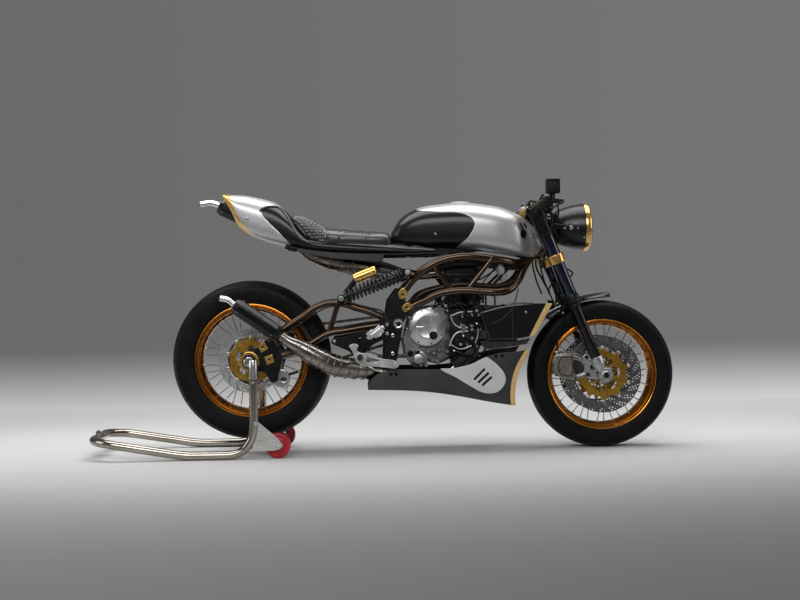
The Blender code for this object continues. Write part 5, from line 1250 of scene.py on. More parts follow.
def shocks():
    for side, label in SIDES:
        low, high = at(SHOCK_LOW, side * 0.16), at(SHOCK_HIGH, side * 0.16)
        run = (high - low).normalized()
        length = (high - low).length
        up = Vector((-run.z, 0.0, run.x))
        body, gold, coil, metal = shapes(4)
        body.turned([(0.0, 0.012), (0.01, 0.012), (0.0105, 0.028), (0.017, 0.032), (0.017, 0.04),
            (0.0085, 0.042), (0.0085, length - 0.085), (0.0195, length - 0.08), (0.0205, length - 0.03),
            (0.013, length - 0.018), (0.0, length - 0.012)], low, run, 36)
        coil.coil(low + run * 0.03, low + run * (length - 0.034), 0.0258, 0.0035, 13.0, 10, 26)
        for spot in (0.0225, length - 0.031):
            metal.turned([(0.01, spot), (0.0268, spot), (0.0275, spot + 0.0012), (0.0275, spot + 0.0058),
                (0.0262, spot + 0.0072), (0.01, spot + 0.0072)], low, run, 48, looped=True)
        for spot in (length - 0.029, 0.017):
            coil.turned([(0.01, spot), (0.0225, spot), (0.0232, spot + 0.001), (0.0232, spot + 0.005),
                (0.01, spot + 0.006)], low, run, 30, looped=True)
        start = low + run * (length - 0.205) + up * 0.054
        gold.turned([(0.0, 0.0), (0.0175, 0.0), (0.0192, 0.0016), (0.0192, 0.004), (0.0182, 0.0055),
            (0.0182, 0.008), (0.02, 0.0095), (0.02, 0.07), (0.0188, 0.0715), (0.0188, 0.0745), (0.02, 0.076),
            (0.02, 0.0885), (0.018, 0.0915), (0.006, 0.092), (0.005, 0.09), (0.0, 0.09)], start, run, 44)
        metal.tube([low + run * 0.024, low + run * 0.034 + up * 0.02, start + run * 0.014],
            [0.011, 0.01, 0.0095], 18)
        for place in (SHOCK_LOW, SHOCK_HIGH):
            metal.turned([(0.0, 0.145), (0.014, 0.145), (0.015, 0.1462), (0.015, 0.1738), (0.014, 0.175),
                (0.0, 0.175)], at(place, 0.0), (0, side, 0), 32)
        body.done("shock_body_" + label, "stanchion", "chassis", "shock_" + label)
        coil.done("shock_spring_" + label, "spring", angle=60)
        gold.done("shock_reservoir_" + label, "gold", angle=30)
        metal.done("shock_ends_" + label, "black", angle=30)


main_frame()
frame_plates()
swingarm()
rear_caliper()
shocks()


# Engine, radiator shroud, belly pan and exhausts
CRANK = Vector((0.21, 0.0, 0.515))
CLUTCH = Vector((0.164, 0.0, 0.503))
CASE = [(0.067, 0.435), (0.075, 0.39), (0.212, 0.352), (0.3, 0.395), (0.372, 0.42), (0.388, 0.49),
    (0.374, 0.569), (0.216, 0.591), (0.12, 0.585), (0.092, 0.545)]


def bank_matrix(angle):
    return Matrix.Translation(CRANK) @ Matrix.Rotation(-angle, 4, "Y")


def rim_points(points, reach, steps=3):
    """Outline with its corners rounded off by `reach`."""
    made = []
    count = len(points)
    for index in range(count):
        corner = Vector(points[index])
        before = Vector(points[index - 1]) - corner
        after = Vector(points[(index + 1) % count]) - corner
        size = min(reach, before.length * 0.45, after.length * 0.45)
        start, end = corner + before.normalized() * size, corner + after.normalized() * size
        for step in range(steps + 1):
            share = step / steps
            made.append(tuple(start.lerp(corner, share).lerp(corner.lerp(end, share), share)))
    return made


def shrunk(points, by):
    middle = Vector((sum(x for x, z in points) / len(points), sum(z for x, z in points) / len(points)))
    return [tuple(middle + (Vector(point) - middle) * (1 - by / (Vector(point) - middle).length))
        for point in points]


def crankcase():
    case, ribs, bolts, dark, silver, pump, bright = shapes(7)
    outline = rim_points(CASE, 0.014)
    case.plate(outline, -0.079, 0.079, (), 0.006, rounds=4)
    for side in (RIGHT, LEFT):
        case.plate(rim_points(shrunk(CASE, 0.01), 0.012), side * 0.07, side * 0.0848, (), 0.003, rounds=3)
    case.plate(outline, -0.003, 0.003, (), 0.001)
    for x, z in shrunk(CASE, 0.006):
        for side in (RIGHT, LEFT):
            bolts.bolt((x, side * 0.0786, z), (0, side, 0), 0.0042, 0.0048)
    # Ridges and webs of the right-hand casting, forward of the clutch
    for route, wide in (([(0.262, 0.552), (0.272, 0.52), (0.3, 0.499), (0.33, 0.498)], 0.0042),
            ([(0.33, 0.484), (0.306, 0.483), (0.284, 0.476), (0.268, 0.455), (0.256, 0.425)], 0.0042),
            ([(0.268, 0.548), (0.3, 0.56), (0.35, 0.562)], 0.0034),
            ([(0.345, 0.555), (0.366, 0.52), (0.372, 0.47), (0.358, 0.432)], 0.0034),
            ([(0.262, 0.43), (0.3, 0.412), (0.345, 0.425)], 0.0034),
            ([(0.3, 0.499), (0.312, 0.53), (0.31, 0.556)], 0.0026),
            ([(0.306, 0.483), (0.322, 0.455), (0.33, 0.424)], 0.0026)):
        ribs.tube([(x, -0.0852, z) for x, z in smooth(route, 5)], wide, 10)
    for x, z, radius in ((0.318, 0.53, 0.016), (0.336, 0.455, 0.018), (0.29, 0.44, 0.013)):
        silver.turned([(radius + 0.003, 0.0), (radius + 0.002, 0.004), (radius, 0.006),
            (radius * 0.8, 0.0065), (radius * 0.7, 0.005), (0.0, 0.005)], (x, -0.084, z), (0, -1, 0), 36)
    # Lower left castings, sump and the round housing below the clutch
    silver.plate(rim_points([(0.07, 0.44), (0.078, 0.398), (0.128, 0.38), (0.14, 0.425), (0.105, 0.47)],
        0.008), -0.103, -0.084, (), 0.003, rounds=3)
    silver.plate(rim_points([(0.08, 0.43), (0.084, 0.372), (0.108, 0.352), (0.126, 0.372), (0.12, 0.42)],
        0.008), -0.1, -0.06, (), 0.004, rounds=3)
    bright.plate(rim_points([(0.085, 0.505), (0.069, 0.455), (0.084, 0.424), (0.122, 0.407), (0.142, 0.414),
        (0.104, 0.445), (0.093, 0.477)], 0.006), -0.107, -0.099, (), 0.003, rounds=3)
    bright.plate(rim_points([(0.105, 0.541), (0.122, 0.566), (0.15, 0.581), (0.186, 0.582), (0.203, 0.563),
        (0.177, 0.53), (0.129, 0.525)], 0.006), -0.106, -0.084, (), 0.004, rounds=3)
    bright.block((0.143, -0.1085, 0.548), (0.151, -0.105, 0.574), 0.0014)
    bright.block((0.158, -0.1085, 0.552), (0.172, -0.105, 0.577), 0.0014)
    for x, z, radius in ((0.098, 0.398, 0.0125), (0.128, 0.398, 0.01)):
        dark.turned([(radius, 0.0), (radius, 0.006), (radius * 0.9, 0.008), (radius * 0.5, 0.008),
            (radius * 0.45, 0.006), (0.0, 0.006)], (x, -0.101, z), (0, -1, 0), 26)
    pump.turned([(0.0, 0.07), (0.036, 0.07), (0.0375, 0.072), (0.0375, 0.08), (0.035, 0.083), (0.033, 0.084),
        (0.033, 0.09), (0.024, 0.093), (0.0225, 0.104), (0.0205, 0.1095), (0.016, 0.1115), (0.0, 0.1118)],
        (0.131, 0.0, 0.376), (0, -1, 0), 48)
    for index in range(5):
        turn = math.tau * (index + 0.2) / 5
        place = (0.131 + 0.03 * math.cos(turn), -0.0838, 0.376 + 0.03 * math.sin(turn))
        bolts.bolt(place, (0, -1, 0), 0.0034, 0.004)
    for x, z in ((0.192, 0.398), (0.215, 0.412), (0.246, 0.404), (0.17, 0.404), (0.14, 0.352), (0.16, 0.35)):
        silver.turned([(0.0, 0.0), (0.0085, 0.0), (0.0085, 0.02), (0.007, 0.022), (0.0, 0.022)],
            (x, -0.08, z), (0, -1, 0), 24)
        bolts.bolt((x, -0.1018, z), (0, -1, 0), 0.0042, 0.0045)
    pump.turned([(0.0, 0.0), (0.0072, 0.0), (0.0072, 0.016), (0.006, 0.018), (0.0, 0.018)],
        (0.188, -0.07, 0.37), (0, -1, 0), 20)
    for x in (0.152, 0.17, 0.188, 0.206, 0.224):
        ribs.block((x, -0.06, 0.362), (x + 0.004, 0.06, 0.372), 0.0012)
    # Left side: flywheel cover and sprocket guard
    silver.turned([(0.0705, 0.084), (0.0705, 0.09), (0.066, 0.096), (0.05, 0.1), (0.046, 0.103),
        (0.0, 0.104)], at((0.245, 0.5), 0.0), (0, 1, 0), 64)
    for index in range(7):
        turn = math.tau * index / 7
        bolts.bolt((0.245 + 0.069 * math.cos(turn), 0.0905, 0.5 + 0.069 * math.sin(turn)), (0, 1, 0), 0.004,
            0.0044)
    dark.turned([(0.0, 0.08), (0.034, 0.08), (0.0385, 0.0905), (0.0385, 0.0935), (0.034, 0.0965),
        (0.02, 0.0965), (0.018, 0.103), (0.0, 0.103)], at((0.135, 0.515), 0.0), (0, 1, 0), 48)
    case.turned([(0.0, -0.1368), (0.0085, -0.1368), (0.009, -0.136), (0.009, 0.136), (0.0085, 0.1368),
        (0.0, 0.1368)], (0.028, 0.0, 0.384), (0, 1, 0), 26)
    case.block((0.026, -0.03, 0.3775), (0.09, 0.03, 0.3905), 0.003)
    case.turned([(0.0, -0.1448), (0.0085, -0.1448), (0.009, -0.144), (0.009, 0.144), (0.0085, 0.1448),
        (0.0, 0.1448)], (0.2, 0.0, 0.372), (0, 1, 0), 26)
    case.done("engine_case", "case", "chassis", "crankcase", angle=30)
    ribs.done("engine_ribs", "satin", angle=50)
    bright.done("engine_bright", "polished", angle=30)
    silver.done("engine_covers", "case", angle=30)
    bolts.done("engine_bolts", "machined")
    dark.done("engine_caps", "black", angle=30)
    pump.done("engine_pump", "cast", angle=30)


def clutch_cover():
    cover, cap, screws, inner = shapes(4)
    place = at(CLUTCH, 0.0)
    cover.turned([(0.0752, 0.0853), (0.0752, 0.106), (0.074, 0.109), (0.072, 0.11), (0.06, 0.1135),
        (0.047, 0.1185), (0.0452, 0.1195), (0.044, 0.1188), (0.0425, 0.115), (0.041, 0.1128),
        (0.0395, 0.1122), (0.015, 0.1122), (0.0135, 0.114), (0.0125, 0.118), (0.011, 0.1192),
        (0.006, 0.1192), (0.005, 0.118), (0.0, 0.118)], place, (0, -1, 0), 96)
    cover.done("clutch_dome", "cover", "chassis", "clutch_cover", angle=25)
    for turn in (math.radians(62.0), math.radians(178.0), math.radians(300.0)):
        run = Vector((math.cos(turn), 0.0, math.sin(turn)))
        base = place + Vector((0.0, -0.1125, 0.0))
        inner.tube([base + run * 0.01, base + run * 0.043], [0.0052, 0.0062], 14, flat=0.9)
    inner.done("clutch_arms", "polished", angle=50)
    cap_place = Vector((0.19, -0.108, 0.47))
    cap.turned([(0.0, 0.0), (0.016, 0.0), (0.0168, 0.001), (0.0168, 0.0135), (0.016, 0.0145),
        (0.013, 0.0146), (0.0122, 0.013), (0.0, 0.0128)], cap_place, (0, -1, 0), 40)
    cap.block(cap_place + Vector((-0.01, -0.0142, -0.0016)), cap_place + Vector((0.01, -0.012, 0.0016)),
        0.0006)
    cap.done("oil_cap", "rubber")
    for index in range(8):
        turn = math.tau * (index + 0.35) / 8
        spot = place + Vector((0.0675 * math.cos(turn), -0.1106, 0.0675 * math.sin(turn)))
        screws.bolt(spot, (0, -1, 0), 0.0028, 0.0018)
    screws.done("clutch_screws", "dark_cast")


def cylinder(name, angle, node):
    matrix = bank_matrix(angle)
    body, fins, bolts = shapes(3)
    body.block((0.08, -0.06, -0.049), (0.16, 0.06, 0.049), 0.006, matrix, 3)
    body.block((0.158, -0.0775, -0.0605), (0.19, 0.0775, 0.0605), 0.007, matrix, 3)
    body.block((0.1895, -0.07, -0.054), (0.205, 0.07, 0.054), 0.005, matrix, 3)
    body.block((0.2045, -0.0495, -0.0345), (0.2175, 0.0495, 0.0345), 0.004, matrix, 3)
    for step in range(7):
        along = 0.094 + 0.0092 * step
        fins.block((along, -0.0655, -0.0545), (along + 0.003, 0.0655, 0.0545), 0.0012, matrix)
    for step in range(3):
        along = 0.164 + 0.0085 * step
        fins.block((along, -0.078, -0.061), (along + 0.0028, 0.078, 0.061), 0.001, matrix)
    out = matrix.to_3x3() @ Vector((1, 0, 0))
    for across in (-0.058, 0.0, 0.058):
        for up in (-0.042, 0.042):
            bolts.bolt(matrix @ Vector((0.205, across, up)), out, 0.0052, 0.0062)
    body.done(name + "_barrel", "dark_cast", "chassis", node, angle=30)
    fins.done(name + "_fins", "dark_cast", angle=30)
    bolts.done(name + "_bolts", "machined")


def carburettors():
    bodies, rings, hoses, drops = shapes(4)
    for side in (RIGHT, LEFT):
        y = side * 0.036
        bodies.turned([(0.0, 0.0), (0.025, 0.0), (0.0258, 0.002), (0.0258, 0.014), (0.0225, 0.017),
            (0.0225, 0.048), (0.0255, 0.052), (0.0255, 0.064), (0.0, 0.064)], (0.361, y, 0.512),
            (1, 0, -0.03), 36)
        bodies.turned([(0.0, 0.0), (0.018, 0.0), (0.0188, 0.002), (0.0188, 0.03), (0.016, 0.034),
            (0.016, 0.048), (0.0188, 0.052), (0.0188, 0.076), (0.015, 0.081), (0.0, 0.082)],
            (0.425, y, 0.47), (0, 0, 1), 32)
        hoses.turned([(0.0, 0.0), (0.027, 0.0), (0.029, 0.003), (0.0298, 0.008), (0.0298, 0.03),
            (0.0285, 0.04), (0.0262, 0.0455), (0.0225, 0.0455), (0.0215, 0.03), (0.0, 0.03)],
            (0.4245, y, 0.51), (1, 0, -0.03), 40)
        rings.turned([(0.0262, 0.0), (0.0268, 0.0), (0.0268, 0.006), (0.0262, 0.006)], (0.3655, y, 0.512),
            (1, 0, -0.03), 36, looped=True)
        for step in range(3):
            rings.bolt((0.425 + 0.01 * math.cos(step * 2.1), y + 0.01 * math.sin(step * 2.1), 0.5505),
                (0, 0, 1), 0.0022, 0.0014)
        drops.turned(drum(0.0042, 0.0, 0.012), (0.425, y, 0.46), (0, 0, 1), 14)
    bodies.block((0.408, -0.04, 0.5), (0.44, 0.04, 0.522), 0.003)
    bodies.done("carburettor_bodies", "dark_cast", "chassis", "carburettors", angle=30)
    hoses.done("carburettor_stacks", "rubber")
    rings.done("carburettor_rings", "machined")
    drops.done("carburettor_drains", "polished")


SHROUD_EDGE = [(0.372, 0.56), (0.4, 0.5685), (0.44, 0.5795), (0.491, 0.5878), (0.55, 0.5925), (0.61, 0.5938),
    (0.6575, 0.591), (0.6215, 0.5275), (0.5855, 0.4645), (0.54, 0.456), (0.497, 0.4515), (0.45, 0.451),
    (0.41, 0.4512), (0.388, 0.51)]


def shroud():
    sides, stripe, screws, seams, tabs = shapes(5)
    for side in (RIGHT, LEFT):
        sides.plate(SHROUD_EDGE, side * 0.1505, side * 0.1698, (), 0.005, rounds=5)
        stripe.plate([(0.636, 0.5925), (0.659, 0.5918), (0.623, 0.5275), (0.5868, 0.464), (0.565, 0.46),
            (0.601, 0.5275)], side * 0.166, side * 0.1704, (), 0.0012, rounds=2)
        stripe.tube([(0.6585, side * 0.16, 0.5915), (0.6225, side * 0.16, 0.5275),
            (0.5862, side * 0.16, 0.464)], 0.0026, 10)
        seams.tube([(0.501, side * 0.1698, 0.454), (0.5005, side * 0.1702, 0.5),
            (0.4995, side * 0.1702, 0.55), (0.4975, side * 0.1698, 0.586)], 0.0016, 10)
        screws.bolt((0.5535, side * 0.1696, 0.558), (0, side, 0), 0.004, 0.0022)
        screws.bolt((0.584, side * 0.17, 0.466), (0, side, 0), 0.003, 0.0016)
        tabs.tube([(0.4325, side * 0.161, 0.57), (0.4325, side * 0.161, 0.612),
            (0.428, side * 0.158, 0.645)], 0.0042, 12)
        tabs.plate(rim_points([(0.372, 0.443), (0.43, 0.449), (0.52, 0.446), (0.575, 0.455), (0.56, 0.432),
            (0.47, 0.418), (0.392, 0.412)], 0.006), side * 0.144, side * 0.148, (), 0.001)
    sides.block((0.5, -0.1535, 0.5835), (0.6, 0.1535, 0.5885), 0.0018)
    sides.done("shroud_sides", "gloss", "chassis", "radiator_shroud", angle=30)
    stripe.done("shroud_stripe", "trim_gold", angle=30)
    seams.done("shroud_seam", "dark_cast", angle=60)
    screws.done("shroud_screws", "machined")
    tabs.done("shroud_brackets", "dark_cast", angle=30)


def radiator():
    core, tanks, fins = shapes(3)
    down = (Vector((0.519, 0.0, 0.466)) - Vector((0.56, 0.0, 0.577)))
    run = down.normalized()
    ahead = Vector((-run.z, 0.0, run.x))
    if ahead.x < 0:
        ahead = -ahead
    top = Vector((0.56, 0.0, 0.577))
    matrix = Matrix(((ahead.x, 0.0, -run.x, top.x), (0.0, 1.0, 0.0, 0.0), (ahead.z, 0.0, -run.z, top.z),
        (0.0, 0.0, 0.0, 1.0)))
    core.block((0.004, -0.13, -0.108), (0.03, 0.13, -0.006), 0.001, matrix)
    for side in (RIGHT, LEFT):
        low, high = sorted((side * 0.1295, side * 0.149))
        tanks.block((0.001, low, -0.112), (0.0335, high, -0.002), 0.004, matrix, 3)
    for step in range(15):
        up = -0.011 - 0.0068 * step
        fins.block((0.0295, -0.13, up - 0.0011), (0.0318, 0.13, up + 0.0011), 0.0004, matrix, 1)
    for step in range(64):
        y = -0.128 + 0.00406 * step
        fins.block((0.0285, y, -0.106), (0.0305, y + 0.0007, -0.008), 0.0, matrix)
    core.done("radiator_core", "core", "chassis", "radiator", angle=30)
    tanks.done("radiator_tanks", "black", angle=30)
    fins.done("radiator_fins", "dark_cast", angle=30)


PAN_TOP = [(-0.074, 0.26), (-0.062, 0.299), (-0.034, 0.322), (0.022, 0.337), (0.093, 0.338), (0.186, 0.3365),
    (0.186, 0.384), (0.214, 0.384), (0.214, 0.3362), (0.292, 0.345), (0.351, 0.359), (0.391, 0.381),
    (0.451, 0.397), (0.531, 0.404), (0.567, 0.411)]
PAN_BOTTOM = [(0.502, 0.188), (0.409, 0.204), (0.29, 0.228), (0.171, 0.247), (0.052, 0.256)]
PANEL = [(0.214, 0.3385), (0.258, 0.3395), (0.302, 0.3465), (0.346, 0.359), (0.38, 0.3755), (0.3985, 0.382),
    (0.417, 0.371), (0.448, 0.343), (0.468, 0.315), (0.4725, 0.288), (0.462, 0.264), (0.442, 0.245),
    (0.412, 0.2375), (0.376, 0.2435), (0.332, 0.268), (0.273, 0.3045)]
SLOTS = [((0.387, 0.333), (0.35, 0.296)), ((0.402, 0.317), (0.366, 0.284)), ((0.414, 0.301), (0.382, 0.272))]


def slot_outline(start, end, half):
    start, end = Vector(start), Vector(end)
    run = (end - start).normalized()
    side = Vector((-run.y, run.x))
    points = []
    for place, sign in ((start, -1), (end, 1)):
        for step in range(7):
            turn = math.pi * step / 6
            points.append(tuple(place + side * (sign * -math.cos(turn) * half) * -1 + run
                * (sign * math.sin(turn) * half)))
    return points


def pan():
    side_top = smooth(PAN_TOP[:5], 4)
    rest_top = smooth([(0.214, 0.3362), (0.292, 0.345), (0.351, 0.359), (0.391, 0.381), (0.451, 0.397),
        (0.531, 0.404), (0.567, 0.411)], 4)
    front = smooth([(0.567, 0.411), (0.547, 0.372), (0.527, 0.333), (0.513, 0.29), (0.505, 0.245),
        (0.502, 0.188)], 4)
    bottom = smooth(PAN_BOTTOM + [(-0.03, 0.2585), (-0.074, 0.26)], 3)
    outline = side_top + rest_top + front[1:-1] + bottom[:-1]
    shell = Shape().plate(outline, -0.15, 0.15, (), 0.0016, rounds=3).object("pan_shell")
    floor = [(x, z + 0.0045) for x, z in PAN_BOTTOM]
    hollow = [(-0.12, 0.266), (-0.12, 0.5), (0.65, 0.5), (0.65, 0.168)] + floor
    inner = Shape().plate(hollow, -0.1455, 0.1455, (), 0.0002)
    carved(shell, inner)
    finished(shell, "pan", "chassis", "belly_pan", angle=30)
    panel, slots, edge, bolts, trim = shapes(5)
    edge_low = smooth([(0.569, 0.4125), (0.548, 0.375), (0.528, 0.334), (0.5145, 0.29), (0.5075, 0.245),
        (0.5065, 0.21), (0.508, 0.188)], 4)
    edge_high = smooth([(0.4925, 0.19), (0.4905, 0.212), (0.4915, 0.248), (0.4975, 0.29), (0.511, 0.334),
        (0.531, 0.373), (0.554, 0.4075)], 4)
    for side in (RIGHT, LEFT):
        outline = smooth(PANEL, 4, looped=True)
        openings = [slot_outline(*ends, 0.0052) for ends in SLOTS]
        panel.plate(outline, side * 0.1498, side * 0.1528, openings, 0.001, rounds=3)
        # Painted shade: dark sheets at the bottom of the slot openings stand for the shade inside the vents.
        for ends in SLOTS:
            slots.plate(slot_outline(*ends, 0.0054), side * 0.1495, side * 0.1506, (), 0.0002)
        edge.plate(edge_low + edge_high, side * 0.149, side * 0.1524, (), 0.001, rounds=2)
        route = [(0.402, 0.3855), (0.432, 0.362), (0.46, 0.335), (0.478, 0.308)]
        trim.tube([(x, side * 0.1502, z) for x, z in smooth(route, 5)], 0.0014, 8)
        for x, z in ((0.017, 0.32), (0.038, 0.321), (0.435, 0.384), (0.46, 0.387)):
            bolts.bolt((x, side * 0.15, z), (0, side, 0), 0.0052, 0.0034)
        edge.tube([(x + 0.0005, side * 0.1478, z) for x, z in edge_low], 0.003, 10)
    edge.done("pan_edge", "trim_gold", angle=30)
    panel.done("pan_panel", "silver", angle=30)
    slots.done("pan_slots", "rubber")
    trim.done("pan_groove", "gloss", angle=60)
    bolts.done("pan_bolts", "black")
    liner = Shape().tube([(0.3845, -0.1512, 0.3355), (0.366, -0.1512, 0.317)], 0.0016, 8)
    liner.done("pan_slot_red", "reddish")


def exhaust(name, table, port, node, bands, body="chassis"):
    """Rolled expansion chamber with a weld bead at each cone."""
    rows = [(*point, 0.019) for point in port] + table
    path = smooth(rows, 7)
    shape = Shape().tube([row[:3] for row in path], [row[3] for row in path], 40)
    shape.done(name + "_pipe", "raw", body, node, angle=60)
    beads = Shape()
    for spot in bands:
        index = min(range(len(path)), key=lambda item: abs(path[item][0] - spot))
        centre = Vector(path[index][:3])
        run = (Vector(path[min(index + 1, len(path) - 1)][:3]) - Vector(path[max(index - 1,
            0)][:3])).normalized()
        across = run.orthogonal().normalized()
        other = run.cross(across)
        ring = [centre + (across * math.cos(turn) + other * math.sin(turn)) * (path[index][3] + 0.0004)
            for turn in (math.tau * step / 72 for step in range(72))]
        beads.tube(ring, [0.0021 + 0.0005 * (step % 2) for step in range(72)], 6, looped=True)
    beads.done(name + "_welds", "weld", body, angle=60)


def silencer(name, start, end, radius, tail, node, sides):
    """Faceted black can with rivets and a bent bright tip."""
    start, end = Vector(start), Vector(end)
    run = (end - start).normalized()
    length = (end - start).length
    up = Vector((-run.z, 0.0, run.x)).normalized()
    if up.z < 0:
        up = -up
    across = run.cross(up)
    can, tip, rivets = shapes(3)
    rings = []
    for along, size in ((0.0, 0.55), (0.0, 0.62), (0.013, 0.86), (0.028, 0.995), (0.03, 1.0),
            (length - 0.019, 1.0), (length - 0.017, 0.985), (length - 0.002, 0.8), (length, 0.76),
            (length, 0.45)):
        ring = []
        for index in range(sides * 3):
            turn = math.tau * (index // 3 + 0.5 + (index % 3 - 1) * 0.13) / sides
            shape = 1.0 if index % 3 == 1 else 0.992
            ring.append(start + run * along + (up * math.sin(turn) + across * math.cos(turn)) * radius * size
                * shape)
        rings.append(ring)
    can.skin(rings)
    can.done(name + "_can", "silencer", "chassis", node, angle=8)
    route = smooth([tuple(end - run * 0.012), tuple(end + run * 0.01), *tail], 8)
    tip.tube(route, 0.0122, 28, ends=False)
    tip.tube(route, 0.0108, 28, ends=False)
    last = Vector(route[-1])
    heading = (last - Vector(route[-2])).normalized()
    tip.turned([(0.0108, 0.0), (0.0122, 0.0)], last, heading, 28)
    tip.done(name + "_tip", "chrome", angle=50)
    for along in (0.034, length - 0.024):
        for index in range(6):
            turn = math.tau * (index + 0.5) / 6
            out = up * math.sin(turn) + across * math.cos(turn)
            rivets.turned([(0.0, 0.0), (0.0026, 0.0), (0.0022, 0.001), (0.0, 0.0014)],
                start + run * along + out * radius * 0.955, out, 10)
    rivets.done(name + "_rivets", "machined")


LOW_CHAMBER = [(0.225, -0.03, 0.295, 0.02), (0.15, -0.04, 0.292, 0.022), (0.06, -0.055, 0.3, 0.027),
    (-0.02, -0.082, 0.318, 0.033), (-0.085, -0.118, 0.337, 0.038), (-0.145, -0.152, 0.347, 0.041),
    (-0.202, -0.178, 0.36, 0.042), (-0.252, -0.19, 0.384, 0.041), (-0.3, -0.197, 0.412, 0.037),
    (-0.345, -0.2, 0.44, 0.03), (-0.38, -0.202, 0.4585, 0.023), (-0.41, -0.204, 0.48, 0.02),]


def loose_parts():
    """Air box, wiring, breather hoses and fittings packed between the frame and the engine."""
    box, hoses, fittings, bottle, cable, dark = shapes(6)
    box.block((0.238, -0.072, 0.678), (0.372, 0.072, 0.752), 0.012, None, 4)
    box.block((0.232, -0.076, 0.706), (0.378, 0.076, 0.714), 0.002)
    box.block((0.3, -0.06, 0.566), (0.352, 0.06, 0.64), 0.008, None, 3)
    box.block((0.352, -0.105, 0.498), (0.398, -0.05, 0.59), 0.008, None, 3)
    box.block((0.392, -0.118, 0.452), (0.44, -0.06, 0.586), 0.01, None, 4)
    box.block((0.392, 0.06, 0.452), (0.44, 0.118, 0.586), 0.01, None, 4)
    dark.turned([(0.0, 0.0), (0.02, 0.0), (0.021, 0.002), (0.021, 0.034), (0.018, 0.038), (0.0, 0.038)],
        (0.286, -0.074, 0.664), (0.1, -0.2, 1.0), 30)
    dark.turned([(0.0, 0.0), (0.016, 0.0), (0.017, 0.002), (0.017, 0.05), (0.014, 0.054), (0.0, 0.054)],
        (0.346, -0.08, 0.592), (0.3, -0.1, 1.0), 28)
    dark.turned([(0.0, 0.0), (0.0225, 0.0), (0.024, 0.003), (0.024, 0.02), (0.02, 0.026), (0.008, 0.028),
        (0.0, 0.028)], (0.402, -0.096, 0.47), (0, -1, 0), 30)
    for route, wide in (([(0.262, -0.082, 0.65), (0.276, -0.096, 0.618), (0.3, -0.1, 0.59),
            (0.326, -0.098, 0.56)], 0.006), ([(0.312, -0.09, 0.652), (0.33, -0.104, 0.63),
            (0.352, -0.106, 0.6), (0.356, -0.1, 0.56)], 0.005),
            ([(0.24, -0.086, 0.56), (0.262, -0.098, 0.584), (0.296, -0.104, 0.596), (0.33, -0.102, 0.586)],
            0.0055), ([(0.3, -0.094, 0.54), (0.322, -0.106, 0.548), (0.344, -0.108, 0.536),
            (0.352, -0.104, 0.512)], 0.0045), ([(0.33, -0.096, 0.64), (0.362, -0.108, 0.648),
            (0.388, -0.104, 0.632), (0.392, -0.096, 0.596)], 0.0048),
            ([(0.356, -0.106, 0.52), (0.38, -0.118, 0.506), (0.404, -0.12, 0.486), (0.408, -0.112, 0.45)],
            0.0052), ([(0.3, -0.088, 0.47), (0.33, -0.1, 0.458), (0.352, -0.104, 0.436),
            (0.36, -0.098, 0.404)], 0.005), ([(0.262, -0.086, 0.41), (0.29, -0.096, 0.4),
            (0.322, -0.098, 0.388), (0.35, -0.094, 0.382)], 0.0048),
            ([(0.382, -0.1, 0.44), (0.396, -0.112, 0.424), (0.392, -0.108, 0.402), (0.372, -0.098, 0.392)],
            0.0045), ([(0.25, -0.07, 0.668), (0.23, -0.086, 0.64), (0.222, -0.09, 0.61),
            (0.232, -0.088, 0.586)], 0.005), ([(0.2, -0.076, 0.64), (0.216, -0.088, 0.612),
            (0.21, -0.092, 0.59), (0.196, -0.088, 0.582)], 0.0038),
            ([(0.404, -0.11, 0.56), (0.424, -0.124, 0.548), (0.44, -0.126, 0.52), (0.436, -0.12, 0.48)],
            0.0042)):
        for side in (1, -1):
            hoses.tube([(x, side * y, z) for x, y, z in smooth(route, 6)], wide, 10)
        start, after = Vector(route[0]), Vector(route[1])
        fittings.turned([(wide - 0.0002, 0.0), (wide + 0.0012, 0.0), (wide + 0.0012, 0.0055),
            (wide - 0.0002, 0.0055)], start.lerp(after, 0.35), after - start, 16, looped=True)
    for x, z in ((0.314, 0.505), (0.314, 0.491), (0.346, 0.505), (0.346, 0.491), (0.346, 0.457),
            (0.374, 0.548), (0.242, 0.588), (0.366, 0.566), (0.384, 0.628), (0.3, 0.432)):
        fittings.bolt((x, -0.105, z), (0, -1, 0), 0.0045, 0.004)
        dark.turned(drum(0.007, 0.0, 0.022), (x, -0.0835, z), (0, -1, 0), 16)
    bottle.turned([(0.0, 0.0), (0.015, 0.0), (0.017, 0.002), (0.0175, 0.01), (0.0175, 0.066), (0.015, 0.074),
        (0.0105, 0.078), (0.0105, 0.088), (0.0, 0.088)], (0.479, -0.078, 0.687), (-0.3, 0.0, 1.0), 32)
    bottle.done("overflow_bottle", "plastic", angle=35)
    cable.tube(smooth([(0.53, -0.142, 0.652), (0.522, -0.15, 0.632), (0.518, -0.152, 0.615),
        (0.508, -0.156, 0.588), (0.5, -0.172, 0.572), (0.473, -0.1735, 0.544), (0.445, -0.1735, 0.525),
        (0.413, -0.168, 0.515), (0.392, -0.14, 0.514), (0.365, -0.112, 0.514)], 7), 0.0024, 10)
    cable.tube(smooth([(0.47, -0.07, 0.768), (0.45, -0.08, 0.744), (0.424, -0.086, 0.712),
        (0.398, -0.088, 0.684), (0.386, -0.09, 0.65)], 6), 0.0026, 10)
    cable.tube(smooth([(0.3, -0.07, 0.69), (0.336, -0.092, 0.694), (0.376, -0.096, 0.69),
        (0.408, -0.092, 0.706), (0.446, -0.084, 0.73)], 6), 0.0032, 10)
    cable.done("throttle_cable", "hose", angle=80)
    box.done("air_box", "black", angle=30)
    dark.done("engine_canisters", "dark_cast", angle=35)
    hoses.done("breather_hoses", "hose", angle=80)
    fittings.done("hose_fittings", "machined", angle=35)


def bank_point(angle, along, up):
    return bank_matrix(angle) @ Vector((along, 0.0, up))


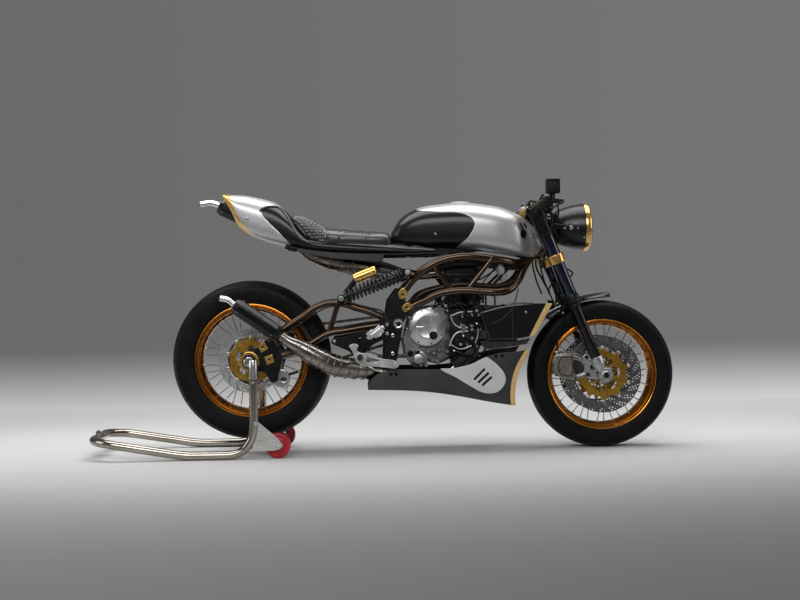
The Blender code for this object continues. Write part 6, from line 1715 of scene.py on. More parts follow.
crankcase()
clutch_cover()
cylinder("rear_cylinder", math.radians(43.0), "rear_cylinder")
cylinder("front_cylinder", math.radians(-50.0), "front_cylinder")
carburettors()
loose_parts()
shroud()
radiator()
pan()
low_port = [bank_point(math.radians(-50.0), 0.183, up) for up in (-0.0613, -0.087)]
exhaust("exhaust_lower", LOW_CHAMBER, [(point.x, -0.02, point.z) for point in low_port], "exhaust_lower",
    (0.13, 0.05, -0.03, -0.09, -0.128, -0.16, -0.19, -0.215, -0.238, -0.262, -0.286, -0.312, -0.34, -0.398))
high_port = [bank_point(math.radians(43.0), 0.183, up) for up in (0.0613, 0.079)]
exhaust("exhaust_upper", HIGH_CHAMBER, [(point.x, 0.0, point.z) for point in high_port], "exhaust_upper",
    (0.18, 0.11, 0.03, -0.04, -0.085, -0.13, -0.175, -0.22, -0.265, -0.31, -0.36, -0.42))
silencer("silencer_lower", (-0.41025, -0.20415, 0.48018), (-0.588, -0.216, 0.6055), 0.034,
    [(-0.612, -0.2175, 0.624), (-0.642, -0.219, 0.631)], "silencer_lower", 8)
silencer("silencer_upper", (-0.44025, 0.0, 0.89916), (-0.665, 0.0, 1.006), 0.038,
    [(-0.69, 0.0, 1.016), (-0.742, 0.0, 1.013)], "silencer_upper", 8)


# Front end: legs, clamps, bars, lamp, fender and calipers
CLAMP_LOW = 0.485
CLAMP_HIGH = 0.715
FORK_TOP = 0.745


def fork_legs():
    for side, label in SIDES:
        foot = on_leg(0.0, side)
        outer, seal, inner, casting, cap, bolts = shapes(6)
        outer.turned([(0.022, 0.35), (0.0262, 0.35), (0.027, 0.352), (0.027, FORK_TOP - 0.014),
            (0.0262, FORK_TOP - 0.012), (0.02, FORK_TOP - 0.012)], foot, FORK_UP, 56)
        outer.done("fork_tube_" + label, "blue", "steering", "fork_leg_" + label)
        cap.turned([(0.0205, FORK_TOP - 0.0125), (0.021, FORK_TOP - 0.004), (0.0195, FORK_TOP - 0.0022),
            (0.01, FORK_TOP - 0.0022), (0.0095, FORK_TOP - 0.0003), (0.0, FORK_TOP - 0.0003)], foot, FORK_UP,
            48)
        cap.done("fork_cap_" + label, "gold", "steering")
        seal.turned([(0.0216, 0.296), (0.0262, 0.296), (0.0282, 0.299), (0.0282, 0.306), (0.027, 0.308),
            (0.027, 0.311), (0.03, 0.3135), (0.03, 0.344), (0.0288, 0.347), (0.027, 0.3515)], foot, FORK_UP,
            48)
        seal.turned([(0.0302, 0.318), (0.0318, 0.3192), (0.0318, 0.3232), (0.0302, 0.3245)], foot, FORK_UP,
            48)
        seal.done("fork_seal_" + label, "black", "steering")
        inner.turned([(0.0205, 0.05), (0.0213, 0.052), (0.0213, 0.3)], foot, FORK_UP, 48)
        inner.done("fork_slide_" + label, "stanchion", "steering")
        casting.turned([(0.0, -0.012), (0.02, -0.012), (0.0212, -0.01), (0.0212, 0.03), (0.024, 0.036),
            (0.0262, 0.04), (0.0262, 0.052), (0.0246, 0.0535), (0.0246, 0.057), (0.0268, 0.0585),
            (0.0268, 0.076), (0.0252, 0.0785), (0.0214, 0.0785)], foot, FORK_UP, 48)
        casting.turned([(0.0104, 0.084), (0.029, 0.084), (0.03, 0.085), (0.03, 0.1225), (0.028, 0.125),
            (0.018, 0.1256), (0.0104, 0.1256)], at(FRONT_AXLE, 0.0), (0, side, 0), 48, looped=True)
        casting.plate(rim_points([(0.876, 0.318), (0.85, 0.372), (0.806, 0.388), (0.79, 0.372), (0.8, 0.352),
            (0.8, 0.3), (0.812, 0.284), (0.86, 0.282)], 0.008), side * 0.0888, side * 0.0968,
            [circle(0.832, 0.33, 0.012, 18)], 0.0022, rounds=3)
        casting.block(at((0.856, 0.262), side * 0.104 - 0.01), at((0.872, 0.276), side * 0.104 + 0.01),
            0.003)
        casting.done("fork_foot_" + label, "cast", "steering", angle=30)
        for x, z in ((0.808, 0.372), (0.812, 0.302)):
            bolts.bolt((x, side * 0.0968, z), (0, side, 0), 0.006, 0.006)
        for along in (0.006, 0.02):
            bolts.bolt(on_leg(along - 0.002, side, -0.02) + Vector((0.0, side * 0.012, 0.0)), (0, side, 0),
                0.0036, 0.004)
        bolts.done("fork_bolts_" + label, "spring", "steering")


def front_axle():
    axle, ends = Shape(), Shape()
    axle.turned(drum(0.0098, -0.126, 0.126), FRONT_AXLE, (0, 1, 0), 28)
    for side in (RIGHT, LEFT):
        ends.turned([(0.0098, 0.1258), (0.0165, 0.1258), (0.017, 0.1265), (0.017, 0.1325), (0.0158, 0.1338),
            (0.011, 0.134), (0.0105, 0.133)], at(FRONT_AXLE, 0.0), (0, side, 0), 40)
        axle.turned([(0.0108, 0.1335), (0.0104, 0.127), (0.0, 0.1265)], at(FRONT_AXLE, 0.0), (0, side, 0), 6)
    axle.done("front_axle_bar", "spring", "steering", "front_axle")
    ends.done("front_axle_caps", "machined", "steering")


def clamp_outline(pad, back, front):
    reach = 0.027 + pad
    points = []
    for angle in range(-24, 160, 12):
        turn = math.radians(angle)
        points.append((STEM_OFFSET + reach * math.cos(turn), FORK_Y + reach * math.sin(turn)))
    points += [(-0.002, 0.06), (-0.006, 0.04), (-back, 0.018)]
    nose = [(front - 0.006, -0.06), (front, -0.04), (front, 0.04), (front - 0.006, 0.06)]
    return points + [(forward, -across) for forward, across in reversed(points)] + nose


def clamps():
    gold, bolts, dark = shapes(3)
    for low, thick, pad, back, front in ((CLAMP_LOW, 0.036, 0.0088, 0.026, 0.046),
            (CLAMP_HIGH, 0.022, 0.0088, 0.024, 0.044)):
        centre = on_stem(low + thick / 2)
        matrix = Matrix(((FORK_FWD.x, 0.0, FORK_UP.x, centre.x), (0.0, 1.0, 0.0, 0.0),
            (FORK_FWD.z, 0.0, FORK_UP.z, centre.z), (0.0, 0.0, 0.0, 1.0)))
        windows = []
        if thick < 0.03:
            windows = [rim_points([(0.004, side * 0.032), (0.01, side * 0.062), (0.032, side * 0.058),
                (0.034, side * 0.034)], 0.006) for side in (1, -1)]
        gold.plate(clamp_outline(pad, back, front), 0.0, thick, windows, 0.0024, matrix=matrix, rounds=4)
        for side in (RIGHT, LEFT):
            for share in (0.3, 0.7) if thick > 0.03 else (0.5,):
                place = on_leg(low + thick * share, side,
                    0.027 + pad - 0.003) - Vector((0.0, side * 0.012, 0.0))
                bolts.bolt(place, FORK_FWD, 0.0042, 0.0045)
            dark.block((0.028, side * FORK_Y - 0.0009, -thick / 2 - 0.0002),
                (0.064, side * FORK_Y + 0.0009, thick / 2 + 0.0002), 0.0, matrix)
    gold.done("clamps_gold", "gold", "steering", "triple_clamps", angle=30)
    stem = Shape()
    stem.turned([(0.0, CLAMP_LOW - 0.004), (0.017, CLAMP_LOW - 0.004), (0.0185, CLAMP_LOW),
        (0.0185, CLAMP_HIGH + 0.022), (0.0, CLAMP_HIGH + 0.022)], STEM_FOOT, FORK_UP, 36)
    stem.turned([(0.0, 0.5205), (0.0222, 0.5205), (0.023, 0.5215), (0.023, 0.5258), (0.0, 0.526)], STEM_FOOT,
        FORK_UP, 40)
    stem.turned([(0.0, 0.7098), (0.023, 0.7098), (0.023, 0.7145), (0.0, 0.7148)], STEM_FOOT, FORK_UP, 40)
    stem.turned([(0.0, CLAMP_HIGH + 0.0215), (0.0175, CLAMP_HIGH + 0.0215), (0.0175, CLAMP_HIGH + 0.032),
        (0.016, CLAMP_HIGH + 0.0338), (0.009, CLAMP_HIGH + 0.0338), (0.0085, CLAMP_HIGH + 0.028),
        (0.0, CLAMP_HIGH + 0.028)], STEM_FOOT, FORK_UP, 6)
    stem.done("stem_nut", "machined", "steering", angle=30)
    bolts.done("clamp_bolts", "spring", "steering")
    dark.done("clamp_splits", "rubber", "steering")


def grip_ends(side):
    base = on_leg(CLAMP_HIGH, side)
    return base + Vector((0.036, side * 0.047, 0.035)), base + Vector((-0.061, side * 0.237, -0.02))


def handlebars():
    for side, label in SIDES:
        base = on_leg(CLAMP_HIGH, side)
        inner, outer = grip_ends(side)
        along = (outer - inner).normalized()
        length = (outer - inner).length
        up = Vector((0.0, 0.0, 1.0))
        up = (up - along * up.dot(along)).normalized()
        ahead = Vector((1.0, 0.0, 0.0))
        ahead = (ahead - along * ahead.dot(along)).normalized()
        metal, grip, ends, box, bolts, silver = shapes(6)
        metal.turned([(0.0274, CLAMP_HIGH - 0.034), (0.034, CLAMP_HIGH - 0.034), (0.035, CLAMP_HIGH - 0.033),
            (0.035, CLAMP_HIGH - 0.0016), (0.034, CLAMP_HIGH - 0.0005), (0.0274, CLAMP_HIGH - 0.0005)],
            on_leg(0.0, side), FORK_UP, 48, looped=True)
        bend = smooth([tuple(on_leg(CLAMP_HIGH - 0.017, side, 0.031)),
            tuple(base + Vector((0.05, side * 0.006, -0.002))),
            tuple(base + Vector((0.056, side * 0.016, 0.016))), tuple(inner), tuple(inner + along * 0.034)],
            6)
        metal.tube(bend, 0.011, 20)
        metal.turned(drum(0.0108, 0.0, 0.03), inner + along * 0.02, along, 24)
        metal.turned([(0.0112, 0.004), (0.0172, 0.004), (0.0182, 0.006), (0.0182, 0.024), (0.0172, 0.026),
            (0.0112, 0.026)], inner, along, 32, looped=True)
        root = inner + along * 0.015
        metal.tube([root, root + Vector((0.03, 0.0, 0.0)), root + Vector((0.0576, 0.0, 0.0))],
            [0.01, 0.0092, 0.0098], 18)
        profile = [(0.0, 0.03), (0.015, 0.03), (0.0165, 0.032), (0.0165, 0.037)]
        spot = 0.041
        while spot < length - 0.012:
            profile += [(0.015, spot), (0.015, spot + 0.0012), (0.0161, spot + 0.002),
                (0.0161, spot + 0.0052)]
            spot += 0.0066
        profile += [(0.0152, length - 0.006), (0.0165, length - 0.005), (0.0165, length - 0.001),
            (0.0, length)]
        grip.turned(profile, inner, along, 36)
        ends.turned([(0.0, 0.0), (0.011, 0.0), (0.0126, 0.0015), (0.013, 0.01), (0.0118, 0.015),
            (0.006, 0.017), (0.0, 0.017)], outer, along, 32)
        bolts.bolt(inner + along * 0.01 - ahead * 0.0178, -ahead, 0.003, 0.0024)
        bolts.bolt(inner + along * 0.02 - ahead * 0.0178, -ahead, 0.003, 0.0024)
        for share in (0.3, 0.7):
            bolts.bolt(on_leg(CLAMP_HIGH - 0.034 + 0.034 * share, side,
                0.034) + Vector((0.0, -side * 0.01, 0.0)), FORK_FWD, 0.0036, 0.004)
        if side == RIGHT:
            foot = inner + along * 0.015 + Vector((0.028, 0.0, -0.004))
            metal.tube([foot, foot + Vector((0.002, 0.0, 0.022)), foot + Vector((0.003, 0.0, 0.04))],
                [0.0088, 0.0078, 0.0078], 16)
            box.block(foot + Vector((-0.026, -0.0195, 0.034)), foot + Vector((0.028, 0.0195, 0.08)), 0.005,
                None, 4)
            box.block(foot + Vector((-0.0255, -0.0195, 0.0812)), foot + Vector((0.0275, 0.0195, 0.0915)),
                0.003, None, 4)
            box.block(foot + Vector((-0.024, -0.018, 0.079)), foot + Vector((0.026, 0.018, 0.082)), 0.0008)
            for dx in (-0.019, 0.021):
                for dy in (-0.013, 0.013):
                    bolts.bolt(foot + Vector((dx, dy, 0.0912)), (0, 0, 1), 0.0022, 0.0004)
            for dz in (0.044, 0.052, 0.06):
                box.block(foot + Vector((-0.0265, -0.015, dz)), foot + Vector((-0.025, 0.015, dz + 0.003)),
                    0.0006)
            metal.tube([root + Vector((0.012, 0.0, 0.004)), root + Vector((0.018, 0.0, 0.02)),
                foot + Vector((-0.006, 0.0, 0.036))], 0.0058, 14)
        box.block(inner + along * 0.01 + Vector((-0.014, -0.014, -0.03)),
            inner + along * 0.01 + Vector((0.016, 0.014, -0.006)), 0.004, None, 3)
        silver.turned([(0.0, 0.0), (0.0052, 0.0), (0.0056, 0.001), (0.0056, 0.006), (0.0, 0.007)],
            inner + along * 0.01 + Vector((-0.004, side * 0.013, -0.017)), (0, side, 0), 18)
        metal.done("bar_metal_" + label, "black", "steering", "handlebar_" + label, angle=30)
        grip.done("bar_grip_" + label, "grip", "steering", angle=30)
        ends.done("bar_end_" + label, "black", "steering")
        box.done("bar_controls_" + label, "black", "steering", angle=30)
        bolts.done("bar_bolts_" + label, "machined", "steering")
        silver.done("bar_button_" + label, "machined", "steering")
        seat_face = root + Vector((0.058 + 0.0003, 0.0, 0.0))
        lever, pin = Shape(), Shape()
        lever.block(seat_face + Vector((0.0, -0.008, -0.0068)), seat_face + Vector((0.0138, 0.008, 0.0068)),
            0.0022, None, 3)
        hinge = seat_face + Vector((0.007, 0.0, 0.0))
        tip = hinge + along * 0.157 + Vector((0.0, 0.0, -0.004))
        blade = smooth([tuple(hinge), tuple(hinge + Vector((0.003, side * 0.018, -0.003))),
            tuple(hinge + along * 0.06 + Vector((0.002, 0.0, -0.003))),
            tuple(hinge + along * 0.11 + Vector((-0.001, 0.0, -0.004))), tuple(tip)], 6)
        count = len(blade)
        lever.tube(blade, [0.0058 - 0.0012 * min(1.0, index / (count * 0.6)) + (0.0 if index < count - 3
            else 0.0026) for index in range(count)], 16, flat=0.66, normal=(1, 0, 0))
        lever.turned([(0.0, -0.006), (0.007, -0.0042), (0.0082, 0.0), (0.007, 0.0042), (0.0, 0.006)],
            tip - along * 0.004, along, 20)
        lever.done("lever_blade_" + label, "black", "steering", "brake_lever" if side == RIGHT
            else "clutch_lever", angle=40)
        pin.bolt(hinge + Vector((0.0, 0.0, 0.0066)), (0, 0, 1), 0.004, 0.002)
        pin.done("lever_pin_" + label, "machined", "steering")


def headlight():
    centre = Vector((0.69, 0.0, 0.901))
    bucket, ring, glass, reflector, bolts, arms = shapes(6)
    outer = smooth([(0.012, -0.001), (0.045, 0.001), (0.062, 0.0125), (0.076, 0.04), (0.0862, 0.0705),
        (0.0925, 0.102), (0.0958, 0.13)], 5)
    bucket.turned([(0.0, -0.001)] + [(radius, along) for radius, along in outer] + [(0.0958, 0.132),
        (0.09, 0.132), (0.09, 0.126), (0.0, 0.11)], centre, (1, 0, 0), 80)
    for side in (RIGHT, LEFT):
        arms.turned([(0.0273, 0.6), (0.0279, 0.6), (0.0284, 0.606), (0.0284, 0.708), (0.0279, 0.712),
            (0.0273, 0.712)], on_leg(0.0, side), FORK_UP, 44, looped=True)
        start = on_leg(0.64, side, 0.029)
        end = centre + Vector((0.065, side * 0.079, -0.006))
        arms.tube([start, start.lerp(end, 0.5) + Vector((0.0, side * 0.003, 0.002)), end],
            [0.0075, 0.0062, 0.0068], 16, flat=0.6, normal=(0, 1, 0))
        arms.turned([(0.0, 0.0), (0.014, 0.0), (0.0148, 0.001), (0.0148, 0.006), (0.0135, 0.0075),
            (0.0, 0.0075)], centre + Vector((0.065, side * 0.0765, -0.006)), (0, side, 0), 32)
        bolts.bolt(centre + Vector((0.065, side * 0.0838, -0.006)), (0, side, 0), 0.0074, 0.0052)
        bolts.bolt(centre + Vector((0.092, side * 0.088, -0.01)), (0, side, 0), 0.0036, 0.003)
        bolts.bolt(centre + Vector((0.084, side * 0.0868, 0.008)), (0, side, 0), 0.003, 0.0026)
        bolts.bolt(centre + Vector((0.118, side * 0.08, -0.046)), (0, side, -0.55), 0.0036, 0.0026)
    face = 0.1323
    ring.turned([(0.0802, face + 0.0002), (0.0956, face - 0.006), (0.0978, face - 0.007),
        (0.0988, face - 0.004), (0.099, face + 0.0065), (0.0975, face + 0.011), (0.0942, face + 0.015),
        (0.09, face + 0.0158), (0.0862, face + 0.015), (0.084, face + 0.013), (0.0815, face + 0.009)],
        centre, (1, 0, 0), 96, looped=True)
    glass.turned([(0.0799, face + 0.001), (0.0799, face + 0.0068), (0.0735, face + 0.015),
        (0.064, face + 0.022), (0.05, face + 0.029), (0.034, face + 0.0332), (0.017, face + 0.0354),
        (0.0, face + 0.036)], centre, (1, 0, 0), 80)
    reflector.turned([(0.0786, face + 0.0005), (0.074, face - 0.015), (0.062, face - 0.034),
        (0.045, face - 0.048), (0.02, face - 0.057), (0.0, face - 0.058)], centre, (1, 0, 0), 64)
    reflector.turned([(0.0, face - 0.056), (0.014, face - 0.056), (0.014, face - 0.035),
        (0.011, face - 0.024), (0.006, face - 0.02), (0.0, face - 0.0195)], centre, (1, 0, 0), 32)
    for index in range(24):
        turn = math.tau * index / 24
        out = Vector((0.0, math.cos(turn), math.sin(turn)))
        reflector.tube([centre + Vector((face - 0.0545, 0, 0)) + out * 0.022,
            centre + Vector((face - 0.03, 0, 0)) + out * 0.064,
            centre + Vector((face - 0.002, 0, 0)) + out * 0.078], 0.001, 6)
    bucket.done("lamp_bucket", "bucket", "steering", "headlight", angle=35)
    arms.done("lamp_arms", "black", "steering", angle=35)
    bolts.done("lamp_bolts", "machined", "steering")
    ring.done("lamp_ring", "gold", "steering", "headlight_ring", angle=35)
    glass.done("lamp_glass", "glass", "steering", "headlight_lens", angle=50)
    reflector.done("lamp_reflector", "reflector", "steering", angle=40)


def fender():
    blade, stays, bolts = shapes(3)
    rings = []
    count = 40
    for step in range(count + 1):
        share = step / count
        angle = math.radians(82.0 + 52.0 * share)
        width = 0.05 * min(1.0, 0.34 + 0.66 * math.sin(min(share / 0.42, 1.0) * math.pi / 2))
        lift = 0.007 * (1 - min(share / 0.25, 1.0))
        inner = 0.307 + lift
        thin = 0.0045
        ring = []
        for sign in (1, -1):
            for part in range(13):
                across = (1 - 2 * part / 12) * sign
                crown = 0.016 * (1 - abs(across) ** 2.2)
                radius = inner + crown + (thin if sign > 0 else 0.0)
                ring.append(FRONT_AXLE + Vector((math.cos(angle) * radius, across * width,
                    math.sin(angle) * radius)))
        rings.append(ring)
    blade.skin(rings)
    for side in (RIGHT, LEFT):
        edge = [FRONT_AXLE + Vector((math.cos(turn) * 0.308, side * 0.05, math.sin(turn) * 0.308))
            for turn in (math.radians(102.0 + 32.0 * step / 12) for step in range(13))]
        blade.tube(edge, 0.0018, 8)
        place = on_leg(0.314, side)
        stays.tube([at(place, side * 0.04), at(place, side * 0.081)], 0.008, 18)
        stays.plate([(place.x - 0.028, place.z - 0.02), (place.x + 0.02, place.z - 0.036),
            (place.x + 0.034, place.z + 0.004), (place.x - 0.014, place.z + 0.02)], side * 0.05,
            side * 0.053, (), 0.001)
        for dx, dz in ((-0.012, -0.008), (0.014, -0.016)):
            bolts.bolt((place.x + dx, side * 0.053, place.z + dz), (0, side, 0), 0.0036, 0.003)
    blade.done("fender_blade", "silencer", "steering", "front_fender", angle=40)
    stays.done("fender_stays", "black", "steering", angle=35)
    bolts.done("fender_bolts", "machined", "steering")


CALIPER = [(0.675, 0.34), (0.679, 0.366), (0.692, 0.384), (0.712, 0.3895), (0.752, 0.3895), (0.78, 0.386),
    (0.803, 0.37), (0.82, 0.347), (0.82, 0.32), (0.812, 0.302), (0.796, 0.29), (0.762, 0.2815),
    (0.704, 0.29), (0.682, 0.304), (0.675, 0.322)]


def front_calipers():
    for side, label in SIDES:
        body, edges, pads, bolts, plain = shapes(5)
        outline = smooth(CALIPER, 3, looped=True)
        window = rim_points([(0.757, 0.362), (0.783, 0.356), (0.799, 0.334), (0.797, 0.309), (0.765, 0.302),
            (0.757, 0.32)], 0.007)
        body.plate(outline, side * 0.077, side * 0.0872, [window], 0.0034, rounds=4)
        body.plate(outline, side * 0.0508, side * 0.0612, (), 0.003, rounds=3)
        body.block(at((0.682, 0.304), side * 0.069 - 0.018), at((0.716, 0.372), side * 0.069 + 0.018), 0.004,
            None, 3)
        plain.plate(rim_points([(0.706, 0.372), (0.748, 0.376), (0.752, 0.362), (0.75, 0.31), (0.742, 0.297),
            (0.706, 0.303), (0.696, 0.32), (0.697, 0.352)], 0.007), side * 0.0862, side * 0.0884, (), 0.001,
            rounds=2)
        gaps = Shape().tube([(x, side * 0.0872, z) for x,
            z in ((0.706, 0.372), (0.748, 0.376), (0.753, 0.362), (0.751, 0.31), (0.742, 0.2965),
            (0.706, 0.3025), (0.6955, 0.32), (0.6965, 0.352), (0.706, 0.372))], 0.0022, 8)
        gaps.done("caliper_gaps_" + label, "rubber", "steering", angle=60)
        edges.tube([(x, side * 0.088, z) for x, z in smooth([(0.756, 0.3775), (0.776, 0.372), (0.796, 0.356),
            (0.808, 0.333), (0.8105, 0.312)], 5)], 0.0036, 10)
        edges.tube([(x, side * 0.0874, z) for x, z in ((0.806, 0.3065), (0.79, 0.3), (0.768, 0.296))],
            0.0042, 10)
        edges.tube([(x, side * 0.0872, z) for x, z in ((0.702, 0.381), (0.726, 0.3815), (0.744, 0.3795))],
            0.0038, 10)
        for z in (0.327, 0.352):
            pads.tube([(0.7, side * 0.0752, z), (0.815, side * 0.0752, z)], 0.003, 12)
        pads.plate(rim_points([(0.735, 0.372), (0.812, 0.344), (0.812, 0.312), (0.74, 0.292)], 0.006),
            side * 0.0722, side * 0.0765, (), 0.0008)
        for x, z in ((0.812, 0.358), (0.806, 0.302)):
            bolts.bolt((x, side * 0.0872, z), (0, side, 0), 0.0056, 0.0016)
        for x, z in ((0.689, 0.372), (0.687, 0.3), (0.764, 0.288)):
            bolts.bolt((x, side * 0.0872, z), (0, side, 0), 0.0034, 0.003)
        body.done("caliper_body_" + label, "titanium", "steering", "front_caliper_" + label, angle=30)
        plain.done("caliper_face_" + label, "titanium", "steering", angle=30)
        edges.done("caliper_lines_" + label, "machined", "steering", angle=60)
        pads.done("caliper_pads_" + label, "dark_cast", "steering", angle=35)
        bolts.done("caliper_bolts_" + label, "spring", "steering")
        banjo = Shape()
        banjo.turned([(0.0, 0.0), (0.0068, 0.0), (0.0072, 0.001), (0.0072, 0.012), (0.006, 0.014),
            (0.0, 0.014)], (0.694, side * 0.07, 0.384), (-0.3, 0, 1), 20)
        banjo.done("caliper_banjo_" + label, "machined", "steering")


def brake_hoses():
    for side, label in SIDES:
        route = [(0.69, side * 0.07, 0.396), (0.694, side * 0.072, 0.43), (0.706, side * 0.078, 0.48),
            (0.716, side * 0.08, 0.53), (0.706, side * 0.07, 0.59), (0.686, side * 0.064, 0.65),
            tuple(on_leg(0.43, side, 0.052)[:1]) + (side * 0.06, 0.712),
            tuple(on_stem(CLAMP_LOW - 0.006, 0.036)[:1]) + (side * 0.03,
            on_stem(CLAMP_LOW - 0.006, 0.036).z)]
        Shape().tube(smooth(route, 8), 0.0034, 12).done("brake_hose_" + label, "hose", "steering", angle=80)
    joint = Shape()
    joint.block((-0.01, -0.04, -0.016), (0.012, 0.04, 0.0), 0.003,
        Matrix.Translation(on_stem(CLAMP_LOW + 0.004, 0.04)), 3)
    joint.done("hose_joint", "black", "steering", angle=30)
    inner = grip_ends(RIGHT)[0]
    top = [tuple(inner + Vector((0.044, 0.008, -0.012))), tuple(inner + Vector((0.05, 0.03, -0.06))),
        (0.664, -0.085, 0.91), (0.676, -0.066, 0.85), (0.69, -0.056, 0.79),
        tuple(on_stem(CLAMP_LOW + 0.01, 0.047) + Vector((0.0, -0.026, 0.0)))]
    Shape().tube(smooth(top, 8), 0.0034, 12).done("brake_hose_upper", "hose", "steering", angle=80)
    inner = grip_ends(LEFT)[0]
    for index, (start, lift) in enumerate((((0.03, -0.01, -0.014), 0.0), ((0.012, -0.006, -0.024), 0.008))):
        route = [tuple(inner + Vector(start)), tuple(inner + Vector((start[0] + 0.006, -0.03, -0.062))),
            (0.64 + lift, 0.078, 0.905), (0.662 + lift, 0.06, 0.85), (0.668 + lift, 0.048, 0.8),
            tuple(on_stem(CLAMP_LOW + 0.036, 0.04) + Vector((lift, 0.036 - lift, 0.004)))]
        Shape().tube(smooth(route, 8), 0.0028, 10).done("clutch_line_%d" % index, "hose", "steering",
            angle=80)


def bar_details():
    """Switch gear, brackets and the loom packed round the bars and the headstock."""
    black, metal, lines = shapes(3)
    for side in (RIGHT, LEFT):
        inner, outer = grip_ends(side)
        along = (outer - inner).normalized()
        place = inner + along * 0.036
        black.turned([(0.0166, 0.0), (0.0205, 0.001), (0.0215, 0.003), (0.0215, 0.018), (0.0205, 0.02),
            (0.0166, 0.021)], inner + along * 0.0275, along, 28, looped=True)
        black.block(place + Vector((-0.016, -0.01, -0.004)), place + Vector((0.014, 0.01, 0.024)), 0.004,
            None, 3)
        metal.bolt(place + Vector((0.006, 0.0, 0.0238)), (0, 0, 1), 0.003, 0.0014)
        black.turned([(0.0, 0.0), (0.0045, 0.0), (0.005, 0.001), (0.005, 0.008), (0.0, 0.009)],
            place + Vector((-0.006, 0.0, 0.0235)), (0, 0, 1), 16)
        head = on_leg(CLAMP_HIGH + 0.004, side, -0.02)
        black.tube([head, head + Vector((-0.01, side * 0.01, 0.02)),
            head + Vector((-0.004, side * 0.02, 0.04)),
            inner + along * 0.006 + Vector((-0.012, 0.0, -0.01))], 0.0052, 12)
        for wide, route in ((0.0034, [(0.596, 0.086, 0.976), (0.622, 0.1, 0.956), (0.64, 0.098, 0.918),
                (0.65, 0.086, 0.872), (0.66, 0.066, 0.822), (0.676, 0.052, 0.79), (0.69, 0.046, 0.768)]),
                (0.003, [(0.6, 0.06, 0.98), (0.63, 0.072, 0.95), (0.655, 0.07, 0.9), (0.668, 0.058, 0.846),
                (0.68, 0.048, 0.8), (0.692, 0.042, 0.772)]),
                (0.0042, [(0.636, 0.05, 0.968), (0.668, 0.062, 0.958), (0.7, 0.06, 0.944),
                (0.712, 0.044, 0.926), (0.704, 0.02, 0.905)]),
                (0.0036, [(0.64, 0.1, 0.992), (0.662, 0.112, 0.972), (0.676, 0.11, 0.94),
                (0.69, 0.092, 0.914)]), (0.003,
                [(0.66, 0.072, 0.93), (0.678, 0.09, 0.9), (0.69, 0.098, 0.872), (0.7, 0.094, 0.846)]),
                (0.0042, [(0.649, 0.1, 0.942), (0.652, 0.1, 0.882), (0.645, 0.1, 0.813), (0.64, 0.1, 0.741),
                (0.661, 0.1, 0.697), (0.687, 0.1, 0.648)]),
                (0.0036, [(0.64, 0.09, 0.8), (0.627, 0.096, 0.774), (0.636, 0.096, 0.697),
                (0.661, 0.096, 0.628)]), (0.0055,
                [(0.661, 0.112, 0.981), (0.673, 0.112, 0.929), (0.664, 0.112, 0.869), (0.651, 0.112, 0.817),
                (0.634, 0.112, 0.781)])):
            lines.tube(smooth([(x, side * y, z) for x, y, z in route], 6), wide, 10)
        black.plate(rim_points([(0.654, 0.925), (0.668, 0.944), (0.706, 0.93), (0.738, 0.9), (0.73, 0.884),
            (0.69, 0.89)], 0.006), side * 0.086, side * 0.089, [circle(0.69, 0.912, 0.006, 14)], 0.001)
        metal.bolt((0.668, side * 0.089, 0.93), (0, side, 0), 0.0036, 0.0028)
        metal.bolt((0.728, side * 0.089, 0.893), (0, side, 0), 0.0036, 0.0028)
        metal.tube([(0.706, side * 0.09, 0.58), (0.676, side * 0.086, 0.566), (0.64, side * 0.07, 0.545)],
            0.0022, 10)
        metal.tube([(0.71, side * 0.086, 0.57), (0.69, side * 0.084, 0.556), (0.664, side * 0.07, 0.536)],
            0.002, 10)
        for x, z in ((0.694, 0.59), (0.7, 0.56), (0.716, 0.552)):
            metal.bolt((x, side * 0.0895, z), (0, side, 0), 0.003, 0.0026)
        black.plate(rim_points([(0.682, 0.604), (0.704, 0.6), (0.728, 0.548), (0.706, 0.54), (0.688, 0.572)],
            0.005), side * 0.083, side * 0.0895, (), 0.0012)
    black.block(on_leg(0.7, 0, 0.04) + Vector((-0.014, -0.05, 0.0)),
        on_leg(0.7, 0, 0.04) + Vector((0.018, 0.05, 0.03)), 0.006, None, 3)
    black.turned([(0.0, 0.0), (0.03, 0.0), (0.032, 0.002), (0.032, 0.016), (0.03, 0.019), (0.0, 0.019)],
        on_leg(0.72, 0, 0.05), (-0.55, 0.0, 0.83), 36)
    black.done("bar_clutter", "black", "steering", angle=30)
    metal.done("bar_screws", "machined", "steering")
    lines.done("bar_loom", "hose", "steering", angle=80)


fork_legs()
bar_details()
front_axle()
clamps()
handlebars()
headlight()
fender()
front_calipers()
brake_hoses()


# Rearsets, chain and paddock stand
REARSET = [(0.018, 0.532), (-0.01, 0.528), (-0.08, 0.486), (-0.214, 0.464), (-0.218, 0.446), (-0.15, 0.416),
    (-0.122, 0.392), (-0.098, 0.388), (-0.082, 0.408), (-0.05, 0.44), (0.018, 0.47)]


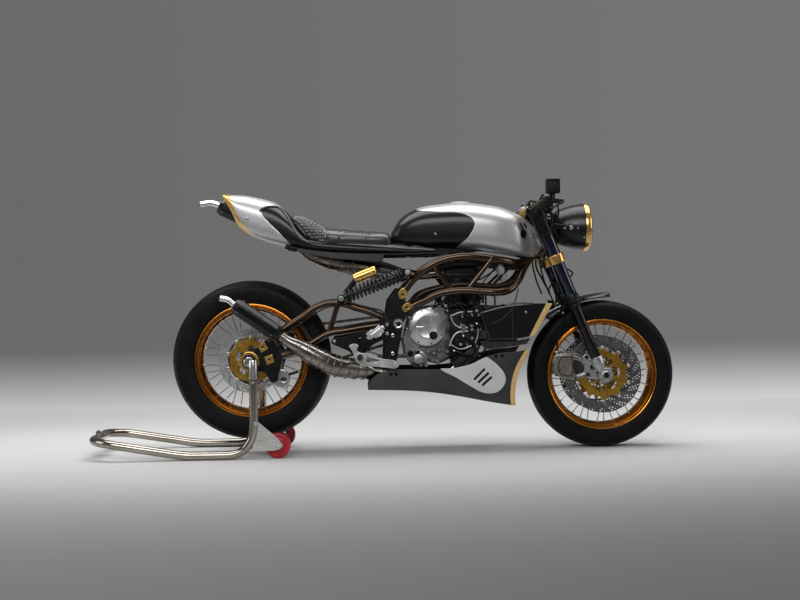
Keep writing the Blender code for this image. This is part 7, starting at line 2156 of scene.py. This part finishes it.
def rearsets():
    for side, label in SIDES:
        hanger, peg, silver, bolts, black = shapes(5)
        windows = [rim_points([(-0.012, 0.506), (-0.052, 0.484), (-0.04, 0.462), (-0.006, 0.478)], 0.008),
            rim_points([(-0.088, 0.47), (-0.15, 0.457), (-0.14, 0.432), (-0.1, 0.424)], 0.009)]
        hanger.plate(rim_points(REARSET, 0.008), side * 0.1496, side * 0.1573, windows, 0.0014, rounds=3)
        hanger.plate(rim_points([(-0.16, 0.474), (-0.11, 0.486), (-0.06, 0.5), (-0.04, 0.47), (-0.08, 0.44),
            (-0.13, 0.43), (-0.17, 0.444)], 0.008), side * 0.1575, side * 0.161,
            [circle(-0.105, 0.46, 0.01, 18)], 0.001, rounds=2)
        profile = [(0.0, 0.152), (0.0085, 0.152), (0.0095, 0.154), (0.0095, 0.166), (0.011, 0.168)]
        spot = 0.17
        while spot < 0.24:
            profile += [(0.011, spot), (0.011, spot + 0.0022), (0.0094, spot + 0.003),
                (0.0094, spot + 0.0044)]
            spot += 0.0052
        profile += [(0.011, 0.2425), (0.0105, 0.245), (0.0, 0.245)]
        peg.turned(profile, at((-0.104, 0.394), 0.0), (0, side, 0), 28)
        outline = smooth([(-0.12, 0.372), (-0.127, 0.394), (-0.136, 0.418), (-0.147, 0.436), (-0.122, 0.444),
            (-0.109, 0.437), (-0.116, 0.42), (-0.103, 0.409), (-0.08, 0.406), (-0.045, 0.392),
            (-0.004, 0.381), (0.036, 0.374), (0.049, 0.36), (0.04, 0.346), (0.01, 0.347), (-0.05, 0.354),
            (-0.098, 0.356)], 3, looped=True)
        silver.plate(outline, side * 0.164, side * 0.1725,
            [rim_points([(-0.078, 0.391), (-0.04, 0.383), (-0.026, 0.375), (-0.05, 0.368), (-0.077, 0.371)],
            0.004)], 0.0012, rounds=2)
        silver.turned([(0.0, 0.0), (0.0085, 0.0), (0.0092, 0.0015), (0.0092, 0.048), (0.008, 0.05),
            (0.0, 0.05)], (0.038, side * 0.17, 0.36), (0, side, 0), 24)
        silver.turned([(0.0125, 0.0), (0.0195, 0.0), (0.0208, 0.0012), (0.0208, 0.0045), (0.0195, 0.0058),
            (0.013, 0.0058), (0.0125, 0.004)], (-0.102, side * 0.1722, 0.385), (0, side, 0), 36, looped=True)
        low, high = Vector((-0.074, side * 0.169, 0.464)), Vector((-0.01, side * 0.169, 0.512))
        run = (high - low).normalized()
        silver.turned([(0.0, 0.0), (0.0075, 0.0), (0.008, 0.002), (0.008, 0.014), (0.0112, 0.018),
            (0.0115, 0.02), (0.0115, 0.066), (0.01, 0.07), (0.007, 0.072), (0.007, 0.079), (0.0, 0.08)], low,
            run, 32)
        turn = Matrix(((run.x, 0.0, -run.z, low.x), (0.0, 1.0, 0.0, side * 0.169),
            (run.z, 0.0, run.x, low.z), (0.0, 0.0, 0.0, 1.0)))
        silver.block((0.026, -0.0105, -0.02), (0.07, 0.006, 0.014), 0.003, turn, 3)
        silver.block((0.006, -0.01, -0.012), (0.036, 0.005, 0.019), 0.0025, turn, 3)
        silver.block((0.064, -0.008, -0.012), (0.08, 0.004, 0.003), 0.002, turn)
        silver.block((0.04, -0.0115, -0.0235), (0.056, 0.005, -0.018), 0.0015, turn)
        for along, off in ((0.018, 0.01), (0.034, -0.004), (0.058, -0.01), (0.072, -0.005)):
            bolts.bolt(turn @ Vector((along, side * 0.006, off)), (0, side, 0), 0.0042, 0.0028)
        black.tube([tuple(low - run * 0.002), tuple(low - run * 0.02 + Vector((0.004, 0.0, -0.012))),
            (-0.098, side * 0.169, 0.42), (-0.1, side * 0.167, 0.402)], 0.0038, 12)
        for x, z in ((0.004, 0.518), (0.004, 0.482), (-0.058, 0.494), (-0.204, 0.454)):
            bolts.bolt((x, side * 0.1573, z), (0, side, 0), 0.0052, 0.0046)
        bolts.bolt((-0.104, side * 0.168, 0.394), (0, side, 0), 0.005, 0.004)
        hanger.done("rearset_plate_" + label, "black", "chassis", "rearset_" + label, angle=30)
        peg.done("foot_peg_" + label, "dark_cast", angle=30)
        silver.done("rearset_metal_" + label, "satin", angle=30)
        black.done("rearset_rod_" + label, "black", angle=60)
        bolts.done("rearset_bolts_" + label, "machined")
    hose = smooth([(-0.006, -0.169, 0.516), (0.004, -0.165, 0.536), (-0.01, -0.158, 0.566),
        (-0.06, -0.144, 0.584), (-0.13, -0.136, 0.598), (-0.23, -0.135, 0.588), (-0.33, -0.134, 0.53),
        (-0.4, -0.13, 0.47), (-0.43, -0.118, 0.4), (-0.426, -0.1, 0.35)], 8)
    Shape().tube(hose, 0.003, 12).done("rear_brake_hose", "hose", angle=80)


CHAIN_PITCH = 0.015875


def chain():
    """Outer and inner links with their rollers, laid along the belt round both sprockets."""
    rear, front = Vector((-0.54, 0.379)), Vector((0.135, 0.515))
    rear_r, front_r = 0.107, 0.0462
    span = front - rear
    heading = math.atan2(span.y, span.x)
    spread = math.acos((rear_r - front_r) / span.length)
    outline = []
    for centre, radius, start, stop, steps in ((front, front_r, heading - spread, heading + spread, 40),
            (rear, rear_r, heading + spread, heading - spread + math.tau, 90)):
        for step in range(steps + 1):
            turn = start + (stop - start) * step / steps
            outline.append(Vector((centre.x + radius * math.cos(turn), centre.y + radius * math.sin(turn))))
    outline.append(outline[0].copy())
    lengths = [0.0]
    for before, after in zip(outline, outline[1:]):
        lengths.append(lengths[-1] + (after - before).length)
    total = lengths[-1]
    count = 2 * round(total / CHAIN_PITCH / 2)
    pitch = total / count

    def spot(travel):
        travel %= total
        index = max(i for i in range(len(lengths) - 1) if lengths[i] <= travel)
        share = (travel - lengths[index]) / (lengths[index + 1] - lengths[index])
        return outline[index].lerp(outline[index + 1], share)

    outer, inner, pins = shapes(3)
    pins_at = [spot(index * pitch) for index in range(count)]
    for index in range(count):
        start, end = pins_at[index], pins_at[(index + 1) % count]
        run = (end - start).normalized()
        side = Vector((-run.y, run.x))
        shape = []
        for centre, sign in ((start, -1), (end, 1)):
            for step in range(-3, 4):
                turn = math.radians(28.0 * step)
                shape.append(tuple(centre + run * (sign * math.cos(turn) * 0.0064) + side
                    * (math.sin(turn) * 0.0064 * sign)))
            waist = start.lerp(end, 0.5) + side * (sign * 0.0048)
            shape.append(tuple(waist))
        group, low, high = (outer, 0.0885, 0.1043) if index % 2 else (inner, 0.0905, 0.1023)
        group.plate(shape, low - 0.0008, low + 0.0008, (), 0.0003)
        group.plate(shape, high - 0.0008, high + 0.0008, (), 0.0003)
        pins.turned([(0.0, 0.0878), (0.0022, 0.0878), (0.0022, 0.0912), (0.0045, 0.0912), (0.0045, 0.1016),
            (0.0022, 0.1016), (0.0022, 0.1052), (0.0, 0.1052)], at(start, 0.0), (0, 1, 0), 12)
    outer.done("chain_outer", "chain", "chassis", "chain", angle=30)
    inner.done("chain_inner", "dark_cast", angle=30)
    pins.done("chain_pins", "chain", angle=40)


STAND_SIDE = [(-0.521, 0.19, 0.388), (-0.521, 0.19, 0.134), (-0.53, 0.19, 0.076), (-0.56, 0.19, 0.034),
    (-0.605, 0.19, 0.0172), (-0.79, 0.19, 0.0172), (-1.095, 0.184, 0.068), (-1.163, 0.13, 0.075)]
STAND_PLATE = [(-0.51, 0.15), (-0.432, 0.083), (-0.406, 0.05), (-0.438, 0.033), (-0.545, 0.03),
    (-0.536, 0.08), (-0.53, 0.15)]
CASTER = Vector((-0.431, 0.0, 0.05))


def bent(points, reach, steps=6):
    points = [Vector(point) for point in points]
    path = [points[0]]
    for before, corner, after in zip(points, points[1:], points[2:]):
        size = min(reach, (before - corner).length * 0.45, (after - corner).length * 0.45)
        start = corner + (before - corner).normalized() * size
        end = corner + (after - corner).normalized() * size
        for step in range(steps + 1):
            share = step / steps
            path.append(start.lerp(corner, share).lerp(corner.lerp(end, share), share))
    path.append(points[-1])
    return path


def stand():
    tubes, plates, collars, bolts, welds = shapes(5)
    right = [(x, -y, z) for x, y, z in STAND_SIDE]
    hoop = bent(right + STAND_SIDE[::-1], 0.045)
    tubes.tube(hoop, 0.017, 32)
    for side, label in SIDES:
        plates.plate(rim_points(STAND_PLATE, 0.01), side * 0.1905, side * 0.1942,
            [rim_points([(-0.506, 0.074), (-0.476, 0.074), (-0.476, 0.052), (-0.506, 0.052)], 0.004)],
            0.0008)
        plates.plate(rim_points(STAND_PLATE, 0.01), side * 0.186, side * 0.1888, (), 0.0006)
        collars.turned([(0.0, 0.0), (0.0172, 0.0), (0.0186, 0.0012), (0.0186, 0.07), (0.0176, 0.073),
            (0.0172, 0.073)], (-0.521, side * 0.19, 0.314), (0, 0, 1), 40)
        collars.turned([(0.0, 0.0), (0.0165, 0.0), (0.017, 0.0008), (0.017, 0.0325), (0.0155, 0.0337),
            (0.01, 0.0337), (0.009, 0.031), (0.0, 0.031)], at(REAR_AXLE, side * 0.1664), (0, side, 0), 40)
        collars.turned([(0.0, 0.137), (0.0075, 0.137), (0.008, 0.1378), (0.008, 0.19), (0.0, 0.19)],
            at(CASTER, 0.0), (0, side, 0), 24)
        collars.turned([(0.0, 0.1365), (0.0145, 0.1365), (0.015, 0.1372), (0.015, 0.1398), (0.0145, 0.1405),
            (0.0, 0.1405)], at(CASTER, 0.0), (0, side, 0), 32)
        bolts.bolt((-0.521, side * 0.208, 0.3), (0, side, 0), 0.0045, 0.004)
        bolts.bolt((-0.514, side * 0.207, 0.14), (0, side, 0), 0.0058, 0.002)
        bolts.bolt(at(CASTER, side * 0.1942), (0, side, 0), 0.0056, 0.004, socket=False)
        for x, z in ((-0.452, 0.056), (-0.444, 0.056)):
            bolts.bolt((x, side * 0.1942, z), (0, side, 0), 0.0016, 0.001)
        seam = [(-0.536, side * 0.194, 0.078 + 0.0045 * step) for step in range(-8, 14)]
        welds.tube([(x + 0.01 * max(0.0, (0.078 - z)) / 0.05, y, z) for x, y, z in seam],
            [0.0022 + 0.0006 * (step % 2) for step in range(len(seam))], 8)
        wheel, hub = Shape(), Shape()
        wheel.turned([(0.015, 0.1462), (0.03, 0.1462), (0.032, 0.1475), (0.0345, 0.1475), (0.0365, 0.1458),
            (0.044, 0.1456), (0.0475, 0.147), (0.0492, 0.15), (0.0495, 0.156), (0.0495, 0.17),
            (0.0492, 0.1758), (0.0475, 0.1785), (0.044, 0.1798), (0.0365, 0.1797), (0.0345, 0.178),
            (0.032, 0.178), (0.03, 0.1792), (0.015, 0.1792)], at(CASTER, 0.0), (0, side, 0), 72, looped=True)
        hub.turned([(0.0084, 0.1456), (0.0148, 0.1456), (0.0148, 0.1799), (0.0084, 0.1799)], at(CASTER, 0.0),
            (0, side, 0), 40, looped=True)
        wheel.done("caster_tyre_" + label, "red", "stand_wheel_%s_body" % label, "stand_wheel_" + label,
            angle=35)
        hub.done("caster_hub_" + label, "machined", "stand_wheel_%s_body" % label)
    plates.done("stand_plates", "stand_plate", angle=30)
    tubes.done("stand_hoop", "stand", "chassis", "stand_frame", angle=60)
    collars.done("stand_pins", "polished", angle=35)
    bolts.done("stand_bolts", "machined")
    welds.done("stand_welds", "weld", angle=60)
    tab = Shape()
    tab.block((-1.172, -0.03, 0.0905), (-1.12, 0.03, 0.0935), 0.001)
    tab.block((-1.172, -0.03, 0.093), (-1.168, 0.03, 0.101), 0.001)
    tab.done("stand_step", "stand", angle=30)


rearsets()
chain()
stand()


# Camera fitted to the photograph
YAW = math.radians(2.0)
PITCH = math.radians(0.4)
ROLL = math.radians(0.82)
forward = Vector((math.sin(YAW) * math.cos(PITCH), math.cos(YAW) * math.cos(PITCH), -math.sin(PITCH)))
across = Vector((math.cos(YAW), -math.sin(YAW), 0.0))
upward = across.cross(forward)
turned_across = across * math.cos(ROLL) - upward * math.sin(ROLL)
turned_up = across * math.sin(ROLL) + upward * math.cos(ROLL)
lens = bpy.data.cameras.new("camera")
lens.lens = 50.0
lens.sensor_width = 36.0
lens.clip_end = 60.0
camera = bpy.data.objects.new("camera", lens)
camera.matrix_world = Matrix.Translation((-0.09585, -4.54, 0.64413)) @ Matrix((turned_across, turned_up,
    -forward)).transposed().to_4x4()
scene.collection.objects.link(camera)
scene.camera = camera


# Studio: pale floor running to a wall with painted light levels, a large soft box above and fills
BRIGHT_Y = 0.6


def painted_floor_light(y, hand):
    """Painted light on the floor at one depth and side: a pool of light brightest by the machine, darker
    behind it and in front.
    """
    away = y - BRIGHT_Y
    if away > 0:
        level = 0.13 + 0.62 * math.exp(-(away / 3.3) ** 1.2)
    else:
        level = 0.16 + 0.58 * math.exp(-(-away / 1.5) ** 2.2)
    return level * (1.0 + hand * 0.1 * math.tanh((y - 0.4) / 1.5))


def studio():
    bm = bmesh.new()
    profile = [(-9.0, 0.0), (9.0, 0.0), (9.0, 12.0)]
    rows = [[bm.verts.new((x, y, z)) for x in (-16.0, 16.0)] for y, z in profile]
    for low, high in zip(rows, rows[1:]):
        bm.faces.new((low[0], low[1], high[1], high[0]))
    mesh = bpy.data.meshes.new("backdrop")
    bm.to_mesh(mesh)
    bm.free()
    made = bpy.data.objects.new("backdrop", mesh)
    scene.collection.objects.link(made)
    paint = Shader("backdrop_paint", 0.0, 0.9)
    paint.bsdf.inputs["Specular IOR Level"].default_value = 0.0
    depth = paint.axis("Y")
    share = paint.ramp(paint.math("DIVIDE", paint.math("ADD", paint.axis("X"), 0.096),
        paint.math("ADD", depth, 4.54)), 0.0, 1.0, -0.275, 0.275)
    sides = [paint.curve(depth, -4.0, 9.0, [(step / 2, painted_floor_light(step / 2, hand))
        for step in range(-8, 19)]) for hand in (-1, 1)]
    tint = (1.0, 1.0, 0.995)
    blend = paint.node("ShaderNodeMix", data_type="FLOAT")
    paint.link(share, blend.inputs["Factor"])
    paint.link(sides[0], blend.inputs[2])
    paint.link(sides[1], blend.inputs[3])
    level = blend.outputs[0]
    near = paint.ramp(depth, 1.0, 0.0, 0.9, 1.9)
    pale = paint.node("ShaderNodeCombineColor")
    for channel, part in zip(("Red", "Green", "Blue"), tint):
        paint.link(paint.math("MULTIPLY", level, part), pale.inputs[channel])
    paint.colour(pale.outputs["Color"])
    # Painted light: away from the machine the floor and wall glow with these painted levels for camera,
    # glossy and transmission rays.
    path = paint.node("ShaderNodeLightPath")
    seen = paint.math("MAXIMUM", path.outputs["Is Camera Ray"],
        paint.math("MAXIMUM", path.outputs["Is Glossy Ray"], path.outputs["Is Transmission Ray"]))
    glow = paint.node("ShaderNodeEmission")
    glow.inputs["Strength"].default_value = 1.0
    paint.link(pale.outputs["Color"], glow.inputs["Color"])
    blended = paint.node("ShaderNodeMixShader")
    paint.link(paint.math("MULTIPLY", seen, paint.math("SUBTRACT", 1.0, near)), blended.inputs[0])
    paint.link(paint.bsdf.outputs["BSDF"], blended.inputs[1])
    paint.link(glow.outputs["Emission"], blended.inputs[2])
    output = next(node for node in paint.tree.nodes if node.type == "OUTPUT_MATERIAL")
    paint.link(blended.outputs[0], output.inputs["Surface"])
    mesh.materials.append(paint.mat)


def lamp(name, place, target, size, power, colour=(1.0, 1.0, 1.0)):
    light = bpy.data.lights.new(name, "AREA")
    light.shape = "RECTANGLE"
    light.size, light.size_y = size
    light.energy = power
    light.color = colour
    made = bpy.data.objects.new(name, light)
    made.location = place
    made.rotation_euler = (Vector(target) - Vector(place)).to_track_quat("-Z", "Y").to_euler()
    scene.collection.objects.link(made)


studio()
lamp("softbox_top", (0.0, 0.2, 3.0), (0.0, 0.0, 0.4), (4.6, 1.9), 105.0)
lamp("softbox_front", (-0.9, -5.0, 3.1), (0.0, 0.0, 0.5), (4.5, 2.2), 150.0)
lamp("softbox_left", (-4.5, -1.0, 1.8), (0.0, 0.0, 0.6), (1.6, 2.2), 28.0)
lamp("softbox_right", (4.5, -1.2, 1.8), (0.0, 0.0, 0.6), (1.6, 2.2), 28.0)
world = bpy.data.worlds.new("studio")
world.use_nodes = True
world.node_tree.nodes["Background"].inputs["Color"].default_value = (0.32, 0.325, 0.33, 1.0)
world.node_tree.nodes["Background"].inputs["Strength"].default_value = 0.32
scene.world = world
